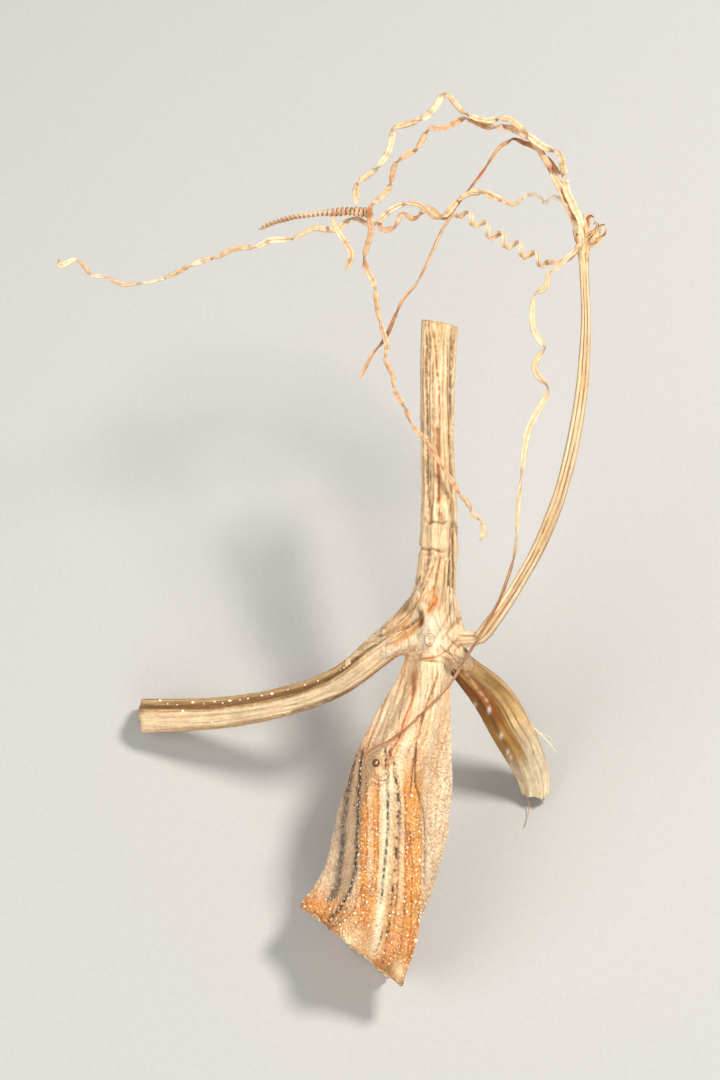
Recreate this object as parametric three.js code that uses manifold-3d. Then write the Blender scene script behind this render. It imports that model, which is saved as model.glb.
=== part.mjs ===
// Dried squash fruit stalk with its vine node: five-ribbed fruit stalk (peduncle), two cut vine
// stubs, a leaf-stalk stump, and a stiff dried tendril that forks into curled branches.
//
// Every tissue is its own solid. The design frame has u to the right, v up the fruit stalk and
// w towards the front face of the plant; the group at the end leans that frame back by LEAN_DEG,
// so that the plant rests on the rim of the fruit stalk, the left vine stub and the leaf stalk.
// All lengths are millimetres.
import * as THREE from 'three';
import { mergeVertices } from 'three/addons/utils/BufferGeometryUtils.js';
import Module from 'manifold-3d';

// ---- driving dimensions ----
const LEAN_DEG = 25;            // lean of the design frame about X
const GAP = 0.3;                // clearance between neighbouring tissues
const RIND_SHARE = 0.64;        // inner radius of a vine rind over its outer radius
const PITH_BORE_SHARE = 0.36;   // hollow of a vine stub over its outer radius
const FLUTE = 0.07;             // depth of the five flutes of a vine stub, share of its radius
const CORE_SHARE = 0.58;        // inner radius of the ribs over the ribbed outline
const PITH_SHARE = 0.49;        // pith core of the fruit stalk over the ribbed outline
const SCAR_THICKNESS = 1.6;     // corky layer at the fruit end
const PETIOLE_DEPTH = 0.62;     // depth over width of the leaf stalk
const RIBBON_THICKNESS = 0.5;   // thickness of a flat dried tendril branch
const CROWN_RADII = [5.6, 6.6, 6.6];
const SHOULDER_RADII = [3.6, 5.2, 3.6];
const GUSSET_RADII = [3.1, 3.4, 4.2];
const BUD_RADII = [1.25, 1.55, 0.7];
const FORK_RADIUS = 1.1;
const BEAD_RADIUS = 0.9;

// ---- centre lines: [u, v, w, half width] ----
const UPPER_VINE = [
  [17.64, 48.24, -3, 4.09], [17.42, 43.55, -3, 4.02], [17.2, 37.97, -3, 3.91], [17.04, 31.27, -3, 3.8],
  [17.09, 24.57, -3, 3.75], [17.2, 17.87, -3, 3.8], [17.42, 12.28, -3, 3.86], [17.53, 7.82, -3, 4.02],
  [17.42, 4.47, -3, 4.07], [17.42, 1.12, -3, 4.15], [17.31, -2.01, -3, 4.47], [17.2, -4.02, -3, 4.31],
  [16.86, -7.82, -3, 4.36], [16.54, -11.17, -3.3, 4.58], [16.32, -14.54, -3.8, 4.92], [16.34, -17.9, -4.2, 4.92],
];
const LEFT_VINE = [
  [-51.56, -41.94, -41.59, 4.04], [-48.51, -41.77, -38.9, 3.98], [-43.62, -41.5, -36.6, 3.87],
  [-37.56, -41.08, -33.8, 3.76], [-31.55, -40.43, -31, 3.65], [-25.59, -39.42, -28, 3.54],
  [-19.67, -38.07, -24.8, 3.42], [-13.81, -36.36, -21.4, 3.31], [-9.16, -34.58, -18.3, 3.3],
  [-4.56, -32.23, -15, 3.3], [-0.45, -29.25, -12.1, 3.35], [3.39, -25.97, -9.8, 3.48], [6.76, -23.19, -8, 3.6],
  [10.11, -20.67, -6.6, 3.93], [13.46, -19.07, -5.6, 4.04],
];
const PETIOLE = [
  [20.72, -25.9, -8, 2.7], [22.61, -28.26, -10.4, 2.94], [25.21, -30.89, -13.2, 3.29], [28.55, -34.26, -16.6, 4.0],
  [31.57, -38.12, -20, 4.48], [34.42, -42.97, -23.8, 4.62], [37.22, -47.8, -28.0, 4.42],
  [39.53, -52.87, -31.6, 3.93], [40.86, -56.94, -34.0, 3.33], [41.29, -60.23, -35.29, 2.94],
];
const TENDRIL_FOOT = [
  [18.8, -22.38, -4.2, 2.69], [20.57, -22.14, -3.8, 2.19], [22.79, -22.16, -3.2, 1.92], [24.56, -22.1, -2.8, 1.7],
  [26.11, -21.98, -2.5, 1.54],
];
const TENDRIL_STALK = [
  [26.66, -21.86, -2.4, 1.47], [28.1, -20.18, -2.2, 1.65], [29.65, -18.06, -2, 1.58], [31.65, -15.27, -1.8, 1.47],
  [33.87, -12.03, -1.6, 1.38], [35.86, -8.69, -1.4, 1.36], [38.3, -4.45, -1.2, 1.38], [40.29, -0.45, -1, 1.45],
  [42.29, 4.23, -0.9, 1.47], [44.06, 8.9, -0.8, 1.45], [45.27, 12.9, -0.7, 1.38], [46.49, 17.57, -0.6, 1.45],
  [47.59, 22.69, -0.5, 1.47], [48.7, 28.91, -0.4, 1.45], [49.58, 35.57, -0.3, 1.4], [50.02, 42.24, -0.2, 1.25],
  [50.23, 48.45, -0.1, 1.11], [50.11, 53.33, 0, 1.04], [49.89, 57.78, 0, 1.02], [49.76, 61.56, 0, 1.04],
  [49.62, 64.22, 0, 1.07],
];
const BRANCH_1 = [
  [49.86, 67.7, -2.3, 0.4], [48.41, 70.28, -2.4, 0.4], [46.86, 73.19, -2.5, 0.4], [45.07, 76.97, -2.4, 0.4],
  [43.27, 80.96, -2.2, 0.4], [41.47, 84.5, -2.0, 0.45], [40.01, 86.93, -1.8, 0.54], [38.34, 87.94, -1.9, 0.58],
  [36.56, 88.55, -1.9, 0.49], [34.44, 89.39, -1.9, 0.31], [32.77, 88.6, -1.8, 0.33], [31.32, 87.71, -1.8, 0.33],
  [30.2, 86.37, -1.8, 0.31], [28.75, 84.25, -1.8, 0.29], [27.2, 81.92, -1.9, 0.29], [25.19, 79.25, -1.9, 0.27],
  [22.96, 76.35, -1.9, 0.27], [21.17, 73.86, -1.6, 0.27], [19.59, 71.02, -1.1, 0.31], [18.01, 68.38, -0.4, 0.33],
  [16.21, 64.4, 0.4, 0.33], [14.3, 59.99, 1.2, 0.31], [12.52, 56.85, 1.6, 0.29], [10.74, 54.83, 1.9, 0.33],
  [9.3, 52.93, 2, 0.35], [7.97, 50.05, 2, 0.33], [6.98, 47.62, 2, 0.4], [5.98, 45.4, 2, 0.4], [4.43, 43.08, 2, 0.29],
  [2.66, 41.09, 2, 0.31], [1.33, 38.43, 2, 0.38], [-0.11, 35.66, 2, 0.42],
];
const BRANCH_2 = [
  [50.32, 68.34, 0.9, 0.58], [49.41, 71.66, 1.0, 0.64], [47.95, 74.81, 0.6, 0.71], [46.4, 77.7, 0.6, 0.67],
  [45.58, 80.81, 0.6, 0.71], [44.84, 83.92, 0.6, 0.67], [44.05, 85.89, 0.8, 0.62], [42.36, 86.6, 1.2, 0.62],
  [40.56, 87.16, 1.5, 0.64], [38.78, 88.54, 1.6, 0.69], [36.58, 90.45, 1.4, 0.71], [34.61, 92.4, 1.0, 0.64],
  [33.07, 93.45, 0.7, 0.6], [31.08, 93.68, 0.6, 0.56], [28.41, 93.1, 0.8, 0.58], [26.18, 93.51, 1.0, 0.56],
  [23.96, 94.29, 1.0, 0.53], [22.41, 95.4, 1.0, 0.56], [20.63, 97.5, 1.0, 0.6], [19.19, 98.95, 1.0, 0.4],
  [18.19, 98.5, 1.0, 0.58], [17.08, 96.51, 1.0, 0.71], [15.31, 94.51, 1.0, 0.64], [13.31, 93.29, 1.0, 0.6],
  [10.87, 92.4, 1.0, 0.64], [8.65, 91.85, 1.0, 0.64], [7.21, 91.18, 1.0, 0.4], [7.1, 88.74, 1.0, 0.69],
  [6.32, 86.19, 1.0, 0.64], [4.88, 83.97, 1.0, 0.58], [3.77, 82.42, 1.0, 0.35], [2.0, 81.18, 1.1, 0.58],
  [0.22, 79.84, 1.2, 0.49], [-0.67, 78.94, 1.3, 0.4], [-0.89, 76.7, 1.5, 0.75], [-0.78, 74.23, 1.7, 0.67],
];
const BRANCH_2_TAIL = [
  [-5.99, 71.51, 1.3, 0.49], [-5.43, 69.6, 1.5, 0.58], [-4.21, 67.47, 1.7, 0.62], [-2.88, 65.47, 1.8, 0.62],
  [-1.99, 63.58, 1.9, 0.62], [-2.33, 61.58, 1.9, 0.6], [-3.21, 59.7, 1.9, 0.62],
];
const BRANCH_3 = [
  [48.84, 67.82, 0.6, 0.62], [47.62, 70.82, 0.6, 0.67], [46.18, 73.93, 0.6, 0.8], [44.4, 77.7, 0.6, 0.71],
  [42.62, 81.47, 0.6, 0.67], [40.85, 85.03, 0.6, 0.67], [39.31, 87.51, 0.3, 0.71], [37.57, 89.27, -0.3, 0.71],
  [35.59, 90.74, -0.5, 0.69], [33.37, 91.65, -0.6, 0.65], [31.15, 91.77, -0.7, 0.58], [28.48, 92.0, -0.7, 0.58],
  [26.25, 92.65, -0.6, 0.58], [23.57, 93.75, -0.5, 0.53], [21.79, 93.16, -0.3, 0.58], [20.0, 92.02, -0.1, 0.58],
  [18.22, 91.44, 0, 0.53], [16.0, 91.51, 0, 0.49], [14.89, 90.89, 0, 0.44], [13.78, 88.89, 0, 0.62],
  [12.67, 87.11, 0, 0.49], [10.89, 86.0, 0, 0.6], [9.11, 84.67, 0, 0.49], [8.0, 83.76, 0.1, 0.44],
  [7.33, 81.75, 0.2, 0.58], [6.88, 79.5, 0.4, 0.53], [5.99, 77.47, 0.7, 0.56], [4.44, 75.86, 1.1, 0.58],
  [2.88, 74.58, 1.6, 0.49], [2.1, 72.63, 2.1, 0.53], [2.43, 69.71, 2.5, 0.62], [2.32, 67.48, 2.6, 0.64],
  [1.55, 65.05, 2.6, 0.57], [0.95, 62.57, 3.0, 0.42], [1.22, 60.58, 3.0, 0.51], [2.43, 58.15, 3.0, 0.6],
  [3.32, 55.72, 3.0, 0.57], [3.65, 52.62, 3.0, 0.55], [4.2, 49.53, 3.0, 0.49], [4.86, 46.88, 3.0, 0.49],
  [5.64, 44.44, 3.0, 0.53], [5.97, 42.23, 3.0, 0.49], [5.53, 40.46, 3.0, 0.35], [6.19, 38.47, 3.0, 0.57],
  [7.3, 36.48, 3.0, 0.51], [7.52, 33.61, 3.0, 0.4], [8.4, 31.62, 3.0, 0.57], [9.73, 29.63, 3.0, 0.4],
  [10.61, 27.64, 3.0, 0.53], [11.28, 25.87, 3.0, 0.35], [12.38, 24.32, 3.0, 0.51], [14.15, 22.55, 3.0, 0.38],
  [15.48, 20.34, 3.0, 0.49], [17.03, 18.13, 3.0, 0.46], [18.35, 15.92, 3.0, 0.38], [19.9, 13.6, 3.0, 0.51],
  [21.23, 11.72, 3.0, 0.49], [22.11, 10.06, 3.0, 0.38], [23.44, 8.73, 3.0, 0.53], [24.32, 7.08, 3.0, 0.42],
  [25.02, 5.76, 2.3, 0.47], [26.35, 4.65, 2.2, 0.4], [27.35, 3.1, 2, 0.42], [27.47, 1.55, 1.8, 0.71],
  [26.6, 0.0, 1.6, 0.67],
];
const BRANCH_4 = [
  [49.8, 67.62, -1.55, 0.54], [48.14, 69.97, -1.7, 0.54], [46.57, 73.31, -1.6, 0.49], [45.24, 75.44, -1.7, 0.45],
  [43.49, 76.39, -2.2, 0.49], [42.24, 76.09, -3.4, 0.4], [41.19, 75.55, -4.4, 0.42], [40.12, 76.88, -5.2, 0.4],
  [38.83, 77.59, -6, 0.38], [37.38, 77.35, -6.2, 0.29], [36.15, 76.45, -6.2, 0.23], [34.77, 75.25, -5.6, 0.36],
  [32.67, 75.64, -4.2, 0.49], [30.35, 76.44, -2.6, 0.62], [28.05, 77.13, -1, 0.65], [25.79, 77.36, -0.2, 0.65],
  [23.78, 76.78, 0, 0.58], [21.89, 75.67, 0, 0.51], [20.56, 74.11, 0, 0.58], [19.33, 72.56, 0, 0.58],
  [18.0, 71.71, 0, 0.51], [16.44, 71.89, 0, 0.58], [15.11, 73.0, 0, 0.58], [13.56, 74.33, 0, 0.53],
  [11.56, 74.84, 0, 0.47], [9.11, 74.56, 0, 0.47], [6.89, 73.33, 0, 0.56], [5.22, 71.79, -0.1, 0.49],
  [3.78, 70.48, -0.3, 0.4], [2.0, 70.24, -1.1, 0.49], [0.0, 71.35, -2.0, 0.54], [-2.01, 71.65, -2.3, 0.49],
  [-3.57, 70.57, -2.0, 0.54], [-5.12, 69.18, -1.2, 0.49], [-7.56, 69.05, -0.4, 0.6], [-10.0, 69.27, 0, 0.53],
  [-12.67, 68.22, 0, 0.49], [-14.89, 67.0, 0, 0.4], [-17.56, 66.78, 0, 0.6], [-20.0, 66.56, 0, 0.53],
  [-22.0, 65.67, 0, 0.49], [-23.78, 65.0, 0, 0.33], [-26.22, 65.0, 0, 0.6], [-28.44, 64.56, 0, 0.49],
  [-30.67, 63.38, 0, 0.47], [-32.89, 62.56, 0, 0.38], [-35.56, 61.78, 0, 0.51], [-38.0, 60.82, 0, 0.47],
  [-40.67, 59.44, 0, 0.38], [-43.33, 58.29, 0, 0.36], [-46.67, 57.33, 0, 0.24], [-50.0, 56.93, 0, 0.24],
  [-52.44, 56.71, 0, 0.44], [-54.44, 57.44, 0, 0.44], [-56.22, 58.4, 0, 0.36], [-58.22, 58.71, 0, 0.44],
  [-60.0, 59.11, 0, 0.31], [-61.11, 60.67, 0, 0.49], [-62.2, 61.71, 0.2, 0.33], [-63.49, 62.16, 0.6, 0.35],
  [-65.22, 61.34, 1, 0.58], [-66.31, 60.77, 1.2, 0.53], [-66.84, 61.63, 1.4, 0.44], [-66.5, 62.62, 1.5, 0.49],
];
const BRANCH_5_ROOT = [
  [48.35, 64.5, -1.6, 0.45], [47.09, 63.16, -2.6, 0.49], [45.14, 62.35, -3.4, 0.49], [43.16, 62.17, -3.8, 0.49],
];
const BRANCH_5_HELIX_AXIS = [
  [42.27, 61.96, -3.9, 1.68], [39.14, 63.07, -3.9, 1.79], [34.66, 65.52, -3.8, 1.86], [30.63, 67.97, -3.7, 1.86],
  [26.83, 70.53, -3.6, 1.79], [23.69, 72.31, -3.5, 1.45], [21.23, 72.97, -3.4, 0.89],
];
const BRANCH_5_LOOPS = [
  [19.88, 72.5, -3.2, 0.49], [18.53, 72.0, -2.8, 0.49], [17.18, 72.85, -2.4, 0.54], [15.83, 73.86, -2.1, 0.54],
  [14.49, 73.68, -1.9, 0.49], [13.15, 72.31, -1.7, 0.42], [11.92, 71.58, -1.5, 0.54], [10.69, 72.17, -1.4, 0.54],
  [9.47, 72.88, -1.4, 0.4], [8.58, 71.51, -1.5, 0.54], [7.8, 69.85, -1.6, 0.42], [6.24, 69.13, -1.7, 0.58],
  [4.68, 69.31, -1.7, 0.4], [4.34, 70.37, -1.3, 0.36], [4.27, 71.33, -0.9, 0.31],
];
const COIL_AXIS = [
  [2.89, 72.33, -0.2, 1.02], [1.33, 72.81, -0.3, 1.07], [-1.33, 73.05, -0.4, 1.07], [-4.0, 73.07, -0.6, 1.02],
  [-6.68, 72.92, -1.2, 0.76], [-9.37, 72.89, -2.4, 0.65], [-12.08, 72.77, -4.2, 0.58], [-14.83, 72.59, -6.8, 0.52],
  [-17.63, 72.32, -10.2, 0.47], [-20.48, 71.92, -14.5, 0.43], [-23.17, 71.36, -19.5, 0.39],
];
const BRANCH_6 = [
  [48.17, 65.06, 1.5, 0.49], [47.29, 63.69, 1.9, 0.58], [46.05, 62.76, 2.3, 0.66], [44.91, 61.39, 2.7, 0.49],
  [43.55, 60.07, 3.1, 0.51], [42.09, 59.44, 3.4, 0.4], [41.63, 58.08, 3.7, 0.53], [41.17, 56.19, 3.9, 0.53],
  [39.73, 54.95, 4.1, 0.57], [38.51, 54.06, 4.2, 0.35], [38.06, 51.85, 4.3, 0.57], [38.01, 48.98, 4.3, 0.62],
  [38.5, 46.11, 4.3, 0.55], [39.71, 43.91, 4.3, 0.53], [40.82, 42.36, 4.3, 0.35], [39.49, 40.71, 4.3, 0.53],
  [38.57, 38.5, 4.3, 0.6], [39.05, 36.51, 4.3, 0.64], [40.49, 34.97, 4.3, 0.53], [41.48, 33.42, 4.3, 0.4],
  [40.82, 31.22, 4.3, 0.64], [39.16, 28.35, 4.3, 0.68], [37.51, 25.04, 4.3, 0.66], [36.51, 21.18, 4.3, 0.57],
  [36.07, 17.43, 4.3, 0.44], [35.52, 13.68, 4.3, 0.35], [35.08, 9.49, 4.3, 0.42], [34.86, 5.52, 4.3, 0.42],
  [34.64, 1.76, 4.25, 0.29], [34.31, -1.76, 4.2, 0.31], [33.66, -5.08, 4.0, 0.31], [32.48, -8.84, 3.5, 0.33],
  [31.07, -12.83, 2.9, 0.33], [29.54, -15.82, 2.5, 0.31], [28.11, -18.37, 2.35, 0.31], [26.56, -21.14, 2.35, 0.29],
  [25.12, -23.46, 2.35, 0.29], [23.68, -25.68, 2.35, 0.29], [22.25, -28.11, 2.35, 0.29], [21.03, -30.21, 2.35, 0.31],
  [19.48, -32.43, 2.35, 0.29], [17.6, -34.53, 2.35, 0.29], [15.27, -36.85, 2.35, 0.27], [12.95, -39.07, 2.35, 0.27],
  [10.74, -41.17, 2.35, 0.27], [8.63, -42.83, 2.35, 0.27], [6.53, -44.38, 2.35, 0.27], [4.42, -45.46, 2.7, 0.24],
  [2.43, -46.35, 2.7, 0.22], [1.33, -47.56, 2.7, 0.22], [0.99, -49.22, 2.7, 0.2], [1.66, -50.88, 2.7, 0.2],
  [3.1, -52.43, 2.7, 0.2], [4.87, -53.27, 2.7, 0.18], [6.19, -52.76, 2.7, 0.18], [6.42, -51.43, 2.7, 0.18],
  [5.86, -50.55, 2.7, 0.18],
];
const PEDUNCLE_RIBS = [
  [[11.02, -24.73, -7], [14.0, -25.11, 0.0], [17.77, -25.1, 0.2], [20.68, -25.4, -7], [15.89, -24.97, -13]],
  [[8.33, -31.09, -8.2], [12.88, -31.09, 0.4], [17.98, -31.52, 0.6], [20.28, -32.0, -8.5], [14.58, -31.43, -15]],
  [[4.96, -36.99, -9], [10.43, -36.85, 0.7], [16.87, -37.28, 0.8], [20.32, -37.92, -9.5], [12.57, -37.48, -17]],
  [[1.81, -42.67, -9.5], [7.1, -42.6, 1], [15.53, -43.26, 1], [20.35, -44.09, -10.5], [10.31, -43.52, -18.5]],
  [[-0.9, -48.12, -10], [3.99, -48.13, 1.1], [13.75, -49.23, 1.2], [20.5, -50.28, -11.5], [8.49, -49.81, -19.7]],
  [[-2.94, -54.25, -10.3], [2.22, -54.34, 1.2], [12.2, -54.99, 1.3], [20.64, -56.26, -12.5], [6.89, -56.3, -20.5]],
  [[-4.52, -59.92, -10.5], [1.11, -60.31, 1.3], [12.2, -60.98, 1.3], [20.1, -62.47, -13.3], [5.52, -62.56, -21]],
  [[-5.88, -66.7, -10.5], [0.67, -66.51, 1.4], [12.86, -67.2, 1.2], [19.34, -68.94, -14.3], [3.68, -69.06, -21.5]],
  [[-7.69, -73.46, -10.3], [0.22, -72.71, 1.5], [13.09, -73.65, 1], [17.55, -75.2, -15.3], [1.61, -75.56, -22]],
  [[-10.39, -78.37, -9.8], [-0.66, -78.68, 1.6], [13.11, -80.0, 0], [15.3, -82.2, -16.5], [-0.92, -81.36, -22.3]],
  [[-12.64, -81.23, -9.2], [-1.99, -84.66, 1.6], [12.26, -89.6, -1.8], [11.43, -90.32, -17.4], [-3.46, -86.43, -22.3]],
  [[-13.53, -82.33, -9], [-2.88, -89.22, 1.5], [9.17, -99.77, -4], [6.18, -99.57, -18], [-5.76, -90.54, -22]],
];
const CROWN_CENTRE = [17.5, -21.53, -5.6];
const SHOULDER_CENTRE = [11.93, -17.56, -8];
const GUSSET_CENTRE = [22.67, -26.93, -6];
const BUD_CENTRE = [15.43, -22.19, 0.75];
const FORK_CENTRE = [49.67, 66.0, 0];
const BEAD_CENTRE = [3.54, -49.31, 3.0];


const wasm = await Module();
wasm.setup();

const V = (p) => new THREE.Vector3(p[0], p[1], p[2]);

// ---- solids ----
function solid(geometry) {
  const g = geometry.clone();
  for (const name of Object.keys(g.attributes)) if (name !== 'position') g.deleteAttribute(name);
  const m = mergeVertices(g, 1e-4);
  const make = (tri) => new wasm.Manifold(new wasm.Mesh({
    numProp: 3, vertProperties: new Float32Array(m.attributes.position.array), triVerts: tri }));
  const tri = new Uint32Array(m.index.array);
  const s = make(tri);
  if (s.volume() > 0) return s;
  for (let i = 0; i < tri.length; i += 3) [tri[i + 1], tri[i + 2]] = [tri[i + 2], tri[i + 1]];
  return make(tri);
}

function geometryOf(s) {
  const m = s.getMesh();
  const n = m.numProp;
  const pos = new Float32Array(m.triVerts.length * 3);
  for (let i = 0; i < m.triVerts.length; i++)
    for (let k = 0; k < 3; k++) pos[i * 3 + k] = m.vertProperties[m.triVerts[i] * n + k];
  const g = new THREE.BufferGeometry().setAttribute('position', new THREE.BufferAttribute(pos, 3));
  g.computeVertexNormals();
  return g;
}

// The largest closed piece of a cut solid, so that no crumb is left behind.
function largest(s) {
  return s.decompose().sort((a, b) => b.volume() - a.volume())[0];
}

// A closed skin through rings of equal point count, capped at both ends.
function loft(rings) {
  const n = rings[0].length;
  const pos = [];
  for (const r of rings) for (const p of r) pos.push(p.x, p.y, p.z);
  const idx = [];
  for (let i = 0; i + 1 < rings.length; i++)
    for (let j = 0; j < n; j++) {
      const a = i * n + j, b = i * n + ((j + 1) % n), c = a + n, d = b + n;
      idx.push(a, b, d, a, d, c);
    }
  for (const [ring, flip] of [[0, true], [rings.length - 1, false]]) {
    const c = new THREE.Vector3();
    for (const p of rings[ring]) c.add(p);
    c.divideScalar(n);
    const ci = pos.length / 3;
    pos.push(c.x, c.y, c.z);
    for (let j = 0; j < n; j++) {
      const a = ring * n + j, b = ring * n + ((j + 1) % n);
      if (flip) idx.push(ci, b, a); else idx.push(ci, a, b);
    }
  }
  const g = new THREE.BufferGeometry();
  g.setAttribute('position', new THREE.Float32BufferAttribute(pos, 3));
  g.setIndex(idx);
  return solid(g);
}

function tangents(pts) {
  return pts.map((p, i) => {
    const a = pts[Math.max(0, i - 1)], b = pts[Math.min(pts.length - 1, i + 1)];
    return b.clone().sub(a).normalize();
  });
}

// Across and depth directions of a centre line: across lies in the u-v plane.
function sideFrames(pts, firstTangent) {
  const t = tangents(pts);
  if (firstTangent) t[0] = firstTangent.clone().normalize();
  return t.map((d) => {
    const across = new THREE.Vector3(-d.y, d.x, 0);
    if (across.lengthSq() < 1e-9) across.set(1, 0, 0);
    across.normalize();
    return { across, depth: new THREE.Vector3().crossVectors(d, across).normalize() };
  });
}

// A fluted stem: outline scaled by share, grown outwards by grow, flattened by depthRatio.
function stem(line, { share = 1, grow = 0, sides = 15, flute = FLUTE, depthRatio = 1, phase = 0.3, firstTangent = null, extendEnd = 0 } = {}) {
  const pts = line.map(V);
  if (extendEnd) {
    const d = pts[0].clone().sub(pts[1]).normalize();
    pts[0].addScaledVector(d, extendEnd);
  }
  if (grow > 0) {
    const k = pts.length - 1;
    pts[0].addScaledVector(pts[0].clone().sub(pts[1]).normalize(), grow);
    pts[k].addScaledVector(pts[k].clone().sub(pts[k - 1]).normalize(), grow);
  }
  const fr = sideFrames(pts, firstTangent);
  const rings = pts.map((p, i) => {
    const ring = [];
    for (let k = 0; k < sides; k++) {
      const a = (2 * Math.PI * k) / sides;
      const r = (line[i][3] * share + grow) * (1 + flute * Math.cos(5 * a + phase));
      ring.push(p.clone()
        .addScaledVector(fr[i].across, r * Math.cos(a))
        .addScaledVector(fr[i].depth, (r - grow) * depthRatio * Math.sin(a) + grow * Math.sin(a)));
    }
    return ring;
  });
  return loft(rings);
}

// A flat dried branch: six-sided section, width in the u-v plane.
function ribbon(line, thickness = RIBBON_THICKNESS) {
  const pts = line.map(V);
  const fr = sideFrames(pts);
  const rings = pts.map((p, i) => {
    const h = line[i][3], t = Math.min(thickness / 2, h);
    const s = [[h, 0], [h * 0.45, t], [-h * 0.45, t], [-h, 0], [-h * 0.45, -t], [h * 0.45, -t]];
    return s.map(([a, b]) => p.clone().addScaledVector(fr[i].across, a).addScaledVector(fr[i].depth, b));
  });
  return loft(rings);
}

function ellipsoid(centre, radii, grow = 0, segments = 20) {
  const g = new THREE.SphereGeometry(1, segments, Math.round(segments * 0.7));
  g.scale(radii[0] + grow, radii[1] + grow, radii[2] + grow);
  g.translate(centre[0], centre[1], centre[2]);
  return solid(g);
}

// ---- fruit stalk outline: five crests and five valleys per station, smoothed ----
const VALLEY = [0.09, 0.03, 0.12, 0.05, 0.06]; // valley depth after each crest, share of radius
function peduncleRing(station, share, grow = 0) {
  const tips = station.map(V);
  const c = tips.reduce((s, p) => s.add(p), new THREE.Vector3()).divideScalar(5);
  const ctrl = [];
  tips.forEach((p, i) => {
    const q = tips[(i + 1) % 5];
    ctrl.push(p.clone());
    const mid = p.clone().add(q).multiplyScalar(0.5);
    ctrl.push(mid.lerp(c, VALLEY[i]));
  });
  const curve = new THREE.CatmullRomCurve3(ctrl, true, 'centripetal');
  return curve.getPoints(30).slice(0, 30).map((p) => {
    const d = p.clone().sub(c);
    const len = d.length();
    return c.clone().addScaledVector(d, (len * share + grow) / len);
  });
}
const peduncle = (share, grow, stations = PEDUNCLE_RIBS) => loft(stations.map((s) => peduncleRing(s, share, grow)));

// One rib of the rind: the outline from valley to valley, thick down to the room of the core.
function rib(i) {
  const rings = PEDUNCLE_RIBS.map((station) => {
    const tips = station.map(V);
    const outer = peduncleRing(station, 1), inner = peduncleRing(station, CORE_SHARE, GAP);
    const n = outer.length, lobe = n / 5, half = lobe / 2;
    const pull = [tips[i].clone().sub(tips[(i + 4) % 5]).normalize().multiplyScalar(GAP * 0.6),
      tips[i].clone().sub(tips[(i + 1) % 5]).normalize().multiplyScalar(GAP * 0.6)];
    const out = [], back = [];
    for (let k = -half; k <= half; k++) {
      const id = (i * lobe + k + n) % n;
      const o = outer[id].clone(), q = inner[id].clone();
      if (k === -half) { o.add(pull[0]); q.add(pull[0]); }
      if (k === half) { o.add(pull[1]); q.add(pull[1]); }
      out.push(o);
      if (k !== -half + 1 && k !== half - 1) back.unshift(q);
    }
    return [...out, ...back];
  });
  return loft(rings);
}

// ---- crown ----
const crownSolid = (grow) => ellipsoid(CROWN_CENTRE, CROWN_RADII, grow, 18)
  .add(ellipsoid(SHOULDER_CENTRE, SHOULDER_RADII, grow, 12))
  .add(ellipsoid(GUSSET_CENTRE, GUSSET_RADII, grow, 12));
const crown = crownSolid(0);
const crownClear = crownSolid(GAP);

const parts = [];
function add(name, s, colour, roughness = 0.8) {
  const mesh = new THREE.Mesh(geometryOf(s), new THREE.MeshStandardMaterial({ color: colour, roughness, metalness: 0 }));
  mesh.name = name;
  parts.push(mesh);
}

add('node_crown', crown, 0xe2c79a, 0.75);
add('bud_scar', largest(ellipsoid(BUD_CENTRE, BUD_RADII, 0, 12).subtract(crownClear)), 0xd9a66a);

// ---- fruit stalk ----
const ribNames = ['peduncle_rib_left', 'peduncle_rib_front_left', 'peduncle_rib_front_right', 'peduncle_rib_right', 'peduncle_rib_rear'];
const last = PEDUNCLE_RIBS.length - 1;
ribNames.forEach((name, i) => add(name, largest(rib(i).subtract(crownClear)), [0xcbb9a0, 0xd08a45, 0xd58f4a, 0xe0c49a, 0xbfa27a][i]));
// base plane, and the corky scar that fills the end of the room
const baseTips = PEDUNCLE_RIBS[last].map(V);
const baseCentre = baseTips.reduce((s, p) => s.add(p), new THREE.Vector3()).divideScalar(5);
const baseNormal = new THREE.Vector3().crossVectors(baseTips[2].clone().sub(baseTips[0]), baseTips[4].clone().sub(baseTips[0])).normalize();
if (baseNormal.y > 0) baseNormal.negate();
const scarRing = peduncleRing(PEDUNCLE_RIBS[last], PITH_SHARE).map((p) => p.addScaledVector(baseNormal, baseCentre.clone().sub(p).dot(baseNormal)));
const scarInner = scarRing.map((p) => p.clone().addScaledVector(baseNormal, -SCAR_THICKNESS));
add('peduncle_scar', loft([scarInner, scarRing]), 0xe9d6a6, 0.9);
{
  const rings = PEDUNCLE_RIBS.map((s) => peduncleRing(s, PITH_SHARE));
  const cutPlane = baseCentre.clone().addScaledVector(baseNormal, -SCAR_THICKNESS - GAP);
  rings.forEach((r, i) => {
    for (const p of r) {
      const over = p.clone().sub(cutPlane).dot(baseNormal);
      if (over > 0) p.addScaledVector(baseNormal, -over - (last - i) * 0.02);
    }
  });
  add('peduncle_core', largest(loft(rings).subtract(crownClear)), 0xe6d2a8, 0.9);
}

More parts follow.
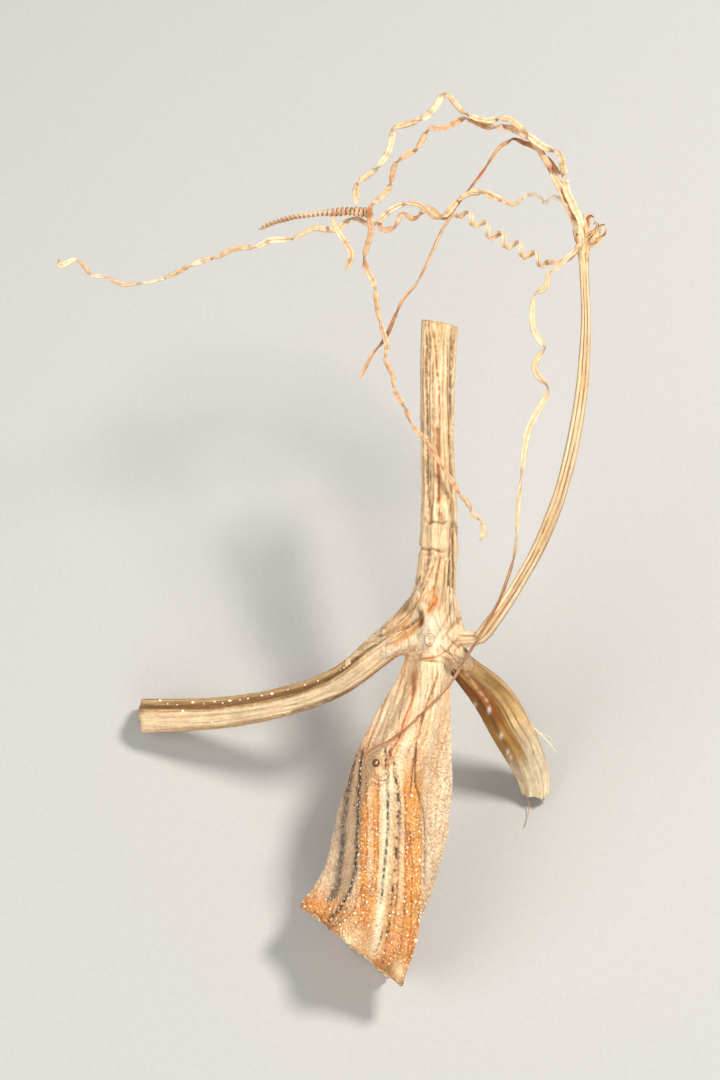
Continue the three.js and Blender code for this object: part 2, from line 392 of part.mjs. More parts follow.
// ---- vine stubs: fluted rind round a hollow pith ----
const peduncleClear = peduncle(1, GAP);
const upperClear = stem(UPPER_VINE, { grow: GAP });
const bore = { flute: 0, sides: 14 };
function vine(line, clear) {
  let r = stem(line).subtract(stem(line, { share: RIND_SHARE, ...bore, extendEnd: 1 }));
  let p = stem(line, { share: RIND_SHARE, grow: -GAP, ...bore }).subtract(stem(line, { share: PITH_BORE_SHARE, ...bore, sides: 10, extendEnd: 1 }));
  for (const c of clear) { r = r.subtract(c); p = p.subtract(c); }
  return [largest(r), largest(p)];
}
const [upperRind, upperPith] = vine(UPPER_VINE, [crownClear, peduncleClear]);
add('vine_upper_rind', upperRind, 0xe8cf9e, 0.75);
add('vine_upper_pith', upperPith, 0xb98b55, 0.95);
const [leftRind, leftPith] = vine(LEFT_VINE, [crownClear, peduncleClear, upperClear]);
add('vine_left_rind', leftRind, 0xe6c993, 0.75);
add('vine_left_pith', leftPith, 0xb98b55, 0.95);

// ---- leaf stalk stump: two split halves of the rind on a pith strip ----
function halfShell(line, side, tipCut) {
  const pts = line.map(V);
  const fr = sideFrames(pts);
  const rings = pts.map((p, i) => {
    const near = Math.max(0, i - (pts.length - 4)) / 3;        // 0 to 1 along the last stations
    const h = line[i][3], out = [], back = [];
    const from = 0.12 + near * tipCut, to = Math.PI - from;
    for (let k = 0; k <= 6; k++) {
      const a = from + ((to - from) * k) / 6;
      out.push([side * h * Math.sin(a), PETIOLE_DEPTH * h * Math.cos(a)]);
      if (k % 2 === 0) back.unshift([side * h * 0.58 * Math.sin(a), PETIOLE_DEPTH * h * 0.58 * Math.cos(a)]);
    }
    for (const q of [...out, ...back]) q[0] += side * GAP * 0.6;
    return [...out, ...back].map(([a, b]) => p.clone().addScaledVector(fr[i].across, a).addScaledVector(fr[i].depth, b));
  });
  return loft(rings);
}
{
  const halves = [-1, 1].map((side) => largest(halfShell(PETIOLE, side, 0.35).subtract(crownClear).subtract(peduncleClear)))
    .sort((a, b) => a.boundingBox().min[0] - b.boundingBox().min[0]);
  add('petiole_half_left', halves[0], 0xa9763f, 0.8);
  add('petiole_half_right', halves[1], 0xe3cfa2, 0.8);
  const pith = stem(PETIOLE.slice(0, -1), { depthRatio: PETIOLE_DEPTH, share: 0.47, flute: 0, sides: 10 });
  add('petiole_pith', largest(pith.subtract(crownClear).subtract(peduncleClear)), 0xd9bf8c, 0.95);
}

// ---- tendril ----
const footOpt = { sides: 12, flute: 0.05, depthRatio: 0.9 };
add('tendril_foot', largest(stem(TENDRIL_FOOT, footOpt).subtract(crownClear)), 0xe3c595, 0.75);
add('tendril_stalk', stem(TENDRIL_STALK, { sides: 10, flute: 0.08, depthRatio: 0.85, firstTangent: new THREE.Vector3(1, 0.05, 0) }), 0xe0c08c, 0.75);
add('tendril_fork', ellipsoid(FORK_CENTRE, [FORK_RADIUS, FORK_RADIUS, FORK_RADIUS], 0, 12), 0xb9844c, 0.7);

// dried scale curls beside the fork, grown together at their root
{
  const [u, v, w] = FORK_CENTRE;
  const curl = (pts, t) => ribbon(pts.map(([a, b, c, h]) => [u + a, v + b, w + c, h]), t);
  const root = FORK_RADIUS + GAP + 0.05;
  const a = curl([[root, -0.35, -0.2, 0.35], [2.2, -0.1, 0, 0.55], [3.4, 0.4, 0.3, 0.6], [4.4, 1.3, 0.4, 0.5], [5.0, 2.4, 0.3, 0.3]], 0.45);
  const b = curl([[root, 0.25, -0.2, 0.35], [2.1, 1.2, -0.5, 0.45], [2.4, 2.6, -0.7, 0.4], [2.0, 4.0, -0.7, 0.35], [2.2, 5.4, -0.5, 0.25]], 0.45);
  const c = curl([[root + 0.1, -0.1, -0.15, 0.4], [2.3, 0.5, -0.3, 0.45], [3.4, 1.7, -0.4, 0.4], [4.2, 3.2, -0.3, 0.3]], 0.5);
  add('fork_scales', largest(a.add(b).add(c)), 0xb98450, 0.7);
}

add('tendril_branch_1', ribbon(BRANCH_1, 0.5), 0xa9713c, 0.7);
add('tendril_branch_2', ribbon(BRANCH_2), 0xe0b98a, 0.7);
add('tendril_branch_2_tail', ribbon(BRANCH_2_TAIL), 0xe6c596, 0.7);
add('tendril_branch_3', ribbon(BRANCH_3), 0xe3bd8e, 0.7);
add('tendril_branch_4', ribbon(BRANCH_4), 0xe6c596, 0.7);

// ---- branch 5: open screw, loops, and the tight coil ----
{
  const axis = new THREE.CatmullRomCurve3(BRANCH_5_HELIX_AXIS.map(V), false, 'centripetal');
  const L = axis.getLength();
  const turns = 5.5, n = Math.round(turns * 9);
  const line = [];
  for (let i = 0; i <= n; i++) {
    const f = i / n;
    const p = axis.getPointAt(f), t = axis.getTangentAt(f);
    const k = Math.min(BRANCH_5_HELIX_AXIS.length - 1.001, f * (BRANCH_5_HELIX_AXIS.length - 1));
    const k0 = Math.floor(k), r = THREE.MathUtils.lerp(BRANCH_5_HELIX_AXIS[k0][3], BRANCH_5_HELIX_AXIS[k0 + 1][3], k - k0);
    const across = new THREE.Vector3(-t.y, t.x, 0).normalize();
    const depth = new THREE.Vector3().crossVectors(t, across).normalize();
    const a = 2 * Math.PI * turns * f + 2.4;
    const q = p.addScaledVector(across, r * Math.cos(a)).addScaledVector(depth, r * Math.sin(a));
    line.push([q.x, q.y, q.z]);
  }
  const thread = (pts, r, sides = 5) => {
    const c = pts.map(V), t = tangents(c);
    let ref = new THREE.Vector3(0, 0, 1);
    const rings = c.map((p, i) => {
      const x = ref.clone().addScaledVector(t[i], -ref.dot(t[i])).normalize();
      ref = x.clone();
      const y = new THREE.Vector3().crossVectors(t[i], x);
      const ring = [];
      for (let k = 0; k < sides; k++) {
        const g = (2 * Math.PI * k) / sides;
        ring.push(p.clone().addScaledVector(x, r * Math.cos(g)).addScaledVector(y, r * Math.sin(g)));
      }
      return ring;
    });
    return loft(rings);
  };
  add('tendril_branch_5_root', ribbon(BRANCH_5_ROOT, 0.5), 0xd9b384, 0.7);
  add('tendril_branch_5_screw', thread(line.slice(2), 0.32), 0xdab587, 0.7);
  add('tendril_branch_5_loops', ribbon(BRANCH_5_LOOPS, 0.5), 0xe0bc90, 0.7);
  add('tendril_coil', stem(COIL_AXIS, { sides: 10, flute: 0 }), 0xdcb487, 0.7);
}

add('tendril_branch_6', ribbon(BRANCH_6, 0.45), 0xa8713c, 0.7);
add('tendril_tip_bead', ellipsoid(BEAD_CENTRE, [BEAD_RADIUS, BEAD_RADIUS, BEAD_RADIUS], 0, 12), 0xa4662c, 0.35);

// ---- lean and rest on Z = 0, centred on the footprint ----
const plant = new THREE.Group();
plant.add(...parts);
plant.rotation.x = THREE.MathUtils.degToRad(LEAN_DEG);
const group = new THREE.Group();
group.add(plant);
group.updateMatrixWorld(true);
const box = new THREE.Box3().setFromObject(group, true);
plant.position.set(-(box.min.x + box.max.x) / 2, -(box.min.y + box.max.y) / 2, -box.min.z);
group.updateMatrixWorld(true);

export default group;
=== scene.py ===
# Dried squash fruit stalk with vine node and tendril: the looks.
# Lengths in the tables are millimetres in the plant's leaning design frame (u right, v up the stalk, w to the front).
import bpy
import math
import numpy as np
from mathutils import Vector, Matrix


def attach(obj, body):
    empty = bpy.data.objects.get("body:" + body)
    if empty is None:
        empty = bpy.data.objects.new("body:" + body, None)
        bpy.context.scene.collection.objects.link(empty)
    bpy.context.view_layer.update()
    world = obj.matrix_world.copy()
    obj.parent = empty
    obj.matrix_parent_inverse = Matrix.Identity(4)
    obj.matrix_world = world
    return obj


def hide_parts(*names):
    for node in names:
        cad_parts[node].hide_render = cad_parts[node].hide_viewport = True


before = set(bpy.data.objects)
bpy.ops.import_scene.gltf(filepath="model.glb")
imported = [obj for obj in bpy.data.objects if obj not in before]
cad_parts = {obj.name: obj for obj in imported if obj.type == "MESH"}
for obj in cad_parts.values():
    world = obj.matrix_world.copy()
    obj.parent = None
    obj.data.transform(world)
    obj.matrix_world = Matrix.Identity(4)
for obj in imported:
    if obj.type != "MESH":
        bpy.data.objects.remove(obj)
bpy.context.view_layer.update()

LEAN = math.radians(25.0)
PLANT = np.array([6.172163, -0.430065, 58.737124])          # millimetres
EYE = 600.0                            # viewing distance of the design frame, millimetres
UPPER_VINE = [[17.64,48.24,-3,4.09],[17.42,43.55,-3,4.02],[17.2,37.97,-3,3.91],[17.04,31.27,-3,3.8],[17.09,24.57,-3,3.75],[17.2,17.87,-3,3.8],[17.42,12.28,-3,3.86],[17.53,7.82,-3,4.02],[17.42,4.47,-3,4.07],[17.42,1.12,-3,4.15],[17.31,-2.01,-3,4.47],[17.2,-4.02,-3,4.31],[16.86,-7.82,-3,4.36],[16.54,-11.17,-3.3,4.58],[16.32,-14.54,-3.8,4.92],[16.34,-17.9,-4.2,4.92]]
LEFT_VINE = [[-51.56,-41.94,-41.59,4.04],[-48.51,-41.77,-38.9,3.98],[-43.62,-41.5,-36.6,3.87],[-37.56,-41.08,-33.8,3.76],[-31.55,-40.43,-31,3.65],[-25.59,-39.42,-28,3.54],[-19.67,-38.07,-24.8,3.42],[-13.81,-36.36,-21.4,3.31],[-9.16,-34.58,-18.3,3.3],[-4.56,-32.23,-15,3.3],[-0.45,-29.25,-12.1,3.35],[3.39,-25.97,-9.8,3.48],[6.76,-23.19,-8,3.6],[10.11,-20.67,-6.6,3.93],[13.46,-19.07,-5.6,4.04]]
PETIOLE = [[20.72,-25.9,-8,2.7],[22.61,-28.26,-10.4,2.94],[25.21,-30.89,-13.2,3.29],[28.55,-34.26,-16.6,4.0],[31.57,-38.12,-20,4.48],[34.42,-42.97,-23.8,4.62],[37.22,-47.8,-28.0,4.42],[39.53,-52.87,-31.6,3.93],[40.86,-56.94,-34.0,3.33],[41.29,-60.23,-35.29,2.94]]
FOOT_T = [[18.8,-22.38,-4.2,2.69],[20.57,-22.14,-3.8,2.19],[22.79,-22.16,-3.2,1.92],[24.56,-22.1,-2.8,1.7],[26.11,-21.98,-2.5,1.54]]
STALK = [[26.66,-21.86,-2.4,1.47],[28.1,-20.18,-2.2,1.65],[29.65,-18.06,-2,1.58],[31.65,-15.27,-1.8,1.47],[33.87,-12.03,-1.6,1.38],[35.86,-8.69,-1.4,1.36],[38.3,-4.45,-1.2,1.38],[40.29,-0.45,-1,1.45],[42.29,4.23,-0.9,1.47],[44.06,8.9,-0.8,1.45],[45.27,12.9,-0.7,1.38],[46.49,17.57,-0.6,1.45],[47.59,22.69,-0.5,1.47],[48.7,28.91,-0.4,1.45],[49.58,35.57,-0.3,1.4],[50.02,42.24,-0.2,1.25],[50.23,48.45,-0.1,1.11],[50.11,53.33,0,1.04],[49.89,57.78,0,1.02],[49.76,61.56,0,1.04],[49.62,64.22,0,1.07]]
T1 = [[49.86,67.7,-2.3,0.4],[48.41,70.28,-2.4,0.4],[46.86,73.19,-2.5,0.4],[45.07,76.97,-2.4,0.4],[43.27,80.96,-2.2,0.4],[41.47,84.5,-2.0,0.45],[40.01,86.93,-1.8,0.54],[38.34,87.94,-1.9,0.58],[36.56,88.55,-1.9,0.49],[34.44,89.39,-1.9,0.31],[32.77,88.6,-1.8,0.33],[31.32,87.71,-1.8,0.33],[30.2,86.37,-1.8,0.31],[28.75,84.25,-1.8,0.29],[27.2,81.92,-1.9,0.29],[25.19,79.25,-1.9,0.27],[22.96,76.35,-1.9,0.27],[21.17,73.86,-1.6,0.27],[19.59,71.02,-1.1,0.31],[18.01,68.38,-0.4,0.33],[16.21,64.4,0.4,0.33],[14.3,59.99,1.2,0.31],[12.52,56.85,1.6,0.29],[10.74,54.83,1.9,0.33],[9.3,52.93,2,0.35],[7.97,50.05,2,0.33],[6.98,47.62,2,0.4],[5.98,45.4,2,0.4],[4.43,43.08,2,0.29],[2.66,41.09,2,0.31],[1.33,38.43,2,0.38],[-0.11,35.66,2,0.42]]
T2 = [[50.32,68.34,0.9,0.58],[49.41,71.66,1.0,0.64],[47.95,74.81,0.6,0.71],[46.4,77.7,0.6,0.67],[45.58,80.81,0.6,0.71],[44.84,83.92,0.6,0.67],[44.05,85.89,0.8,0.62],[42.36,86.6,1.2,0.62],[40.56,87.16,1.5,0.64],[38.78,88.54,1.6,0.69],[36.58,90.45,1.4,0.71],[34.61,92.4,1.0,0.64],[33.07,93.45,0.7,0.6],[31.08,93.68,0.6,0.56],[28.41,93.1,0.8,0.58],[26.18,93.51,1.0,0.56],[23.96,94.29,1.0,0.53],[22.41,95.4,1.0,0.56],[20.63,97.5,1.0,0.6],[19.19,98.95,1.0,0.4],[18.19,98.5,1.0,0.58],[17.08,96.51,1.0,0.71],[15.31,94.51,1.0,0.64],[13.31,93.29,1.0,0.6],[10.87,92.4,1.0,0.64],[8.65,91.85,1.0,0.64],[7.21,91.18,1.0,0.4],[7.1,88.74,1.0,0.69],[6.32,86.19,1.0,0.64],[4.88,83.97,1.0,0.58],[3.77,82.42,1.0,0.35],[2.0,81.18,1.1,0.58],[0.22,79.84,1.2,0.49],[-0.67,78.94,1.3,0.4],[-0.89,76.7,1.5,0.75],[-0.78,74.23,1.7,0.67]]
TAIL2 = [[-5.99,71.51,1.3,0.49],[-5.43,69.6,1.5,0.58],[-4.21,67.47,1.7,0.62],[-2.88,65.47,1.8,0.62],[-1.99,63.58,1.9,0.62],[-2.33,61.58,1.9,0.6],[-3.21,59.7,1.9,0.62]]
T3 = [[48.84,67.82,0.6,0.62],[47.62,70.82,0.6,0.67],[46.18,73.93,0.6,0.8],[44.4,77.7,0.6,0.71],[42.62,81.47,0.6,0.67],[40.85,85.03,0.6,0.67],[39.31,87.51,0.3,0.71],[37.57,89.27,-0.3,0.71],[35.59,90.74,-0.5,0.69],[33.37,91.65,-0.6,0.65],[31.15,91.77,-0.7,0.58],[28.48,92.0,-0.7,0.58],[26.25,92.65,-0.6,0.58],[23.57,93.75,-0.5,0.53],[21.79,93.16,-0.3,0.58],[20.0,92.02,-0.1,0.58],[18.22,91.44,0,0.53],[16.0,91.51,0,0.49],[14.89,90.89,0,0.44],[13.78,88.89,0,0.62],[12.67,87.11,0,0.49],[10.89,86.0,0,0.6],[9.11,84.67,0,0.49],[8.0,83.76,0.1,0.44],[7.33,81.75,0.2,0.58],[6.88,79.5,0.4,0.53],[5.99,77.47,0.7,0.56],[4.44,75.86,1.1,0.58],[2.88,74.58,1.6,0.49],[2.1,72.63,2.1,0.53],[2.43,69.71,2.5,0.62],[2.32,67.48,2.6,0.64],[1.55,65.05,2.6,0.57],[0.95,62.57,3.0,0.42],[1.22,60.58,3.0,0.51],[2.43,58.15,3.0,0.6],[3.32,55.72,3.0,0.57],[3.65,52.62,3.0,0.55],[4.2,49.53,3.0,0.49],[4.86,46.88,3.0,0.49],[5.64,44.44,3.0,0.53],[5.97,42.23,3.0,0.49],[5.53,40.46,3.0,0.35],[6.19,38.47,3.0,0.57],[7.3,36.48,3.0,0.51],[7.52,33.61,3.0,0.4],[8.4,31.62,3.0,0.57],[9.73,29.63,3.0,0.4],[10.61,27.64,3.0,0.53],[11.28,25.87,3.0,0.35],[12.38,24.32,3.0,0.51],[14.15,22.55,3.0,0.38],[15.48,20.34,3.0,0.49],[17.03,18.13,3.0,0.46],[18.35,15.92,3.0,0.38],[19.9,13.6,3.0,0.51],[21.23,11.72,3.0,0.49],[22.11,10.06,3.0,0.38],[23.44,8.73,3.0,0.53],[24.32,7.08,3.0,0.42],[25.02,5.76,2.3,0.47],[26.35,4.65,2.2,0.4],[27.35,3.1,2,0.42],[27.47,1.55,1.8,0.71],[26.6,0.0,1.6,0.67]]
T4 = [[49.8,67.62,-1.55,0.54],[48.14,69.97,-1.7,0.54],[46.57,73.31,-1.6,0.49],[45.24,75.44,-1.7,0.45],[43.49,76.39,-2.2,0.49],[42.24,76.09,-3.4,0.4],[41.19,75.55,-4.4,0.42],[40.12,76.88,-5.2,0.4],[38.83,77.59,-6,0.38],[37.38,77.35,-6.2,0.29],[36.15,76.45,-6.2,0.23],[34.77,75.25,-5.6,0.36],[32.67,75.64,-4.2,0.49],[30.35,76.44,-2.6,0.62],[28.05,77.13,-1,0.65],[25.79,77.36,-0.2,0.65],[23.78,76.78,0,0.58],[21.89,75.67,0,0.51],[20.56,74.11,0,0.58],[19.33,72.56,0,0.58],[18.0,71.71,0,0.51],[16.44,71.89,0,0.58],[15.11,73.0,0,0.58],[13.56,74.33,0,0.53],[11.56,74.84,0,0.47],[9.11,74.56,0,0.47],[6.89,73.33,0,0.56],[5.22,71.79,-0.1,0.49],[3.78,70.48,-0.3,0.4],[2.0,70.24,-1.1,0.49],[0.0,71.35,-2.0,0.54],[-2.01,71.65,-2.3,0.49],[-3.57,70.57,-2.0,0.54],[-5.12,69.18,-1.2,0.49],[-7.56,69.05,-0.4,0.6],[-10.0,69.27,0,0.53],[-12.67,68.22,0,0.49],[-14.89,67.0,0,0.4],[-17.56,66.78,0,0.6],[-20.0,66.56,0,0.53],[-22.0,65.67,0,0.49],[-23.78,65.0,0,0.33],[-26.22,65.0,0,0.6],[-28.44,64.56,0,0.49],[-30.67,63.38,0,0.47],[-32.89,62.56,0,0.38],[-35.56,61.78,0,0.51],[-38.0,60.82,0,0.47],[-40.67,59.44,0,0.38],[-43.33,58.29,0,0.36],[-46.67,57.33,0,0.24],[-50.0,56.93,0,0.24],[-52.44,56.71,0,0.44],[-54.44,57.44,0,0.44],[-56.22,58.4,0,0.36],[-58.22,58.71,0,0.44],[-60.0,59.11,0,0.31],[-61.11,60.67,0,0.49],[-62.2,61.71,0.2,0.33],[-63.49,62.16,0.6,0.35],[-65.22,61.34,1,0.58],[-66.31,60.77,1.2,0.53],[-66.84,61.63,1.4,0.44],[-66.5,62.62,1.5,0.49]]
T6_ROOT = [[48.35,64.5,-1.6,0.45],[47.09,63.16,-2.6,0.49],[45.14,62.35,-3.4,0.49],[43.16,62.17,-3.8,0.49]]
HELIX_AXIS = [[42.27,61.96,-3.9,1.68],[39.14,63.07,-3.9,1.79],[34.66,65.52,-3.8,1.86],[30.63,67.97,-3.7,1.86],[26.83,70.53,-3.6,1.79],[23.69,72.31,-3.5,1.45],[21.23,72.97,-3.4,0.89]]
T6_MID = [[19.88,72.5,-3.2,0.49],[18.53,72.0,-2.8,0.49],[17.18,72.85,-2.4,0.54],[15.83,73.86,-2.1,0.54],[14.49,73.68,-1.9,0.49],[13.15,72.31,-1.7,0.42],[11.92,71.58,-1.5,0.54],[10.69,72.17,-1.4,0.54],[9.47,72.88,-1.4,0.4],[8.58,71.51,-1.5,0.54],[7.8,69.85,-1.6,0.42],[6.24,69.13,-1.7,0.58],[4.68,69.31,-1.7,0.4],[4.34,70.37,-1.3,0.36],[4.27,71.33,-0.9,0.31]]
COIL_AXIS = [[2.89,72.33,-0.2,1.02],[1.33,72.81,-0.3,1.07],[-1.33,73.05,-0.4,1.07],[-4.0,73.07,-0.6,1.02],[-6.68,72.92,-1.2,0.76],[-9.37,72.89,-2.4,0.65],[-12.08,72.77,-4.2,0.58],[-14.83,72.59,-6.8,0.52],[-17.63,72.32,-10.2,0.47],[-20.48,71.92,-14.5,0.43],[-23.17,71.36,-19.5,0.39]]
T7 = [[48.17,65.06,1.5,0.49],[47.29,63.69,1.9,0.58],[46.05,62.76,2.3,0.66],[44.91,61.39,2.7,0.49],[43.55,60.07,3.1,0.51],[42.09,59.44,3.4,0.4],[41.63,58.08,3.7,0.53],[41.17,56.19,3.9,0.53],[39.73,54.95,4.1,0.57],[38.51,54.06,4.2,0.35],[38.06,51.85,4.3,0.57],[38.01,48.98,4.3,0.62],[38.5,46.11,4.3,0.55],[39.71,43.91,4.3,0.53],[40.82,42.36,4.3,0.35],[39.49,40.71,4.3,0.53],[38.57,38.5,4.3,0.6],[39.05,36.51,4.3,0.64],[40.49,34.97,4.3,0.53],[41.48,33.42,4.3,0.4],[40.82,31.22,4.3,0.64],[39.16,28.35,4.3,0.68],[37.51,25.04,4.3,0.66],[36.51,21.18,4.3,0.57],[36.07,17.43,4.3,0.44],[35.52,13.68,4.3,0.35],[35.08,9.49,4.3,0.42],[34.86,5.52,4.3,0.42],[34.64,1.76,4.25,0.29],[34.31,-1.76,4.2,0.31],[33.66,-5.08,4.0,0.31],[32.48,-8.84,3.5,0.33],[31.07,-12.83,2.9,0.33],[29.54,-15.82,2.5,0.31],[28.11,-18.37,2.35,0.31],[26.56,-21.14,2.35,0.29],[25.12,-23.46,2.35,0.29],[23.68,-25.68,2.35,0.29],[22.25,-28.11,2.35,0.29],[21.03,-30.21,2.35,0.31],[19.48,-32.43,2.35,0.29],[17.6,-34.53,2.35,0.29],[15.27,-36.85,2.35,0.27],[12.95,-39.07,2.35,0.27],[10.74,-41.17,2.35,0.27],[8.63,-42.83,2.35,0.27],[6.53,-44.38,2.35,0.27],[4.42,-45.46,2.7,0.24],[2.43,-46.35,2.7,0.22],[1.33,-47.56,2.7,0.22],[0.99,-49.22,2.7,0.2],[1.66,-50.88,2.7,0.2],[3.1,-52.43,2.7,0.2],[4.87,-53.27,2.7,0.18],[6.19,-52.76,2.7,0.18],[6.42,-51.43,2.7,0.18],[5.86,-50.55,2.7,0.18]]
PEDUNCLE_RIBS = [[[11.02,-24.73,-7],[14.0,-25.11,0.0],[17.77,-25.1,0.2],[20.68,-25.4,-7],[15.89,-24.97,-13]],[[8.33,-31.09,-8.2],[12.88,-31.09,0.4],[17.98,-31.52,0.6],[20.28,-32.0,-8.5],[14.58,-31.43,-15]],[[4.96,-36.99,-9],[10.43,-36.85,0.7],[16.87,-37.28,0.8],[20.32,-37.92,-9.5],[12.57,-37.48,-17]],[[1.81,-42.67,-9.5],[7.1,-42.6,1],[15.53,-43.26,1],[20.35,-44.09,-10.5],[10.31,-43.52,-18.5]],[[-0.9,-48.12,-10],[3.99,-48.13,1.1],[13.75,-49.23,1.2],[20.5,-50.28,-11.5],[8.49,-49.81,-19.7]],[[-2.94,-54.25,-10.3],[2.22,-54.34,1.2],[12.2,-54.99,1.3],[20.64,-56.26,-12.5],[6.89,-56.3,-20.5]],[[-4.52,-59.92,-10.5],[1.11,-60.31,1.3],[12.2,-60.98,1.3],[20.1,-62.47,-13.3],[5.52,-62.56,-21]],[[-5.88,-66.7,-10.5],[0.67,-66.51,1.4],[12.86,-67.2,1.2],[19.34,-68.94,-14.3],[3.68,-69.06,-21.5]],[[-7.69,-73.46,-10.3],[0.22,-72.71,1.5],[13.09,-73.65,1],[17.55,-75.2,-15.3],[1.61,-75.56,-22]],[[-10.39,-78.37,-9.8],[-0.66,-78.68,1.6],[13.11,-80.0,0],[15.3,-82.2,-16.5],[-0.92,-81.36,-22.3]],[[-12.64,-81.23,-9.2],[-1.99,-84.66,1.6],[12.26,-89.6,-1.8],[11.43,-90.32,-17.4],[-3.46,-86.43,-22.3]],[[-13.53,-82.33,-9],[-2.88,-89.22,1.5],[9.17,-99.77,-4],[6.18,-99.57,-18],[-5.76,-90.54,-22]]]
CROWN = [17.5,-21.53,-5.6]
SHOULDER = [11.93,-17.56,-8]
GUSSET = [22.67,-26.93,-6]
BUD = [15.43,-22.19,0.75]
KNOB = [49.67,66.0,0]
BEAD = [3.54,-49.31,3.0]


RNG = np.random.default_rng(7)

def to_row(p):
    """Design frame in millimetres to the row frame in metres."""
    p = np.asarray(p, float)
    c, s = math.cos(LEAN), math.sin(LEAN)
    out = np.empty_like(p)
    out[..., 0] = p[..., 0] + PLANT[0]
    out[..., 1] = p[..., 1] * c - p[..., 2] * s + PLANT[1]
    out[..., 2] = p[..., 1] * s + p[..., 2] * c + PLANT[2]
    return out / 1000.0

def plan(p):
    """Plan coordinates (x, y) of design points, on a 720 by 1080 sheet seen from EYE."""
    k = 2700.0 / (EYE - p[..., 2])
    return 360.0 + p[..., 0] * k, 540.0 - p[..., 1] * k

def srgb(r, g, b):
    c = np.array([r, g, b], float) / 255.0
    return np.where(c <= 0.04045, c / 12.92, ((c + 0.055) / 1.055) ** 2.4)

# ---------------------------------------------------------------- noise
def _h(ix, iy, iz, seed):
    n = (ix.astype(np.int64) * 374761393 + iy.astype(np.int64) * 668265263 + iz.astype(np.int64) * 2147483647 + seed * 1274126177) & 0xFFFFFFFF
    n = ((n ^ (n >> 13)) * 1274126177) & 0xFFFFFFFF
    n = ((n ^ (n >> 16)) * 2246822519) & 0xFFFFFFFF
    return ((n ^ (n >> 15)) & 0xFFFFFF) / float(0xFFFFFF)

def vnoise(x, y, z=0.0, seed=0):
    """Value noise, 0 to 1."""
    x, y, z = np.broadcast_arrays(np.asarray(x, float), np.asarray(y, float), np.asarray(z, float))
    ix, iy, iz = np.floor(x), np.floor(y), np.floor(z)
    fx, fy, fz = x - ix, y - iy, z - iz
    fx, fy, fz = (f * f * (3 - 2 * f) for f in (fx, fy, fz))
    out = 0.0
    for dx in (0, 1):
        for dy in (0, 1):
            for dz in (0, 1):
                w = (fx if dx else 1 - fx) * (fy if dy else 1 - fy) * (fz if dz else 1 - fz)
                out = out + w * _h(ix + dx, iy + dy, iz + dz, seed)
    return out

def fbm(x, y, z=0.0, seed=0, octaves=3):
    a, s, t = 1.0, 0.0, 0.0
    for o in range(octaves):
        f = 2.0 ** o
        s = s + a * vnoise(x * f, y * f, np.asarray(z) * f, seed + 17 * o)
        t += a
        a *= 0.5
    return s / t

def smooth(a, b, x):
    t = np.clip((x - a) / (b - a), 0, 1)
    return t * t * (3 - 2 * t)

def bump(x, c, w):
    return np.exp(-((x - c) / w) ** 2)

def stroke_dist(x, y, pts):
    """Distance from points to a polyline, and the share of the way along it."""
    pts = np.asarray(pts, float)
    best = np.full(np.shape(x), 1e9)
    along = np.zeros(np.shape(x))
    seg = np.hypot(*(pts[1:] - pts[:-1]).T[:2])
    total, at = seg.sum(), 0.0
    for i in range(len(pts) - 1):
        ax, ay = pts[i][:2]; bx, by = pts[i + 1][:2]
        dx, dy = bx - ax, by - ay
        t = np.clip(((x - ax) * dx + (y - ay) * dy) / (dx * dx + dy * dy + 1e-9), 0, 1)
        d = np.hypot(x - ax - t * dx, y - ay - t * dy)
        m = d < best
        best = np.where(m, d, best)
        along = np.where(m, (at + t * seg[i]) / total, along)
        at += seg[i]
    return best, along

# ---------------------------------------------------------------- curves
def resample(pts, step=None, n=None, smooth_rounds=0):
    """Centripetal-ish Catmull-Rom through the rows of pts, resampled evenly by length of the first three columns."""
    P = np.asarray(pts, float)
    Q = np.vstack([2 * P[0] - P[1], P, 2 * P[-1] - P[-2]])
    out = []
    for i in range(1, len(Q) - 2):
        p0, p1, p2, p3 = Q[i - 1], Q[i], Q[i + 1], Q[i + 2]
        t = np.linspace(0, 1, 12, endpoint=False)[:, None]
        m1, m2 = (p2 - p0) * 0.5, (p3 - p1) * 0.5
        # keep tangents short where spacing changes, so that no loop forms
        L = np.linalg.norm((p2 - p1)[:3])
        for m in (m1, m2):
            lm = np.linalg.norm(m[:3])
            if lm > 1.3 * L:
                m *= 1.3 * L / lm
        out.append((2 * t**3 - 3 * t**2 + 1) * p1 + (t**3 - 2 * t**2 + t) * m1 + (-2 * t**3 + 3 * t**2) * p2 + (t**3 - t**2) * m2)
    out.append(Q[-2][None])
    C = np.vstack(out)
    d = np.r_[0, np.cumsum(np.linalg.norm(np.diff(C[:, :3], axis=0), axis=1))]
    if n is None:
        n = max(3, int(round(d[-1] / step)) + 1)
    s = np.linspace(0, d[-1], n)
    R = np.stack([np.interp(s, d, C[:, k]) for k in range(C.shape[1])], axis=1)
    for _ in range(smooth_rounds):
        R[1:-1] = 0.25 * R[:-2] + 0.5 * R[1:-1] + 0.25 * R[2:]
    return R, s

def tangents(P):
    t = np.gradient(P, axis=0)
    return t / (np.linalg.norm(t, axis=1, keepdims=True) + 1e-12)

def side_frames(P, first=None):
    t = tangents(P)
    if first is not None:
        t[0] = first
    a = np.stack([-t[:, 1], t[:, 0], np.zeros(len(t))], axis=1)
    a /= np.linalg.norm(a, axis=1, keepdims=True) + 1e-12
    d = np.cross(t, a)
    return a, d / (np.linalg.norm(d, axis=1, keepdims=True) + 1e-12), t

def parallel_frames(P, ref=(0, 0, 1.0)):
    """Frames carried along the curve with no twist of their own."""
    t = tangents(P)
    x = np.array(ref, float)
    X = np.empty_like(P)
    for i in range(len(P)):
        x = x - t[i] * (x @ t[i])
        x = x / (np.linalg.norm(x) + 1e-12)
        X[i] = x
    return X, np.cross(t, X), t

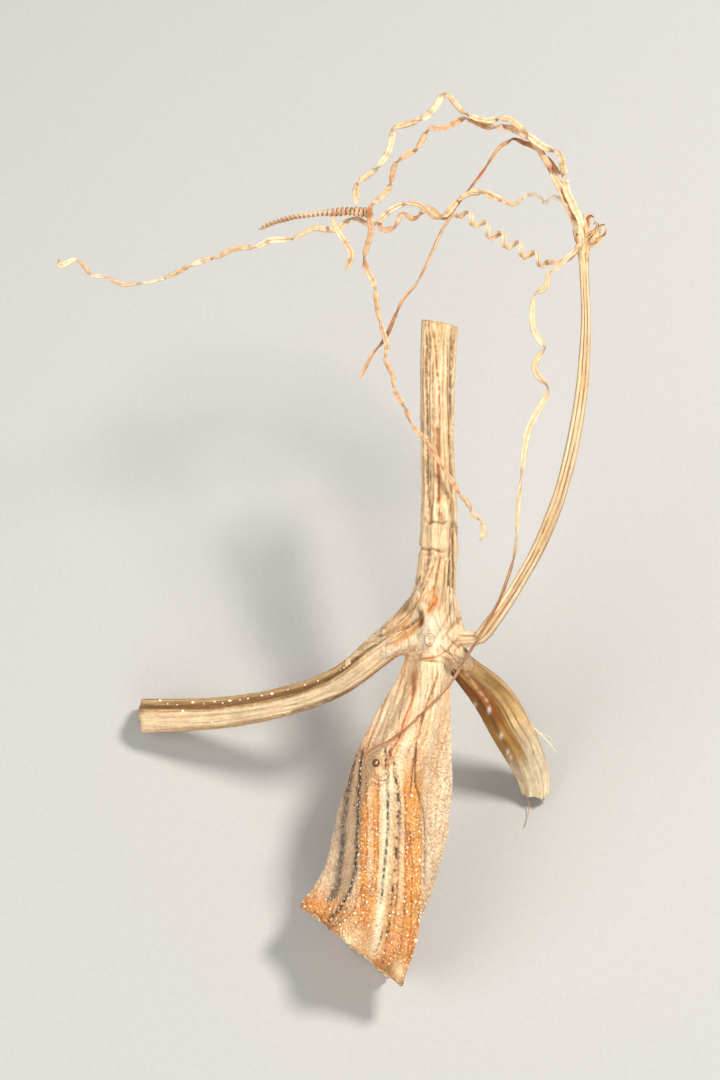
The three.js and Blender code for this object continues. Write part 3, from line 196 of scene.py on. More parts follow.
# ---------------------------------------------------------------- meshes
def grid_faces(n, m, closed=True, flip=False):
    i, j = np.meshgrid(np.arange(n - 1), np.arange(m if closed else m - 1), indexing="ij")
    a = i * m + j
    b = i * m + (j + 1) % m
    f = np.stack([a, b, b + m, a + m], axis=-1).reshape(-1, 4)
    return f[:, ::-1] if flip else f

def fan(ring, centre, flip=False):
    a, b = ring, np.roll(ring, -1)
    f = np.stack([np.full(len(ring), centre), a, b], axis=1)
    return f[:, ::-1] if flip else f

class Mesh:
    """Gathers vertices, faces, a colour and a fibre coordinate for every vertex."""
    def __init__(self):
        self.v, self.f, self.c, self.t, self.n = [], [], [], [], 0

    def add(self, v, faces, col, fib=None, rgh=None):
        v = np.asarray(v, float).reshape(-1, 3)
        col = np.broadcast_to(np.asarray(col, float), (len(v), 3))
        fib = np.zeros((len(v), 3)) if fib is None else np.asarray(fib, float).reshape(-1, 3)
        for f in faces:
            self.f.append(np.asarray(f) + self.n)
        self.v.append(v); self.c.append(col); self.t.append(fib)
        self.n += len(v)

    def build(self, name, mat, body="plant", nodes=()):
        V, C, T = np.vstack(self.v), np.vstack(self.c), np.vstack(self.t)
        me = bpy.data.meshes.new(name)
        loops, starts, totals, at = [], [], [], 0
        for f in self.f:
            if not len(f):
                continue
            k = f.shape[1]
            loops.append(f.reshape(-1))
            starts.append(at + k * np.arange(len(f)))
            totals.append(np.full(len(f), k))
            at += f.size
        loops, starts, totals = np.concatenate(loops), np.concatenate(starts), np.concatenate(totals)
        me.vertices.add(len(V)); W = to_row(V)
        W[:, 2] = np.maximum(W[:, 2], 0.00004)
        me.vertices.foreach_set("co", W.astype(np.float32).ravel())
        me.loops.add(len(loops)); me.loops.foreach_set("vertex_index", loops.astype(np.int32))
        me.polygons.add(len(starts)); me.polygons.foreach_set("loop_start", starts.astype(np.int32))
        me.polygons.foreach_set("use_smooth", np.ones(len(starts), bool))
        me.update(calc_edges=True)
        a = me.attributes.new("paint", "FLOAT_COLOR", "POINT")
        a.data.foreach_set("color", np.c_[np.clip(C, 0, 1), np.ones(len(C))].astype(np.float32).ravel())
        a = me.attributes.new("fib", "FLOAT_VECTOR", "POINT")
        a.data.foreach_set("vector", T.astype(np.float32).ravel())
        if me.validate():
            print("mesh mended:", name)
        ob = bpy.data.objects.new(name, me)
        bpy.context.scene.collection.objects.link(ob)
        me.materials.append(mat)
        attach(ob, body)
        if nodes:
            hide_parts(*nodes)
        return ob

def mix(c, target, w):
    """Blends colours c (n, 3) towards one colour, or one per vertex, by weight w (n)."""
    return c + (np.asarray(target) - c) * np.clip(np.asarray(w), 0, 1)[..., None]

# ---------------------------------------------------------------- materials
def tissue(name, fibre=(5.0, 0.35), fibre_dark=0.35, mottle=0.12, rough=(0.55, 0.85), bump_mm=0.05, grain=9.0, sheen=0.0, coat=0.0, sss=0.0, spec=0.35, fine=0.3):
    """Dried plant tissue: painted base, long fibres, mottling, uneven gloss and a fibre relief."""
    m = bpy.data.materials.new(name)
    m.use_nodes = True
    nt = m.node_tree
    N, L = nt.nodes, nt.links
    bsdf = N["Principled BSDF"]
    def node(kind, **kw):
        n = N.new(kind)
        for k, v in kw.items():
            setattr(n, k, v)
        return n
    paint = node("ShaderNodeAttribute", attribute_name="paint")
    fib = node("ShaderNodeAttribute", attribute_name="fib")
    mp = node("ShaderNodeMapping")
    mp.inputs["Scale"].default_value = (fibre[0], fibre[1], 1.0)
    L.new(fib.outputs["Vector"], mp.inputs["Vector"])
    n1 = node("ShaderNodeTexNoise")
    n1.inputs["Scale"].default_value = 1.0
    n1.inputs["Detail"].default_value = 5.0
    n1.inputs["Roughness"].default_value = 0.62
    L.new(mp.outputs["Vector"], n1.inputs["Vector"])
    co = node("ShaderNodeTexCoord")
    n2 = node("ShaderNodeTexNoise")
    n2.inputs["Scale"].default_value = grain * 100.0
    n2.inputs["Detail"].default_value = 4.0
    L.new(co.outputs["Object"], n2.inputs["Vector"])
    n3 = node("ShaderNodeTexNoise")
    n3.inputs["Scale"].default_value = 190.0
    n3.inputs["Detail"].default_value = 3.0
    L.new(co.outputs["Object"], n3.inputs["Vector"])
    # fibres darken and redden the paint
    r1 = node("ShaderNodeMapRange")
    r1.inputs["From Min"].default_value = 0.34; r1.inputs["From Max"].default_value = 0.62
    r1.inputs["To Min"].default_value = fibre_dark; r1.inputs["To Max"].default_value = 0.0
    L.new(n1.outputs["Fac"], r1.inputs["Value"])
    dark = node("ShaderNodeMix", data_type="RGBA", blend_type="MULTIPLY")
    dark.inputs["B"].default_value = (0.62, 0.40, 0.22, 1)
    L.new(r1.outputs["Result"], dark.inputs["Factor"])
    L.new(paint.outputs["Color"], dark.inputs["A"])
    r2 = node("ShaderNodeMapRange")
    r2.inputs["From Min"].default_value = 0.3; r2.inputs["From Max"].default_value = 0.7
    r2.inputs["To Min"].default_value = 1.0 - mottle; r2.inputs["To Max"].default_value = 1.0 + mottle
    L.new(n3.outputs["Fac"], r2.inputs["Value"])
    r4 = node("ShaderNodeMapRange")
    r4.inputs["From Min"].default_value = 0.3; r4.inputs["From Max"].default_value = 0.7
    r4.inputs["To Min"].default_value = 1.0 - mottle * 0.8; r4.inputs["To Max"].default_value = 1.0 + mottle * 0.8
    L.new(n2.outputs["Fac"], r4.inputs["Value"])
    mm = node("ShaderNodeMath", operation="MULTIPLY")
    L.new(r2.outputs["Result"], mm.inputs[0]); L.new(r4.outputs["Result"], mm.inputs[1])
    hsv = node("ShaderNodeHueSaturation")
    L.new(dark.outputs["Result"], hsv.inputs["Color"])
    L.new(mm.outputs["Value"], hsv.inputs["Value"])
    L.new(hsv.outputs["Color"], bsdf.inputs["Base Color"])
    r3 = node("ShaderNodeMapRange")
    r3.inputs["From Min"].default_value = 0.3; r3.inputs["From Max"].default_value = 0.7
    r3.inputs["To Min"].default_value = rough[0]; r3.inputs["To Max"].default_value = rough[1]
    L.new(n2.outputs["Fac"], r3.inputs["Value"])
    L.new(r3.outputs["Result"], bsdf.inputs["Roughness"])
    add = node("ShaderNodeMath", operation="MULTIPLY_ADD")
    add.inputs[1].default_value = fine
    L.new(n2.outputs["Fac"], add.inputs[0]); L.new(n1.outputs["Fac"], add.inputs[2])
    bp = node("ShaderNodeBump")
    bp.inputs["Strength"].default_value = 1.0
    bp.inputs["Distance"].default_value = bump_mm / 1000.0
    L.new(add.outputs["Value"], bp.inputs["Height"])
    L.new(bp.outputs["Normal"], bsdf.inputs["Normal"])
    bsdf.inputs["Specular IOR Level"].default_value = spec
    if sheen:
        bsdf.inputs["Sheen Weight"].default_value = sheen
        bsdf.inputs["Sheen Roughness"].default_value = 0.5
    if coat:
        bsdf.inputs["Coat Weight"].default_value = coat
        bsdf.inputs["Coat Roughness"].default_value = 0.2
    if sss:
        bsdf.inputs["Subsurface Weight"].default_value = sss
        bsdf.inputs["Subsurface Radius"].default_value = (1.0, 0.6, 0.3)
        bsdf.inputs["Subsurface Scale"].default_value = 0.0012
    return m

CREAM = srgb(236, 210, 166)
BRIGHT = srgb(248, 232, 196)
STRAW = srgb(218, 182, 130)
TAN = srgb(188, 140, 88)
PINK = srgb(226, 186, 148)
ORANGE = srgb(206, 128, 52)
DEEP = srgb(160, 84, 26)
AMBER = srgb(176, 106, 40)
BROWN = srgb(110, 70, 36)
DARK = srgb(52, 36, 24)
GREY = srgb(104, 94, 88)
OLIVE = srgb(150, 124, 82)
WHITE = srgb(255, 248, 232)

M_RIND = tissue("dry_rind", fibre=(4.6, 0.20), fibre_dark=0.60, mottle=0.12, rough=(0.5, 0.8), bump_mm=0.16, grain=10.0, sss=0.06)
M_PED = tissue("ribbed_rind", fibre=(3.2, 0.3), fibre_dark=0.42, mottle=0.14, rough=(0.42, 0.78), bump_mm=0.10, grain=12.0, sss=0.05, spec=0.42)
M_PITH = tissue("pith_and_cork", fibre=(2.0, 1.2), fibre_dark=0.45, mottle=0.22, rough=(0.8, 0.97), bump_mm=0.16, grain=16.0, spec=0.2)
M_LEAF = tissue("leaf_stalk_rind", fibre=(4.0, 0.18), fibre_dark=0.45, mottle=0.14, rough=(0.45, 0.75), bump_mm=0.09, grain=9.0)
M_TEND = tissue("dry_tendril", fibre=(6.0, 0.3), fibre_dark=0.34, mottle=0.10, rough=(0.42, 0.7), bump_mm=0.05, grain=14.0, sss=0.08, spec=0.42)
M_THREAD = tissue("brown_thread", fibre=(6.0, 0.4), fibre_dark=0.4, mottle=0.16, rough=(0.38, 0.66), bump_mm=0.04, grain=14.0, spec=0.45)
M_WART = tissue("waxy_bumps", fibre=(1.0, 1.0), fibre_dark=0.05, mottle=0.10, rough=(0.25, 0.5), bump_mm=0.02, grain=20.0, sss=0.15, spec=0.5, coat=0.15)

# ---------------------------------------------------------------- vine stubs
UP_LINES = [  # plan polyline, half width, colour, strength, groove depth in mm
    ([(429, 328), (428, 400), (429, 470), (430, 510), (428, 560), (420, 590), (408, 612)], 2.2, BROWN, 0.55, 0.30),
    ([(433, 328), (437, 365), (440, 400), (439, 450), (438, 520)], 1.1, AMBER, 0.75, 0.12),
    ([(452, 330), (451, 380), (450, 430), (452, 480), (453, 520), (450, 560), (449, 590), (450, 622)], 2.0, BROWN, 0.6, 0.34),
    ([(424, 345), (423, 420), (424, 500)], 0.9, TAN, 0.6, 0.10),
    ([(444, 332), (442, 400), (446, 480), (449, 520)], 0.8, TAN, 0.55, 0.08),
    ([(456, 380), (455, 440), (457, 500)], 0.9, TAN, 0.7, 0.12),
    ([(437, 425), (438, 460), (439, 490), (438, 518)], 2.0, srgb(170, 100, 44), 0.65, 0.2),
    ([(432, 360), (433, 420), (434, 480), (433, 512)], 0.9, srgb(180, 120, 66), 0.6, 0.15),
    ([(426, 330), (426, 380), (427, 440), (427, 500)], 0.8, srgb(140, 92, 50), 0.7, 0.2),
    ([(447, 335), (448, 400), (451, 460), (454, 510), (453, 560)], 0.8, srgb(160, 104, 56), 0.6, 0.15),
    ([(436, 556), (430, 578), (419, 600), (408, 616)], 0.9, srgb(140, 90, 46), 0.6, 0.2),
    ([(444, 556), (445, 580), (444, 604)], 0.8, srgb(150, 100, 54), 0.6, 0.15),
    ([(451, 560), (449, 580), (450, 600), (452, 622)], 0.8, srgb(120, 74, 38), 0.7, 0.2),
    ([(454, 530), (453, 560), (453, 590), (455, 615)], 0.7, srgb(140, 88, 44), 0.7, 0.16),
    ([(446, 560), (445, 580), (446, 605)], 0.6, srgb(176, 116, 62), 0.6, 0.12),
    ([(441, 556), (436, 580), (428, 604)], 1.2, AMBER, 0.7, 0.15),
    ([(446, 560), (442, 600), (441, 625)], 0.9, TAN, 0.7, 0.10),
    ([(420, 575), (411, 598), (402, 618)], 1.2, BROWN, 0.6, 0.18),
    ([(433, 566), (424, 588), (410, 610)], 0.9, AMBER, 0.55, 0.10),
]
LEFT_LINES = [
    ([(140, 706), (200, 707), (240, 704.5), (270, 699), (290, 693.5), (310, 686), (330, 677), (345, 667), (365, 650), (385, 637), (405, 616), (418, 600)], 2.6, DARK, 0.8, 0.5),
    ([(140, 711.5), (200, 711.8), (240, 709), (280, 701), (310, 691), (335, 681), (352, 667), (370, 655), (390, 640), (412, 618)], 1.0, AMBER, 0.4, 0.08),
    ([(150, 718), (200, 717), (250, 711.5), (300, 704), (340, 690), (362, 676), (385, 658), (402, 641)], 1.1, AMBER, 0.75, 0.14),
    ([(150, 724), (210, 723), (260, 716), (300, 708), (335, 697), (365, 680), (390, 662)], 0.8, TAN, 0.75, 0.10),
    ([(160, 729), (220, 727), (270, 718), (320, 705)], 0.8, TAN, 0.6, 0.08),
    ([(290, 712), (330, 700), (365, 684), (385, 672)], 1.6, BROWN, 0.6, 0.18),
    ([(140, 702), (200, 703), (250, 699), (300, 688)], 0.8, TAN, 0.6, 0.10),
    ([(372, 648), (392, 630), (408, 612)], 1.3, ORANGE, 0.6, 0.10),
]

def vine_stub(name, line, lines, node, pith_name, pith_node, slant, pale_side, seed, open_mm=11.0, front_cut=0.0):
    R, s = resample(line, step=0.17, smooth_rounds=3)
    P, hw = R[:, :3], R[:, 3]
    a, d, t = side_frames(P)
    m = 168
    th = np.linspace(0, 2 * np.pi, m, endpoint=False)
    S, TH = np.meshgrid(s, th, indexing="ij")
    C, Sn = np.cos(TH), np.sin(TH)
    base = hw[:, None] * (1 + 0.055 * np.cos(5 * TH + 0.3 + 0.006 * S) - 0.02 * np.cos(2 * TH))
    def place(r, shift=None):
        V = P[:, None] + a[:, None] * (r * C)[..., None] + d[:, None] * (r * Sn)[..., None]
        if shift is not None:
            V = V + t[:, None] * shift[..., None]
        return V
    x, y = plan(place(base))
    front = smooth(-0.15, 0.3, Sn)
    arc = TH * hw.mean()
    col = np.broadcast_to(CREAM, base.shape + (3,)).copy()
    big = fbm(np.cos(TH) * 2.2 + 5, S * 0.07, np.sin(TH) * 2.2, seed, 3)
    fibre = vnoise(arc * 3.1, S * 0.10, 0.0, seed + 3)
    fibre2 = vnoise(arc * 6.5, S * 0.22, 0.0, seed + 4)
    col = mix(col, BRIGHT, smooth(0.45, 0.75, big) * 0.8)
    col = mix(col, STRAW, smooth(0.5, 0.25, big) * 0.8)
    col = mix(col, TAN, smooth(0.62, 0.88, fibre) * 0.65)
    col = mix(col, AMBER, smooth(0.78, 0.94, fibre2) * 0.6)
    stip = vnoise(arc * 3.4, S * 1.9, 0.0, seed + 5)
    col = mix(col, srgb(150, 96, 48), smooth(0.72, 0.9, stip) * 0.4)
    col = mix(col, WHITE, smooth(0.3, 0.12, stip) * 0.35)
    r = base + 0.20 * (fibre - 0.5) + 0.09 * (fibre2 - 0.5) + 0.07 * (stip - 0.5)
    # ribs round the back, which no plan line reaches
    back = 1 - front
    for k, (deg, wdeg, c, w, dep) in enumerate([(196, 4, BROWN, 0.6, 0.3), (228, 3, AMBER, 0.5, 0.15), (262, 4, BROWN, 0.55, 0.3), (292, 2.5, TAN, 0.7, 0.12), (318, 4, DARK, 0.45, 0.32), (344, 2.5, AMBER, 0.5, 0.12)]):
        wob = 3.0 * (vnoise(S * 0.12, k * 5.0, 0.0, seed + 9) - 0.5)
        e = np.exp(-(((np.degrees(TH) - deg - wob + 180) % 360 - 180) / wdeg) ** 2) * back
        brk = 0.55 + 0.45 * smooth(0.3, 0.6, vnoise(S * 0.35, k * 7.0, 0.0, seed + 10))
        col = mix(col, c, e * w * brk)
        r = r - dep * e
    for k, (pts, w, c, st, dep) in enumerate(lines):
        wob = 1.1 * (vnoise(S * 0.35, k * 3.3, 0.0, seed + 20) - 0.5)
        dist, al = stroke_dist(x + wob, y + wob * 0.5, pts)
        e = np.exp(-(dist / (1.15 * w)) ** 2) * front * smooth(0, 0.04, al) * smooth(1.0, 0.96, al)
        st = min(1.0, st * 1.4)
        brk = 0.35 + 0.65 * smooth(0.25, 0.55, vnoise(S * 1.3, arc * 1.5, k * 4.1, seed + 21))
        col = mix(col, c, e * st * brk)
        r = r - dep * e
        # a pale lip stands along each groove
        lip = np.exp(-((dist - 2.2 * w) / (0.9 * w)) ** 2) * front
        col = mix(col, BRIGHT, lip * 0.35)
        r = r + 0.25 * dep * lip
    r = r * (1 - 0.30 * smooth(s[-1] - 3.2, s[-1] - 0.4, S))
    # fuzz and pores
    pore = vnoise(arc * 4.5, S * 4.5, 0.0, seed + 30)
    col = mix(col, BROWN, smooth(0.93, 0.99, pore) * 0.5)
    col = mix(col, WHITE, smooth(0.90, 0.97, vnoise(arc * 3.6, S * 3.6, 3.0, seed + 31)) * 0.35)
    if name == "vine_upper":
        cw = vnoise(arc * 0.9, 0.0, 0.0, 5)
        crease = (bump(y, 523 + 3.0 * (cw - 0.5), 1.3) * smooth(424, 428, x) * smooth(449, 445, x) + bump(y, 550 + 3.5 * (cw - 0.5) + 0.12 * (x - 430), 1.2) * smooth(450, 440, x)) * front + 0.5 * bump(y, 530 + 14 * (cw - 0.5), 1.2) * back
        r = r - 0.40 * crease
        col = mix(col, srgb(150, 98, 52), crease * 0.6)
        plate = smooth(426, 429, x) * smooth(450, 446, x) * smooth(524, 527, y) * smooth(551, 547, y) * front
        col = mix(col, srgb(240, 220, 180), plate * 0.7)
        col = mix(col, srgb(184, 134, 84), plate * (np.exp(-((x - 431.5 - 0.1 * (y - 537)) / 0.8) ** 2) + np.exp(-((x - 440 - 1.2 * np.sin(y * 0.3)) / 0.8) ** 2)) * 0.5)
        r = r + 0.30 * plate
        flap = smooth(500, 507, y) * smooth(524, 520, y)
        fl = vnoise(arc * 1.6, S * 0.25, 2.0, 77)
        r = r + 0.42 * flap * smooth(0.3, 0.7, fl) * front * smooth(428, 432, x) * smooth(453, 449, x)
        col = mix(col, BRIGHT, flap * smooth(0.45, 0.7, fl) * 0.7 * front)
        col = mix(col, srgb(160, 108, 60), flap * smooth(0.35, 0.2, fl) * 0.6 * front)
        notch = bump(y, 548.5, 3.0) * smooth(-0.75, -0.98, C)
        r = r - 1.0 * notch
        col = mix(col, BROWN, notch * 0.6)
        spot = np.exp(-(((x - 437) / 2.2) ** 2 + ((y - 447) / 3.5) ** 2)) * front
        col = mix(col, BROWN, spot * 0.6)
        low = smooth(560, 615, y)
        rough = fbm(arc * 0.9, S * 0.16, 1.0, 91, 3)
        col = mix(col, srgb(196, 160, 116), low * smooth(0.45, 0.7, rough) * 0.6)
        r = r + low * 0.45 * (rough - 0.5)
    else:
        zone = smooth(0.30, 0.42, C) * smooth(s[-1] - 6, s[-1] - 22, S)
        col = mix(col, mix(np.broadcast_to(srgb(150, 112, 62), col.shape).copy(), srgb(206, 172, 116), smooth(0.45, 0.7, fibre)), zone * 0.75)
        zn2 = smooth(0.42, 0.56, C) * smooth(0.92, 0.74, C) * smooth(s[-1] - 6, s[-1] - 22, S)
        col = mix(col, srgb(118, 82, 40), zn2 * (0.45 + 0.45 * smooth(0.35, 0.6, fibre)))
        r = r - 0.30 * bump(C, 0.36, 0.05) * smooth(s[-1] - 6, s[-1] - 22, S)
        # pale band down the front face: partly the rind's pale colour, partly painted highlight
        bright_ = smooth(0.30, 0.15, C) * smooth(-0.8, -0.5, C) * front
        col = mix(col, srgb(250, 230, 192), bright_ * 0.7)
        # underside tinted tan: painted shade under the stub
        under = smooth(-0.7, -0.95, C)
        col = mix(col, TAN, under * 0.6)
    # ragged cut: ring 0 is uneven and the last fibres are darker
    endm = 1 - smooth(0, 2.6, S)
    shift = -0.32 * (vnoise(arc * 2.4, 0.0, 0.0, seed + 40) - 0.4) * (1 - smooth(0, 0.5, S)) + slant * C * endm + front_cut * hw[0] * Sn * (1 - smooth(0, 9.0, S))
    col = mix(col, srgb(150, 112, 70), (1 - smooth(0.0, 0.35, S)) * 0.5)
    V = place(r, shift)
    fib = np.stack([arc + seed * 3.0, S, np.full_like(S, float(seed))], axis=-1)
    n = len(s)
    mesh = Mesh()
    # outer skin, then the cut face, the bore and its floor, as one closed skin
    ni = 26
    q = np.linspace(0, 1, ni)
    ringsV, ringsC, ringsF = [], [], []
    k_end = int(np.searchsorted(s, open_mm))
    for i in range(ni):
        f = q[i]
        if f < 0.35:
            g = f / 0.35
            rr = r[0] * (1 - g) + hw[0] * 0.63 * g
            rr = rr + 0.10 * (vnoise(th * 9, g * 5.0, 0.0, seed + 50) - 0.5) * g
            dep = -0.10 * np.sin(g * np.pi) + 0.22 * g ** 2 + 0.22 * (vnoise(th * 7, g * 4.0, 0.0, seed + 51) - 0.5) - front_cut * (hw[0] - rr) * np.sin(th)
            Vr = P[0] + a[0] * (rr * np.cos(th))[:, None] + d[0] * (rr * np.sin(th))[:, None] + t[0] * (dep + shift[0] * (1 - g * 0.3))[:, None]
            # the cut face darkens towards the bore: painted shade at the mouth of the hollow
            cc = mix(np.broadcast_to(srgb(222, 196, 148), (m, 3)).copy(), srgb(120, 84, 48), np.full(m, smooth(0.55, 1.0, g)) * 0.9)
            cc = mix(cc, BROWN, smooth(0.7, 0.9, vnoise(th * 6, g * 6.0, 1.0, seed + 52)) * 0.6)
        else:
            g = (f - 0.35) / 0.65
            k = int(g * k_end)
            rr = hw[k] * 0.63 * (1 + 0.04 * (vnoise(th * 4, k * 0.05, 0.0, seed + 53) - 0.5))
            Vr = P[k] + a[k] * (rr * np.cos(th))[:, None] + d[k] * (rr * np.sin(th))[:, None] + t[k] * (0.2 + (shift[0] - front_cut * (hw[0] - rr) * np.sin(th)) * (1 - g))[:, None]
            # the bore darkens with depth: painted shade in the hollow
            cc = mix(np.broadcast_to(srgb(120, 84, 48), (m, 3)).copy(), srgb(70, 46, 26), np.full(m, g))
        ringsV.append(Vr); ringsC.append(cc)
        ringsF.append(np.stack([th * 3 + seed, np.full(m, -f * 6), np.full(m, 1.0)], axis=-1))
    inner = np.stack(ringsV[1:])
    nv = n * m
    allV = np.concatenate([inner[::-1].reshape(-1, 3), V.reshape(-1, 3)])
    allC = np.concatenate([np.stack(ringsC[1:])[::-1].reshape(-1, 3), col.reshape(-1, 3)])
    allF = np.concatenate([np.stack(ringsF[1:])[::-1].reshape(-1, 3), fib.reshape(-1, 3)])
    tot = n + ni - 1
    c0 = len(allV)
    allV = np.vstack([allV, ringsV[-1].mean(0)[None], V[-1].mean(0)[None]])
    # the bore's floor centre is near black: painted shade; the far end of the skin is cream
    allC = np.vstack([allC, srgb(60, 40, 24)[None], CREAM[None]])
    allF = np.vstack([allF, np.zeros((2, 3))])
    faces = [grid_faces(tot, m, flip=True), fan(np.arange(m), c0), fan(np.arange(m) + (tot - 1) * m, c0 + 1, flip=True)]
    mesh.add(allV, faces, allC, allF)
    ob = mesh.build(name, M_RIND, "plant", [node])
    # pith: a torn spongy ring inside the cut
    pm, depth = 72, np.linspace(0, open_mm - 1.5, 34)
    pt = np.linspace(0, 2 * np.pi, pm, endpoint=False)
    rows, cols = [], []
    def ring(k_mm, share, torn):
        k = int(np.searchsorted(s, k_mm + 0.9))
        n0 = vnoise(pt * 5.0, k_mm * 1.5, 0.0, seed + 60)
        rr = hw[k] * share * (1 + 0.10 * (n0 - 0.5))
        dz = torn * (vnoise(pt * 3.2, 0.0, share * 9, seed + 61) - 0.2) - front_cut * rr * np.sin(pt) * max(0.0, 1 - k_mm / 7.0)
        return P[k] + a[k] * (rr * np.cos(pt))[:, None] + d[k] * (rr * np.sin(pt))[:, None] - t[k] * dz[:, None]
    for z in depth[::-1]:
        rows.append(ring(z, 0.60, 0.8 if z < 0.5 else 0.0)); cols.append(np.broadcast_to(srgb(150, 112, 68), (pm, 3)))
    for g in (0.55, 0.50, 0.45):
        rows.append(ring(0.15, g, 0.7)); cols.append(mix(np.broadcast_to(srgb(206, 176, 126), (pm, 3)).copy(), BROWN, vnoise(pt * 4, g * 20, 0.0, seed) * 0.6))
    # the bore inside the pith is dark, and its floor darker still: painted shade in the hollow
    for z in depth[1:]:
        rows.append(ring(z, 0.38, 0.0)); cols.append(np.broadcast_to(srgb(84, 56, 30), (pm, 3)))
    W = np.stack(rows); nr = len(rows)
    cap0, cap1 = W[0].mean(0), W[-1].mean(0)
    mesh = Mesh()
    allV = np.vstack([W.reshape(-1, 3), cap0[None], (cap1 - t[5] * 0.2)[None]])
    fibp = np.stack(np.meshgrid(np.arange(nr) * 0.6, pt * 3, indexing="ij") + [np.zeros((nr, pm))], axis=-1).reshape(-1, 3)
    mesh.add(allV, [grid_faces(nr, pm), fan(np.arange(pm), nr * pm, flip=True), fan(np.arange(pm) + (nr - 1) * pm, nr * pm + 1)],
             np.vstack([np.stack(cols).reshape(-1, 3), BROWN[None], DARK[None]]), np.vstack([fibp, np.zeros((2, 3))]))
    mesh.build(pith_name, M_PITH, "plant", [pith_node])
    return dict(P=P, hw=hw, a=a, d=d, t=t, s=s, V=V)

upper = vine_stub("vine_upper", UPPER_VINE, UP_LINES, "vine_upper_rind", "vine_upper_pith_ring", "vine_upper_pith", 0.62, 1, 11)
left = vine_stub("vine_left", LEFT_VINE, LEFT_LINES, "vine_left_rind", "vine_left_pith_ring", "vine_left_pith", 0.05, 1, 23, front_cut=0.80)

# ---------------------------------------------------------------- fruit stalk
VALLEY = [0.09, 0.03, 0.12, 0.05, 0.06]

def crom(P, u):
    """Catmull-Rom along the first axis of P at real-valued indices u, ends held."""
    n = len(P)
    i = np.clip(np.floor(u).astype(int), 0, n - 2)
    f = (u - i)
    g = lambda k: P[np.clip(k, 0, n - 1)]
    p0, p1, p2, p3 = g(i - 1), g(i), g(i + 1), g(i + 2)
    p0 = np.where((i == 0)[(...,) + (None,) * (P.ndim - 1)], 2 * p1 - p2, p0)
    p3 = np.where((i == n - 2)[(...,) + (None,) * (P.ndim - 1)], 2 * p2 - p1, p3)
    f = f.reshape(f.shape + (1,) * (P.ndim - 1))
    return 0.5 * (2 * p1 + (p2 - p0) * f + (2 * p0 - 5 * p1 + 4 * p2 - p3) * f**2 + (3 * p1 - p0 - 3 * p2 + p3) * f**3)

TIPS = np.array(PEDUNCLE_RIBS, float)             # stations, crests, 3
def ped_ctrl(u):
    T = crom(TIPS, u)                              # n, 5, 3
    c = T.mean(axis=1, keepdims=True)
    mid = 0.5 * (T + np.roll(T, -1, axis=1))
    val = mid + (c - mid) * np.array(VALLEY)[None, :, None]
    ctrl = np.empty((len(u), 10, 3))
    ctrl[:, 0::2], ctrl[:, 1::2] = T, val
    return ctrl, c[:, 0]

def ped_surface(u, phi):
    """Points of the ribbed outline at stations u and crest numbers phi (0 to 5), with the section centres."""
    ctrl, c = ped_ctrl(u)
    q = (phi * 2) % 10
    i = np.floor(q).astype(int)
    f = (q - i)[None, :, None]
    p0, p1, p2, p3 = (ctrl[:, (i + k) % 10] for k in (-1, 0, 1, 2))
    V = 0.5 * (2 * p1 + (p2 - p0) * f + (2 * p0 - 5 * p1 + 4 * p2 - p3) * f**2 + (3 * p1 - p0 - 3 * p2 + p3) * f**3)
    return V, c

NU, NP = 470, 95                                   # rows along, columns to a rib
uu = np.linspace(0, len(TIPS) - 1, NU)
phi = np.linspace(-0.5, 4.5, 5 * NP + 1)
PV, PC = ped_surface(uu, phi)
dU = np.gradient(PV, axis=0); dP = np.gradient(PV, axis=1)
PN = np.cross(dP, dU); PN /= np.linalg.norm(PN, axis=-1, keepdims=True) + 1e-12
if ((PV - PC[:, None]) * PN).sum(-1).mean() < 0:
    PN = -PN
px, py = plan(PV)
U, PH = np.meshgrid(uu, phi, indexing="ij")
alongmm = np.cumsum(np.r_[0, np.linalg.norm(np.diff(PC, axis=0), axis=1)])[:, None] * np.ones_like(PH)
aroundmm = np.cumsum(np.concatenate([np.zeros((NU, 1)), np.linalg.norm(np.diff(PV, axis=1), axis=-1)], axis=1), axis=1)
aroundmm = aroundmm - aroundmm[:, 2 * NP:2 * NP + 1]
down = alongmm / alongmm.max()
front = smooth(-0.05, 0.3, PN[..., 2])

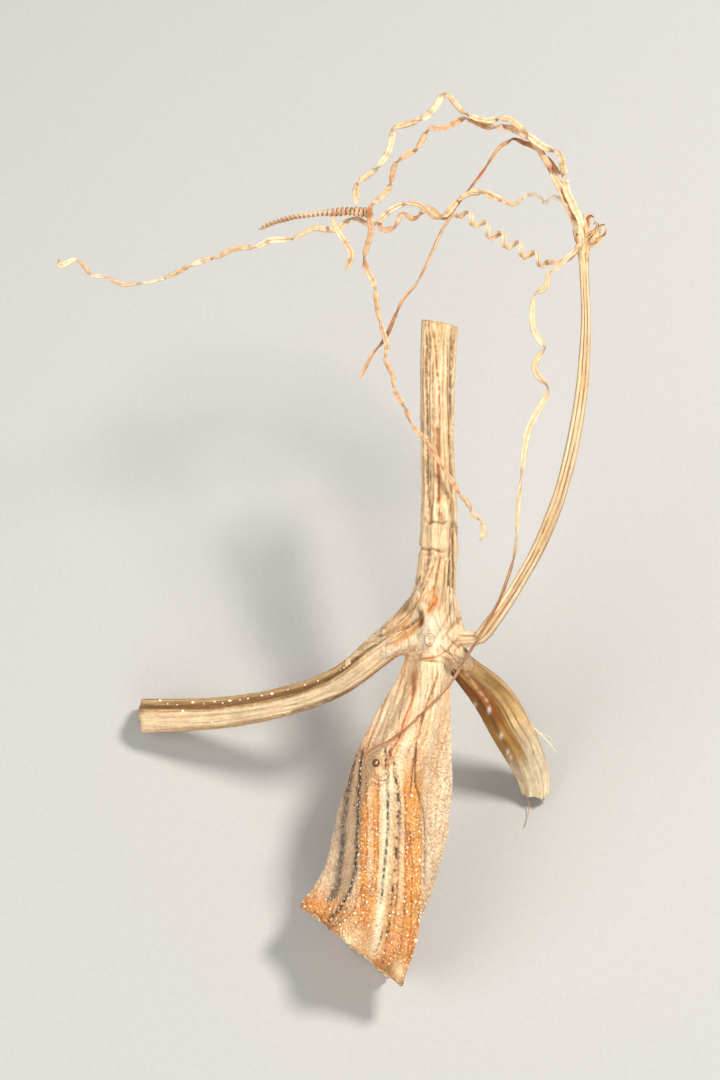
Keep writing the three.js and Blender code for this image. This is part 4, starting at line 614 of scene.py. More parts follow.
PED_LINES = [  # plan line, half width, colour, strength, depth, speckle
    ([(362, 742), (359.5, 760), (357.5, 800), (356.5, 845), (355, 870), (349, 892), (339, 908), (327, 922), (322, 927)], 2.1, srgb(40, 28, 20), 1.0, 0.34, 0.3),
    ([(356, 735), (351, 765), (346.5, 790), (341.5, 840), (338, 880), (331, 897), (323, 906)], 4.4, srgb(82, 78, 78), 0.92, 0.32, 0.35),
    ([(387.5, 768), (387.5, 790), (386.5, 820), (384.5, 870), (380.5, 908), (377.5, 926), (375.5, 956)], 5.2, srgb(250, 238, 204), 1.0, -0.30, 0.0),
    ([(385, 742), (386.5, 770), (387.8, 800), (388, 825), (385.5, 860), (382, 892), (379.5, 908)], 1.6, srgb(82, 72, 54), 1.0, 0.36, 0.55),
    ([(388, 742), (393, 762), (398, 790), (398, 825), (395.5, 860), (392, 890), (390, 912), (387, 940)], 2.2, srgb(58, 38, 24), 0.95, 0.26, 0.75),
    ([(398, 770), (402.5, 800), (402.8, 840), (401, 880), (399, 915)], 1.7, srgb(242, 206, 160), 0.75, -0.14, 0.3),
    ([(417, 664), (414, 690), (410, 715), (403, 735), (396, 752), (389, 768)], 1.5, srgb(204, 138, 78), 0.65, 0.22, 0.3),
    ([(432, 664), (432, 700), (426, 735), (415, 760), (405, 785), (401, 800)], 1.3, srgb(206, 140, 80), 0.65, 0.20, 0.3),
    ([(428, 662), (427, 690), (421, 720), (411, 745), (403, 765)], 0.9, srgb(150, 96, 50), 0.5, 0.12, 0.7),
    ([(403, 672), (396, 695), (386, 718), (377, 738), (370, 752)], 1.0, srgb(214, 160, 112), 0.55, 0.12, 0.4),
    ([(410, 668), (402, 697), (392, 722), (381, 745), (372, 768), (368, 795)], 0.9, srgb(222, 172, 122), 0.5, 0.10, 0.4),
    ([(441, 672), (441, 715), (438, 755), (436, 800), (434, 850)], 1.0, srgb(206, 152, 100), 0.5, 0.10, 0.4),
    ([(446, 690), (446.5, 740), (446, 790), (443, 830)], 0.9, srgb(222, 178, 132), 0.5, 0.08, 0.4),
    # dark line where the front right rib meets the right rib: painted shade at the edge, over a real groove
    ([(416, 742), (415, 765), (416, 784), (421, 800), (424.5, 812), (425.5, 850), (424.5, 890)], 1.3, srgb(96, 62, 34), 0.75, 0.35, 0.2),
    ([(366, 905), (358, 925), (349, 938)], 1.0, srgb(150, 84, 32), 0.6, 0.16, 0.4),
    ([(413.5, 667), (411, 700), (399, 738), (391.5, 752), (386, 772)], 1.5, srgb(190, 106, 38), 0.95, 0.42, 0.2),
    ([(438.8, 668), (434, 684), (425, 708), (416, 741), (411.8, 775), (410, 800)], 1.1, srgb(150, 88, 42), 0.85, 0.36, 0.5),
    ([(397, 674), (382, 707), (369, 741), (362, 760)], 1.3, srgb(200, 132, 88), 0.75, 0.32, 0.3),
    ([(404, 676), (394, 704), (383, 730), (376, 745)], 1.8, srgb(250, 232, 202), 0.7, -0.20, 0.2),
    ([(425, 676), (420, 704), (409, 738), (401, 760)], 1.8, srgb(250, 234, 204), 0.7, -0.22, 0.2),
    ([(443, 690), (437, 720), (430, 760), (428, 790)], 1.6, srgb(250, 234, 206), 0.6, -0.16, 0.4),
    ([(408, 820), (412, 860), (411, 905)], 0.9, srgb(156, 84, 26), 0.7, 0.16, 0.5),
    ([(400, 800), (398.5, 850), (397.5, 890), (394, 930)], 0.9, srgb(130, 76, 34), 0.7, 0.18, 0.6),
    ([(383, 930), (376, 950), (372, 960)], 1.1, srgb(130, 70, 26), 0.7, 0.18, 0.3),
    ([(357, 905), (344, 920), (334, 926), (322, 926)], 1.2, srgb(86, 50, 26), 0.75, 0.22, 0.4),
    ([(388, 925), (385, 948), (382, 966)], 1.1, srgb(120, 66, 26), 0.7, 0.18, 0.5),
    ([(404, 905), (403, 930), (399, 955), (395, 972)], 1.0, srgb(150, 84, 32), 0.6, 0.16, 0.4),
    ([(330, 905), (323, 915), (318, 923)], 1.3, srgb(120, 66, 30), 0.6, 0.15, 0.3),
    ([(405, 790), (406, 840), (405, 880), (404, 920)], 0.9, srgb(130, 70, 28), 0.7, 0.14, 0.5),
    ([(366, 770), (367, 810), (367, 850), (363, 885), (352, 910)], 0.9, srgb(140, 76, 30), 0.7, 0.14, 0.5),
    ([(378.5, 770), (378.5, 820), (378, 860), (374, 895)], 0.9, srgb(130, 70, 28), 0.7, 0.14, 0.5),
    ([(394, 745), (402, 700), (406, 680)], 0.8, srgb(190, 124, 70), 0.6, 0.14, 0.4),
    ([(377, 760), (388, 722), (398, 690), (404, 668)], 0.8, srgb(200, 138, 84), 0.6, 0.14, 0.4),
    ([(421, 668), (420, 700), (415, 730)], 0.8, srgb(190, 124, 70), 0.6, 0.14, 0.4),
    ([(437, 668), (437, 700), (433, 740), (430, 780)], 0.8, srgb(200, 138, 84), 0.55, 0.14, 0.4),
    ([(348, 905), (338, 920), (328, 930)], 0.9, srgb(150, 84, 34), 0.6, 0.14, 0.4),
    ([(412, 900), (411, 930), (407, 960)], 0.8, srgb(150, 84, 30), 0.6, 0.14, 0.4),
    ([(373, 800), (375, 850), (372, 885), (366, 905)], 0.8, srgb(176, 98, 38), 0.6, 0.10, 0.5),
]
col = np.broadcast_to(srgb(244, 216, 174), PH.shape + (3,)).copy()
big = fbm(aroundmm * 0.16, alongmm * 0.07, 0.0, 201, 3)
col = mix(col, srgb(252, 234, 200), smooth(0.45, 0.7, big) * 0.7)
col = mix(col, srgb(232, 192, 146), smooth(0.5, 0.28, big) * 0.6)
stria = vnoise(aroundmm * 2.6, alongmm * 0.12, 0.0, 203)
stria2 = vnoise(aroundmm * 5.5, alongmm * 0.3, 0.0, 204)
col = mix(col, srgb(206, 148, 94), smooth(0.60, 0.88, stria) * 0.45)
col = mix(col, srgb(176, 112, 58), smooth(0.80, 0.95, stria2) * 0.45)
# pinkish grain, finer and paler towards the node
gr = vnoise(aroundmm * 3.2, alongmm * 3.2, 0.0, 207)
gr2 = vnoise(aroundmm * 5.2, alongmm * 5.2, 0.0, 208)
grain_zone = smooth(0.10, 0.35, down)
col = mix(col, WHITE, smooth(0.62, 0.85, gr) * 0.5 * grain_zone)
col = mix(col, srgb(206, 150, 108), smooth(0.38, 0.18, gr) * 0.45 * grain_zone)
# orange skin: two bands in front, and the flare at the fruit end all round
low = smooth(0.76, 0.93, down + 0.06 * (big - 0.5))
ob1 = smooth(357.5, 360.5, px) * smooth(381, 378, px) * smooth(738, 812, py) * front
ob1 = ob1 * (1 - 0.55 * smooth(366, 368.5, px) * smooth(375, 373, px) * smooth(905, 860, py))
ob2 = smooth(401, 405.5, px) * smooth(427, 424, px) * smooth(742, 800, py) * front * smooth(2.35, 2.2, PH)
back_band = (1 - front) * smooth(0.45, 0.8, down) * smooth(0.35, 0.75, np.abs(((PH + 0.5) % 1) - 0.5) * 2) * 0.75
allof = (0.40 * smooth(790, 860, py) + 0.50 * smooth(860, 925, py)) * front * smooth(0.85, 1.0, PH) * smooth(2.3, 2.15, PH)
orange = np.clip(np.maximum.reduce([ob1, ob2, allof, low * 0.9, back_band]), 0, 1)
ocol = mix(np.broadcast_to(srgb(222, 148, 54), PH.shape + (3,)).copy(), srgb(198, 112, 24), smooth(0.5, 0.75, fbm(aroundmm * 0.7, alongmm * 0.3, 0.0, 211, 3)) * 0.8)
ocol = mix(ocol, srgb(232, 172, 82), smooth(0.55, 0.3, fbm(aroundmm * 0.9, alongmm * 0.4, 2.0, 212, 3)) * 0.7)
ocol = mix(ocol, srgb(150, 78, 26), smooth(0.35, 0.12, gr) * 0.5)
deep = smooth(0.84, 0.97, down) * (1 - 0.4 * smooth(0.45, 0.65, big))
ocol = mix(ocol, srgb(208, 116, 14), deep * 0.85)
col = col + (ocol - col) * (orange * (0.70 + 0.3 * smooth(0.3, 0.6, gr2)))[..., None]
# left face: grey violet under a thin bloom; its darker tint is partly that colour and partly painted shade
lf = smooth(0.98, 0.80, PH) * smooth(-0.1, 0.12, PH) * smooth(0.12, 0.4, down) * smooth(0.93, 0.80, down)
col = mix(col, srgb(206, 172, 136), lf * 0.5)
lfo = smooth(0.98, 0.85, PH) * smooth(-0.3, 0.0, PH) * smooth(0.80, 0.93, down)
col = mix(col, srgb(226, 156, 84), lfo * 0.8)
# right rib: pale, grainy, tan towards the fruit end
rr_ = smooth(2.2, 2.35, PH) * smooth(3.6, 3.3, PH) * smooth(0.6, 0.95, down)
col = mix(col, srgb(196, 146, 92), rr_ * 0.5)
disp = 0.30 * (gr - 0.5) * grain_zone + 0.15 * (gr2 - 0.5) + 0.22 * (stria - 0.5) + 0.30 * (big - 0.5)
for k, (pts, w, c, st, dep, sp) in enumerate(PED_LINES):
    wob = 1.4 * (vnoise(alongmm * 0.6, k * 3.1, 0.0, 220) - 0.5)
    dist, al = stroke_dist(px + wob, py, pts)
    fr = smooth(-0.25, 0.05, PN[..., 2])
    e = np.exp(-(dist / w) ** 2) * fr * smooth(0, 0.06, al) * smooth(1.0, 0.95, al)
    brk = 1 - sp * smooth(0.35, 0.6, vnoise(aroundmm * 2.2, alongmm * 1.6, k * 2.0, 221))
    col = mix(col, c, e * st * brk)
    disp = disp - dep * e
# valleys and crests away from the front
vb = (1 - smooth(0.0, 0.35, PN[..., 2]))
for k, (pc, wph, c, st, dep) in enumerate([(2.5, 0.05, BROWN, 0.7, 0.35), (2.75, 0.03, TAN, 0.6, 0.12), (3.2, 0.035, AMBER, 0.5, 0.14), (3.5, 0.05, BROWN, 0.7, 0.35), (3.8, 0.03, srgb(98, 88, 80), 0.6, 0.14), (4.0, 0.04, BRIGHT, 0.6, -0.15), (4.25, 0.035, AMBER, 0.6, 0.16), (4.5, 0.05, DARK, 0.6, 0.35), (-0.5, 0.05, DARK, 0.6, 0.35), (-0.25, 0.04, srgb(98, 88, 80), 0.7, 0.15), (3.0, 0.04, BRIGHT, 0.5, -0.12)]):
    wob = 0.03 * (vnoise(alongmm * 0.25, k * 3.7, 0.0, 230) - 0.5)
    e = np.exp(-((PH - pc - wob) / wph) ** 2) * vb * smooth(0.03, 0.12, down)
    brk = 0.5 + 0.5 * smooth(0.25, 0.6, vnoise(aroundmm * 1.8, alongmm * 1.2, k * 2.0, 231))
    col = mix(col, c, e * st * brk)
    disp = disp - dep * e
grr = smooth(2.15, 2.35, PH) * smooth(3.3, 3.0, PH) * smooth(0.12, 0.3, down) * smooth(-0.2, 0.1, PN[..., 2] + 0.4)
col = mix(col, srgb(190, 134, 96), grr * smooth(0.42, 0.22, gr) * 0.34 * smooth(0.3, 0.6, big))
col = mix(col, srgb(252, 240, 220), grr * smooth(0.58, 0.78, gr) * 0.45)
disp = disp + grr * 0.12 * (gr - 0.5)
# dark flecks
fl = vnoise(aroundmm * 3.8, alongmm * 2.6, 7.0, 240)
col = mix(col, srgb(70, 44, 26), smooth(0.9, 0.97, fl) * 0.6 * smooth(0.2, 0.4, down))
# the fruit end: torn skin, pale pith showing through at the rim
rim = smooth(0.955, 0.995, down)
torn = fbm(aroundmm * 0.45, alongmm * 0.45, 0.0, 251, 3)
col = mix(col, srgb(150, 86, 34), rim * smooth(0.35, 0.6, torn) * 0.6)
for (cx_, cy_, rx_, ry_, c_, s_) in [(352, 938, 13, 10, srgb(250, 232, 190), 0.95), (368, 950, 9, 7, srgb(250, 230, 186), 0.7), (400, 972, 7, 12, srgb(240, 222, 176), 0.8), (372, 955, 6, 5, srgb(244, 226, 182), 0.7), (306, 912, 4, 3, srgb(148, 158, 118), 0.8), (388, 970, 5, 4, srgb(120, 120, 84), 0.7), (346, 925, 14, 8, srgb(236, 208, 160), 0.45)]:
    e = np.exp(-(((px - cx_) / rx_) ** 2 + ((py - cy_) / ry_) ** 2)) * smooth(0.0, 0.2, PN[..., 2] + 0.3)
    col = mix(col, c_, e * s_ * (0.6 + 0.4 * smooth(0.35, 0.6, torn)))
disp = disp + rim * 0.7 * (torn - 0.5)
# close to the node the skin runs in under the crown
disp = disp * smooth(0.0, 0.03, down) - 0.7 * smooth(0.035, 0.0, down)
tip_dir = (PC[-1] - PC[-12]); tip_dir /= np.linalg.norm(tip_dir)
ragged = 1.5 * (fbm(aroundmm[-1] * 0.35, 3.0, 0.0, 255, 4) - 0.5) + 0.8 * (vnoise(aroundmm[-1] * 1.3, 0.0, 0.0, 256) - 0.5)
ragged = ragged * np.ones((NU, 1)) * smooth(0.93, 1.0, down)
ragged[:, -1] = ragged[:, 0]
PVd = PV + PN * disp[..., None] + tip_dir * ragged[..., None]
pfib = np.stack([aroundmm, alongmm, np.zeros_like(PH)], axis=-1)

rib_nodes = ["peduncle_rib_left", "peduncle_rib_front_left", "peduncle_rib_front_right", "peduncle_rib_right", "peduncle_rib_rear"]
END_N = 26
for i in range(5):
    c0, c1 = i * NP, (i + 1) * NP
    outer = PVd[:, c0:c1 + 1]
    ci = col[:, c0:c1 + 1]
    fi = pfib[:, c0:c1 + 1]
    mo = outer.shape[1]
    inner_idx = np.linspace(0, mo - 1, 24).round().astype(int)
    inner = PC[:, None] + (PV[:, c0:c1 + 1][:, inner_idx] - PC[:, None]) * 0.60
    # the fruit end face, from the skin in to the room of the core
    mesh = Mesh()
    mi = len(inner_idx)
    ring_n = mo + mi
    rings = np.concatenate([outer, inner[:, ::-1]], axis=1)
    cring = np.concatenate([ci, np.broadcast_to(srgb(226, 200, 150), (NU, mi, 3))], axis=1)
    fring = np.concatenate([fi, fi[:, inner_idx][:, ::-1]], axis=1)
    # end face: interpolate outer arc to inner arc
    g = np.linspace(0, 1, END_N)[1:, None, None]
    inner_full = PC[-1] + (PV[-1, c0:c1 + 1] - PC[-1]) * 0.60
    endV = outer[-1][None] * (1 - g) + inner_full[None] * g
    nrm = np.cross(TIPS[-1][2] - TIPS[-1][0], TIPS[-1][4] - TIPS[-1][0]); nrm /= np.linalg.norm(nrm)
    if nrm[1] > 0:
        nrm = -nrm
    gx, gy = endV @ np.array([0.78, -0.625, 0]), endV[..., 2]
    pit = fbm(gx * 1.1, gy * 1.1, 0.0, 260, 4)
    endV = endV + nrm * ((pit - 0.62) * 0.8 * np.sin(np.pi * np.clip(g[..., 0] * 0.9 + 0.05, 0, 1)))[..., None]
    ec = mix(np.broadcast_to(srgb(226, 190, 132), endV.shape[:2] + (3,)).copy(), srgb(160, 100, 46), smooth(0.5, 0.3, pit) * 0.8)
    ec = mix(ec, srgb(250, 234, 192), smooth(0.52, 0.68, pit) * 0.8)
    ec = mix(ec, srgb(168, 96, 40), (1 - smooth(0.0, 0.10, g[..., 0] * np.ones(endV.shape[:2]))) * 0.8)
    ringd = bump(g[..., 0] * np.ones(endV.shape[:2]), 0.38, 0.06) * smooth(0.4, 0.6, vnoise(gx * 0.9, gy * 0.9, 3.0, 262))
    ec = mix(ec, srgb(120, 70, 34), ringd * 0.8)
    V = np.concatenate([rings.reshape(-1, 3), endV.reshape(-1, 3)])
    Cc = np.concatenate([cring.reshape(-1, 3), ec.reshape(-1, 3)])
    Ff = np.concatenate([fring.reshape(-1, 3), np.stack([gx, gy, np.full_like(gx, 5.0)], axis=-1).reshape(-1, 3)])
    faces = [grid_faces(NU, ring_n)]
    base0 = NU * ring_n
    lastrow = (NU - 1) * ring_n + np.arange(mo)
    idx = np.vstack([lastrow[None], base0 + np.arange((END_N - 1) * mo).reshape(END_N - 1, mo)])
    a_, b_ = idx[:-1, :-1], idx[:-1, 1:]
    c_, d_ = idx[1:, 1:], idx[1:, :-1]
    faces.append(np.stack([a_, b_, c_, d_], axis=-1).reshape(-1, 4))
    top = np.arange(ring_n)
    V = np.vstack([V, V[top].mean(0)[None]]); Cc = np.vstack([Cc, CREAM[None]]); Ff = np.vstack([Ff, np.zeros((1, 3))])
    faces.append(fan(top, len(V) - 1, flip=True))
    mesh.add(V, faces, Cc, Ff)
    ob = mesh.build("fruit_stalk_" + rib_nodes[i][9:], M_PED, "plant", [rib_nodes[i]])

# cork scar and pith core
def end_disc(name, share, thick, node, mat, lift, colours, seed):
    ph = np.linspace(0, 5, 160, endpoint=False)
    ring, c = ped_surface(np.array([len(TIPS) - 1.0]), ph)
    ring, c = ring[0], c[0]
    nrm = np.cross(TIPS[-1][2] - TIPS[-1][0], TIPS[-1][4] - TIPS[-1][0]); nrm /= np.linalg.norm(nrm)
    if nrm[1] > 0:
        nrm = -nrm
    ring = ring - nrm * ((ring - c) @ nrm)[:, None]
    rows, cols = [], []
    for z, sh in [(thick, share * 0.98), (thick * 0.4, share)]:
        rows.append(c + (ring - c) * sh - nrm * z); cols.append(np.broadcast_to(colours[0], (160, 3)))
    for g in np.linspace(0, 0.97, 30):
        R_ = c + (ring - c) * share * (1 - g)
        gx, gy = R_ @ np.array([0.78, -0.625, 0]), R_[:, 2]
        pit = fbm(gx * 1.4, gy * 1.4, 0.0, seed, 4)
        dome = -0.35 + 0.5 * (pit - 0.5) - 0.5 * bump(g, 0.55, 0.12)
        rows.append(R_ + nrm * (lift + dome * smooth(0.0, 0.15, g))[:, None])
        cc = mix(np.broadcast_to(colours[0], (160, 3)).copy(), colours[1], smooth(0.5, 0.3, pit))
        cc = mix(cc, colours[2], smooth(0.55, 0.7, pit) * 0.8)
        cols.append(mix(cc, srgb(110, 72, 38), np.full(160, bump(g, 0.55, 0.07)) * smooth(0.3, 0.6, vnoise(ph * 2.5, g, 0.0, seed + 1)) * 0.7))
    W = np.stack(rows); nr = len(rows)
    mesh = Mesh()
    allV = np.vstack([W.reshape(-1, 3), W[0].mean(0)[None], W[-1].mean(0)[None]])
    f = [grid_faces(nr, 160), fan(np.arange(160), nr * 160, flip=True), fan(np.arange(160) + (nr - 1) * 160, nr * 160 + 1)]
    fib_ = np.stack([allV @ np.array([0.78, -0.625, 0]), allV[:, 2], np.zeros(len(allV))], axis=-1)
    mesh.add(allV, f, np.vstack([np.stack(cols).reshape(-1, 3), colours[0][None], colours[1][None]]), fib_)
    return mesh.build(name, mat, "plant", [node])
end_disc("fruit_stalk_scar", 0.595, 1.6, "peduncle_scar", M_PITH, 0.0, [srgb(230, 204, 150), srgb(170, 118, 64), srgb(248, 232, 192)], 270)
node_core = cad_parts["peduncle_core"]
core_ring, core_c = ped_surface(np.linspace(0.6, len(TIPS) - 1.25, 60), np.linspace(0, 5, 90, endpoint=False))
core = core_c[:, None] + (core_ring - core_c[:, None]) * 0.5 * (1 + 0.05 * (vnoise(np.linspace(0, 40, 60)[:, None], np.linspace(0, 30, 90)[None], 0.0, 280) - 0.5))[..., None]
mesh = Mesh()
allV = np.vstack([core.reshape(-1, 3), core[0].mean(0)[None], core[-1].mean(0)[None]])
mesh.add(allV, [grid_faces(60, 90), fan(np.arange(90), 5400, flip=True), fan(np.arange(90) + 59 * 90, 5401)], srgb(232, 212, 166),
         np.stack([allV[:, 0] * 2, allV[:, 1], allV[:, 2] * 2], axis=-1))
mesh.build("fruit_stalk_pith", M_PITH, "plant", ["peduncle_core"])

# ---------------------------------------------------------------- waxy bumps
def ico(sub=1):
    import bmesh
    bm = bmesh.new()
    bmesh.ops.create_icosphere(bm, subdivisions=sub, radius=1.0)
    v = np.array([x.co[:] for x in bm.verts]); f = np.array([[x.index for x in q.verts] for q in bm.faces])
    bm.free()
    return v, f
ICO_V, ICO_F = ico(2)

def scatter(weight, count, spacing, rng):
    """Grid indices drawn by weight, no two nearer than spacing (mm)."""
    w = weight.ravel() / weight.sum()
    pick = rng.choice(weight.size, size=min(count * 6, int((w > 0).sum())), replace=False, p=w)
    pts = PVd.reshape(-1, 3)[pick]
    kept, cell = [], {}
    for k, p in zip(pick, pts):
        key = tuple(np.floor(p / spacing).astype(int))
        near = False
        for dx in (-1, 0, 1):
            for dy in (-1, 0, 1):
                for dz in (-1, 0, 1):
                    for q in cell.get((key[0] + dx, key[1] + dy, key[2] + dz), ()):
                        if np.sum((q - p) ** 2) < spacing * spacing:
                            near = True
        if near:
            continue
        cell.setdefault(key, []).append(p)
        kept.append(k)
        if len(kept) >= count:
            break
    return np.array(kept)

def warts(name, picks, radii, colours, flat=0.62):
    mesh = Mesh()
    Pn, Nn = PVd.reshape(-1, 3), PN.reshape(-1, 3)
    vs, fs, cs = [], [], []
    for j, (k, r) in enumerate(zip(picks, radii)):
        n = Nn[k]
        h = np.array([0.3, 1.0, 0.2]) if abs(n[1]) < 0.8 else np.array([1.0, 0.2, 0.1])
        x = np.cross(h, n); x /= np.linalg.norm(x); y = np.cross(n, x)
        wob = 1 + 0.22 * (vnoise(ICO_V[:, 0] * 1.5 + j * 3.1, ICO_V[:, 1] * 1.5, ICO_V[:, 2] * 1.5, 300) - 0.5)
        q = ICO_V * wob[:, None] * r
        vs.append(Pn[k] + x * q[:, :1] + y * q[:, 1:2] * 1.15 + n * (q[:, 2:3] * flat + r * 0.18))
        fs.append(ICO_F + j * len(ICO_V))
        cs.append(np.broadcast_to(colours[j], (len(ICO_V), 3)))
    V = np.concatenate(vs)
    mesh.add(V, [np.concatenate(fs)], np.concatenate(cs), V)
    return mesh.build(name, M_WART, "plant")

# hair bases stand as pale specks along the left stub's upper ridge
mesh = Mesh()
LV = left["V"]; lx, ly = plan(LV)
lsin = np.sin(np.linspace(0, 2 * np.pi, LV.shape[1], endpoint=False))[None] * np.ones(LV.shape[:2])
for j, (dx, dy, rr_) in enumerate([(160, 701, .34), (168, 704, .2), (193, 703, .34), (183, 711, .32), (215, 702, .26), (223, 703, .2), (230, 701, .36), (240, 700, .2), (248, 699, .22), (262, 696, .24), (272, 694, .36), (288, 690, .2), (305, 685, .24), (204, 704, .16), (177, 705, .18), (318, 681, .2), (212, 722, .2), (284, 712, .18), (344, 668, .2)]):
    dd = (lx - dx) ** 2 + (ly - dy) ** 2 + 400 * (lsin < 0.15)
    k = np.unravel_index(np.argmin(dd), dd.shape)
    th_ = 2 * np.pi * k[1] / LV.shape[1]
    nrm = left["a"][k[0]] * math.cos(th_) + left["d"][k[0]] * math.sin(th_)
    wob_ = 1 + 0.3 * (vnoise(ICO_V[:, 0] * 1.5 + j * 3.1, ICO_V[:, 1] * 1.5, ICO_V[:, 2] * 1.5, 310) - 0.5)
    q = ICO_V * (rr_ * wob_)[:, None] * np.array([1.2, 0.9, 0.7])
    mesh.add(LV[k] + q + nrm * rr_ * 0.2, [ICO_F], WHITE, q)
mesh.build("hair_bases", M_WART, "plant")

ok = (down < 0.985) * (down > 0.2)
d1, al1 = stroke_dist(px, py, PED_LINES[0][0])
edge_w = np.exp(-((d1 - 0.6) / 1.0) ** 2) * front * smooth(0.05, 0.15, al1) * ok
band_w = (np.clip(ob1 + ob2 * 1.2, 0, 1) * smooth(790, 850, py) + 0.7 * front * smooth(880, 915, py) + 0.12 * ob1 + 0.1 * ob2) * ok
right_edge = np.exp(-((px - (422 - 0.06 * np.clip(py - 900, 0, 99))) / 2.5) ** 2) * smooth(840, 870, py) * smooth(960, 945, py) * front * ok
back_w = (1 - front) * smooth(0.5, 0.8, down) * smooth(0.3, 0.8, np.abs(((PH + 0.5) % 1) - 0.5) * 2) * ok
e_p = scatter(edge_w + 1e-9, 46, 1.15, RNG)
b_p = scatter(band_w + 1e-9, 300, 1.0, RNG)
s_p = scatter(band_w + 0.3 * smooth(0.25, 0.45, down) * smooth(-0.3, 0.0, PN[..., 2]) * ok + 1e-9, 800, 0.55, RNG)
r_p = scatter(right_edge + 1e-9, 16, 1.3, RNG)
k_p = scatter(back_w + 1e-9, 420, 1.1, RNG)
def tint(n, rng, lo=0.0):
    a = rng.random(n)
    return [mix(WHITE[None], srgb(232, 188, 132), np.array([x * 0.8 + lo]))[0] for x in a]
warts("stalk_edge_bumps", e_p, 0.19 + 0.10 * RNG.random(len(e_p)), tint(len(e_p), RNG, 0.1))
warts("stalk_band_bumps", b_p, 0.17 + 0.15 * RNG.random(len(b_p)) ** 2, tint(len(b_p), RNG, 0.15))
warts("stalk_fine_bumps", s_p, 0.08 + 0.08 * RNG.random(len(s_p)), tint(len(s_p), RNG, 0.2))
warts("stalk_rim_bumps", r_p, 0.32 + 0.14 * RNG.random(len(r_p)), tint(len(r_p), RNG))
warts("stalk_back_bumps", k_p, 0.12 + 0.12 * RNG.random(len(k_p)), tint(len(k_p), RNG, 0.1))

# ---------------------------------------------------------------- node crown
def tube_parts(P, r, m=40, flat=1.0):
    a, d, t = side_frames(P)
    d = d * flat
    th = np.linspace(0, 2 * np.pi, m, endpoint=False)
    r = np.broadcast_to(r, (len(P),)) if np.ndim(r) < 1 or len(np.atleast_1d(r)) == 1 else np.asarray(r)
    V = P[:, None] + a[:, None] * (r[:, None] * np.cos(th))[..., None] + d[:, None] * (r[:, None] * np.sin(th))[..., None]
    n = len(P)
    allV = np.vstack([V.reshape(-1, 3), P[0][None], P[-1][None]])
    return allV, [grid_faces(n, m, flip=True), fan(np.arange(m), n * m), fan(np.arange(m) + (n - 1) * m, n * m + 1, flip=True)]

def remeshed(parts, voxel, rounds):
    """One closed skin round several overlapping closed shells, in design millimetres."""
    me = bpy.data.meshes.new("tmp_union")
    verts, faces, n = [], [], 0
    for v, fs in parts:
        verts += v.tolist()
        for f in fs:
            faces += (f + n).tolist()
        n += len(v)
    me.from_pydata(verts, [], faces)
    import bmesh
    bm = bmesh.new(); bm.from_mesh(me)
    bmesh.ops.recalc_face_normals(bm, faces=bm.faces)
    bm.to_mesh(me); bm.free()
    ob = bpy.data.objects.new("tmp_union", me)
    bpy.context.scene.collection.objects.link(ob)
    md = ob.modifiers.new("r", "REMESH"); md.mode = "VOXEL"; md.voxel_size = voxel
    dg = bpy.context.evaluated_depsgraph_get()
    ev = ob.evaluated_get(dg).to_mesh()
    nv = len(ev.vertices)
    V = np.empty(nv * 3); ev.vertices.foreach_get("co", V); V = V.reshape(-1, 3)
    nf = len(ev.polygons)
    tot = np.empty(nf, int); ev.polygons.foreach_get("loop_total", tot)
    lv = np.empty(len(ev.loops), int); ev.loops.foreach_get("vertex_index", lv)
    st = np.empty(nf, int); ev.polygons.foreach_get("loop_start", st)
    F = lv[st[tot == 4][:, None] + np.arange(4)]
    F3 = lv[st[tot == 3][:, None] + np.arange(3)]
    E = np.empty(len(ev.edges) * 2, int); ev.edges.foreach_get("vertices", E); E = E.reshape(-1, 2)
    ob.evaluated_get(dg).to_mesh_clear()
    bpy.data.objects.remove(ob); bpy.data.meshes.remove(me)
    deg = np.bincount(E.ravel(), minlength=nv).astype(float)[:, None]
    for k in range(rounds):
        acc = np.zeros_like(V)
        np.add.at(acc, E[:, 0], V[E[:, 1]]); np.add.at(acc, E[:, 1], V[E[:, 0]])
        V = V + (acc / deg - V) * (0.6 if k % 2 == 0 else -0.32)
    return V, F, F3, E

def normals(V, F, F3):
    N = np.zeros_like(V)
    if len(F):
        fn = np.cross(V[F[:, 2]] - V[F[:, 0]], V[F[:, 3]] - V[F[:, 1]])
        for k in range(4):
            np.add.at(N, F[:, k], fn)
    if len(F3):
        fn = np.cross(V[F3[:, 1]] - V[F3[:, 0]], V[F3[:, 2]] - V[F3[:, 0]])
        for k in range(3):
            np.add.at(N, F3[:, k], fn)
    return N / (np.linalg.norm(N, axis=1, keepdims=True) + 1e-12)

def ball(c, r):
    import bmesh
    bm = bmesh.new(); bmesh.ops.create_icosphere(bm, subdivisions=4, radius=1.0)
    v = np.array([x.co[:] for x in bm.verts]) * np.array(r) + np.array(c)
    f = np.array([[x.index for x in q.verts] for q in bm.faces]); bm.free()
    return v, [f]

CR = np.array(CROWN[:3], float)
parts = [ball(CR + [0, -0.3, 0.0], [5.5, 6.5, 6.3]), ball(CR + [3.2, -3.2, 0.6], [2.8, 3.4, 3.8]), ball(CR + [-3.8, 1.5, 0.0], [3.4, 4.6, 4.4]), ball(CR + [-2.6, 4.2, -0.2], [3.2, 5.0, 4.2])]
def swept(pts, rad, **kw):
    Rs, _ = resample([list(p) + [r] for p, r in zip(pts, rad)], step=0.4)
    parts.append(tube_parts(Rs[:, :3], Rs[:, 3], **kw))
swept([(16.8, -8.2, -5.6), (14.8, -13.0, -6.4), (12.0, -16.9, -7.0), (8.6, -20.4, -7.6), (4.6, -23.9, -9.4), (0.6, -27.4, -11.8), (-3.6, -30.8, -14.4), (-7.4, -33.2, -16.8)], [2.4, 3.0, 3.2, 3.2, 3.15, 2.9, 2.2, 1.3])
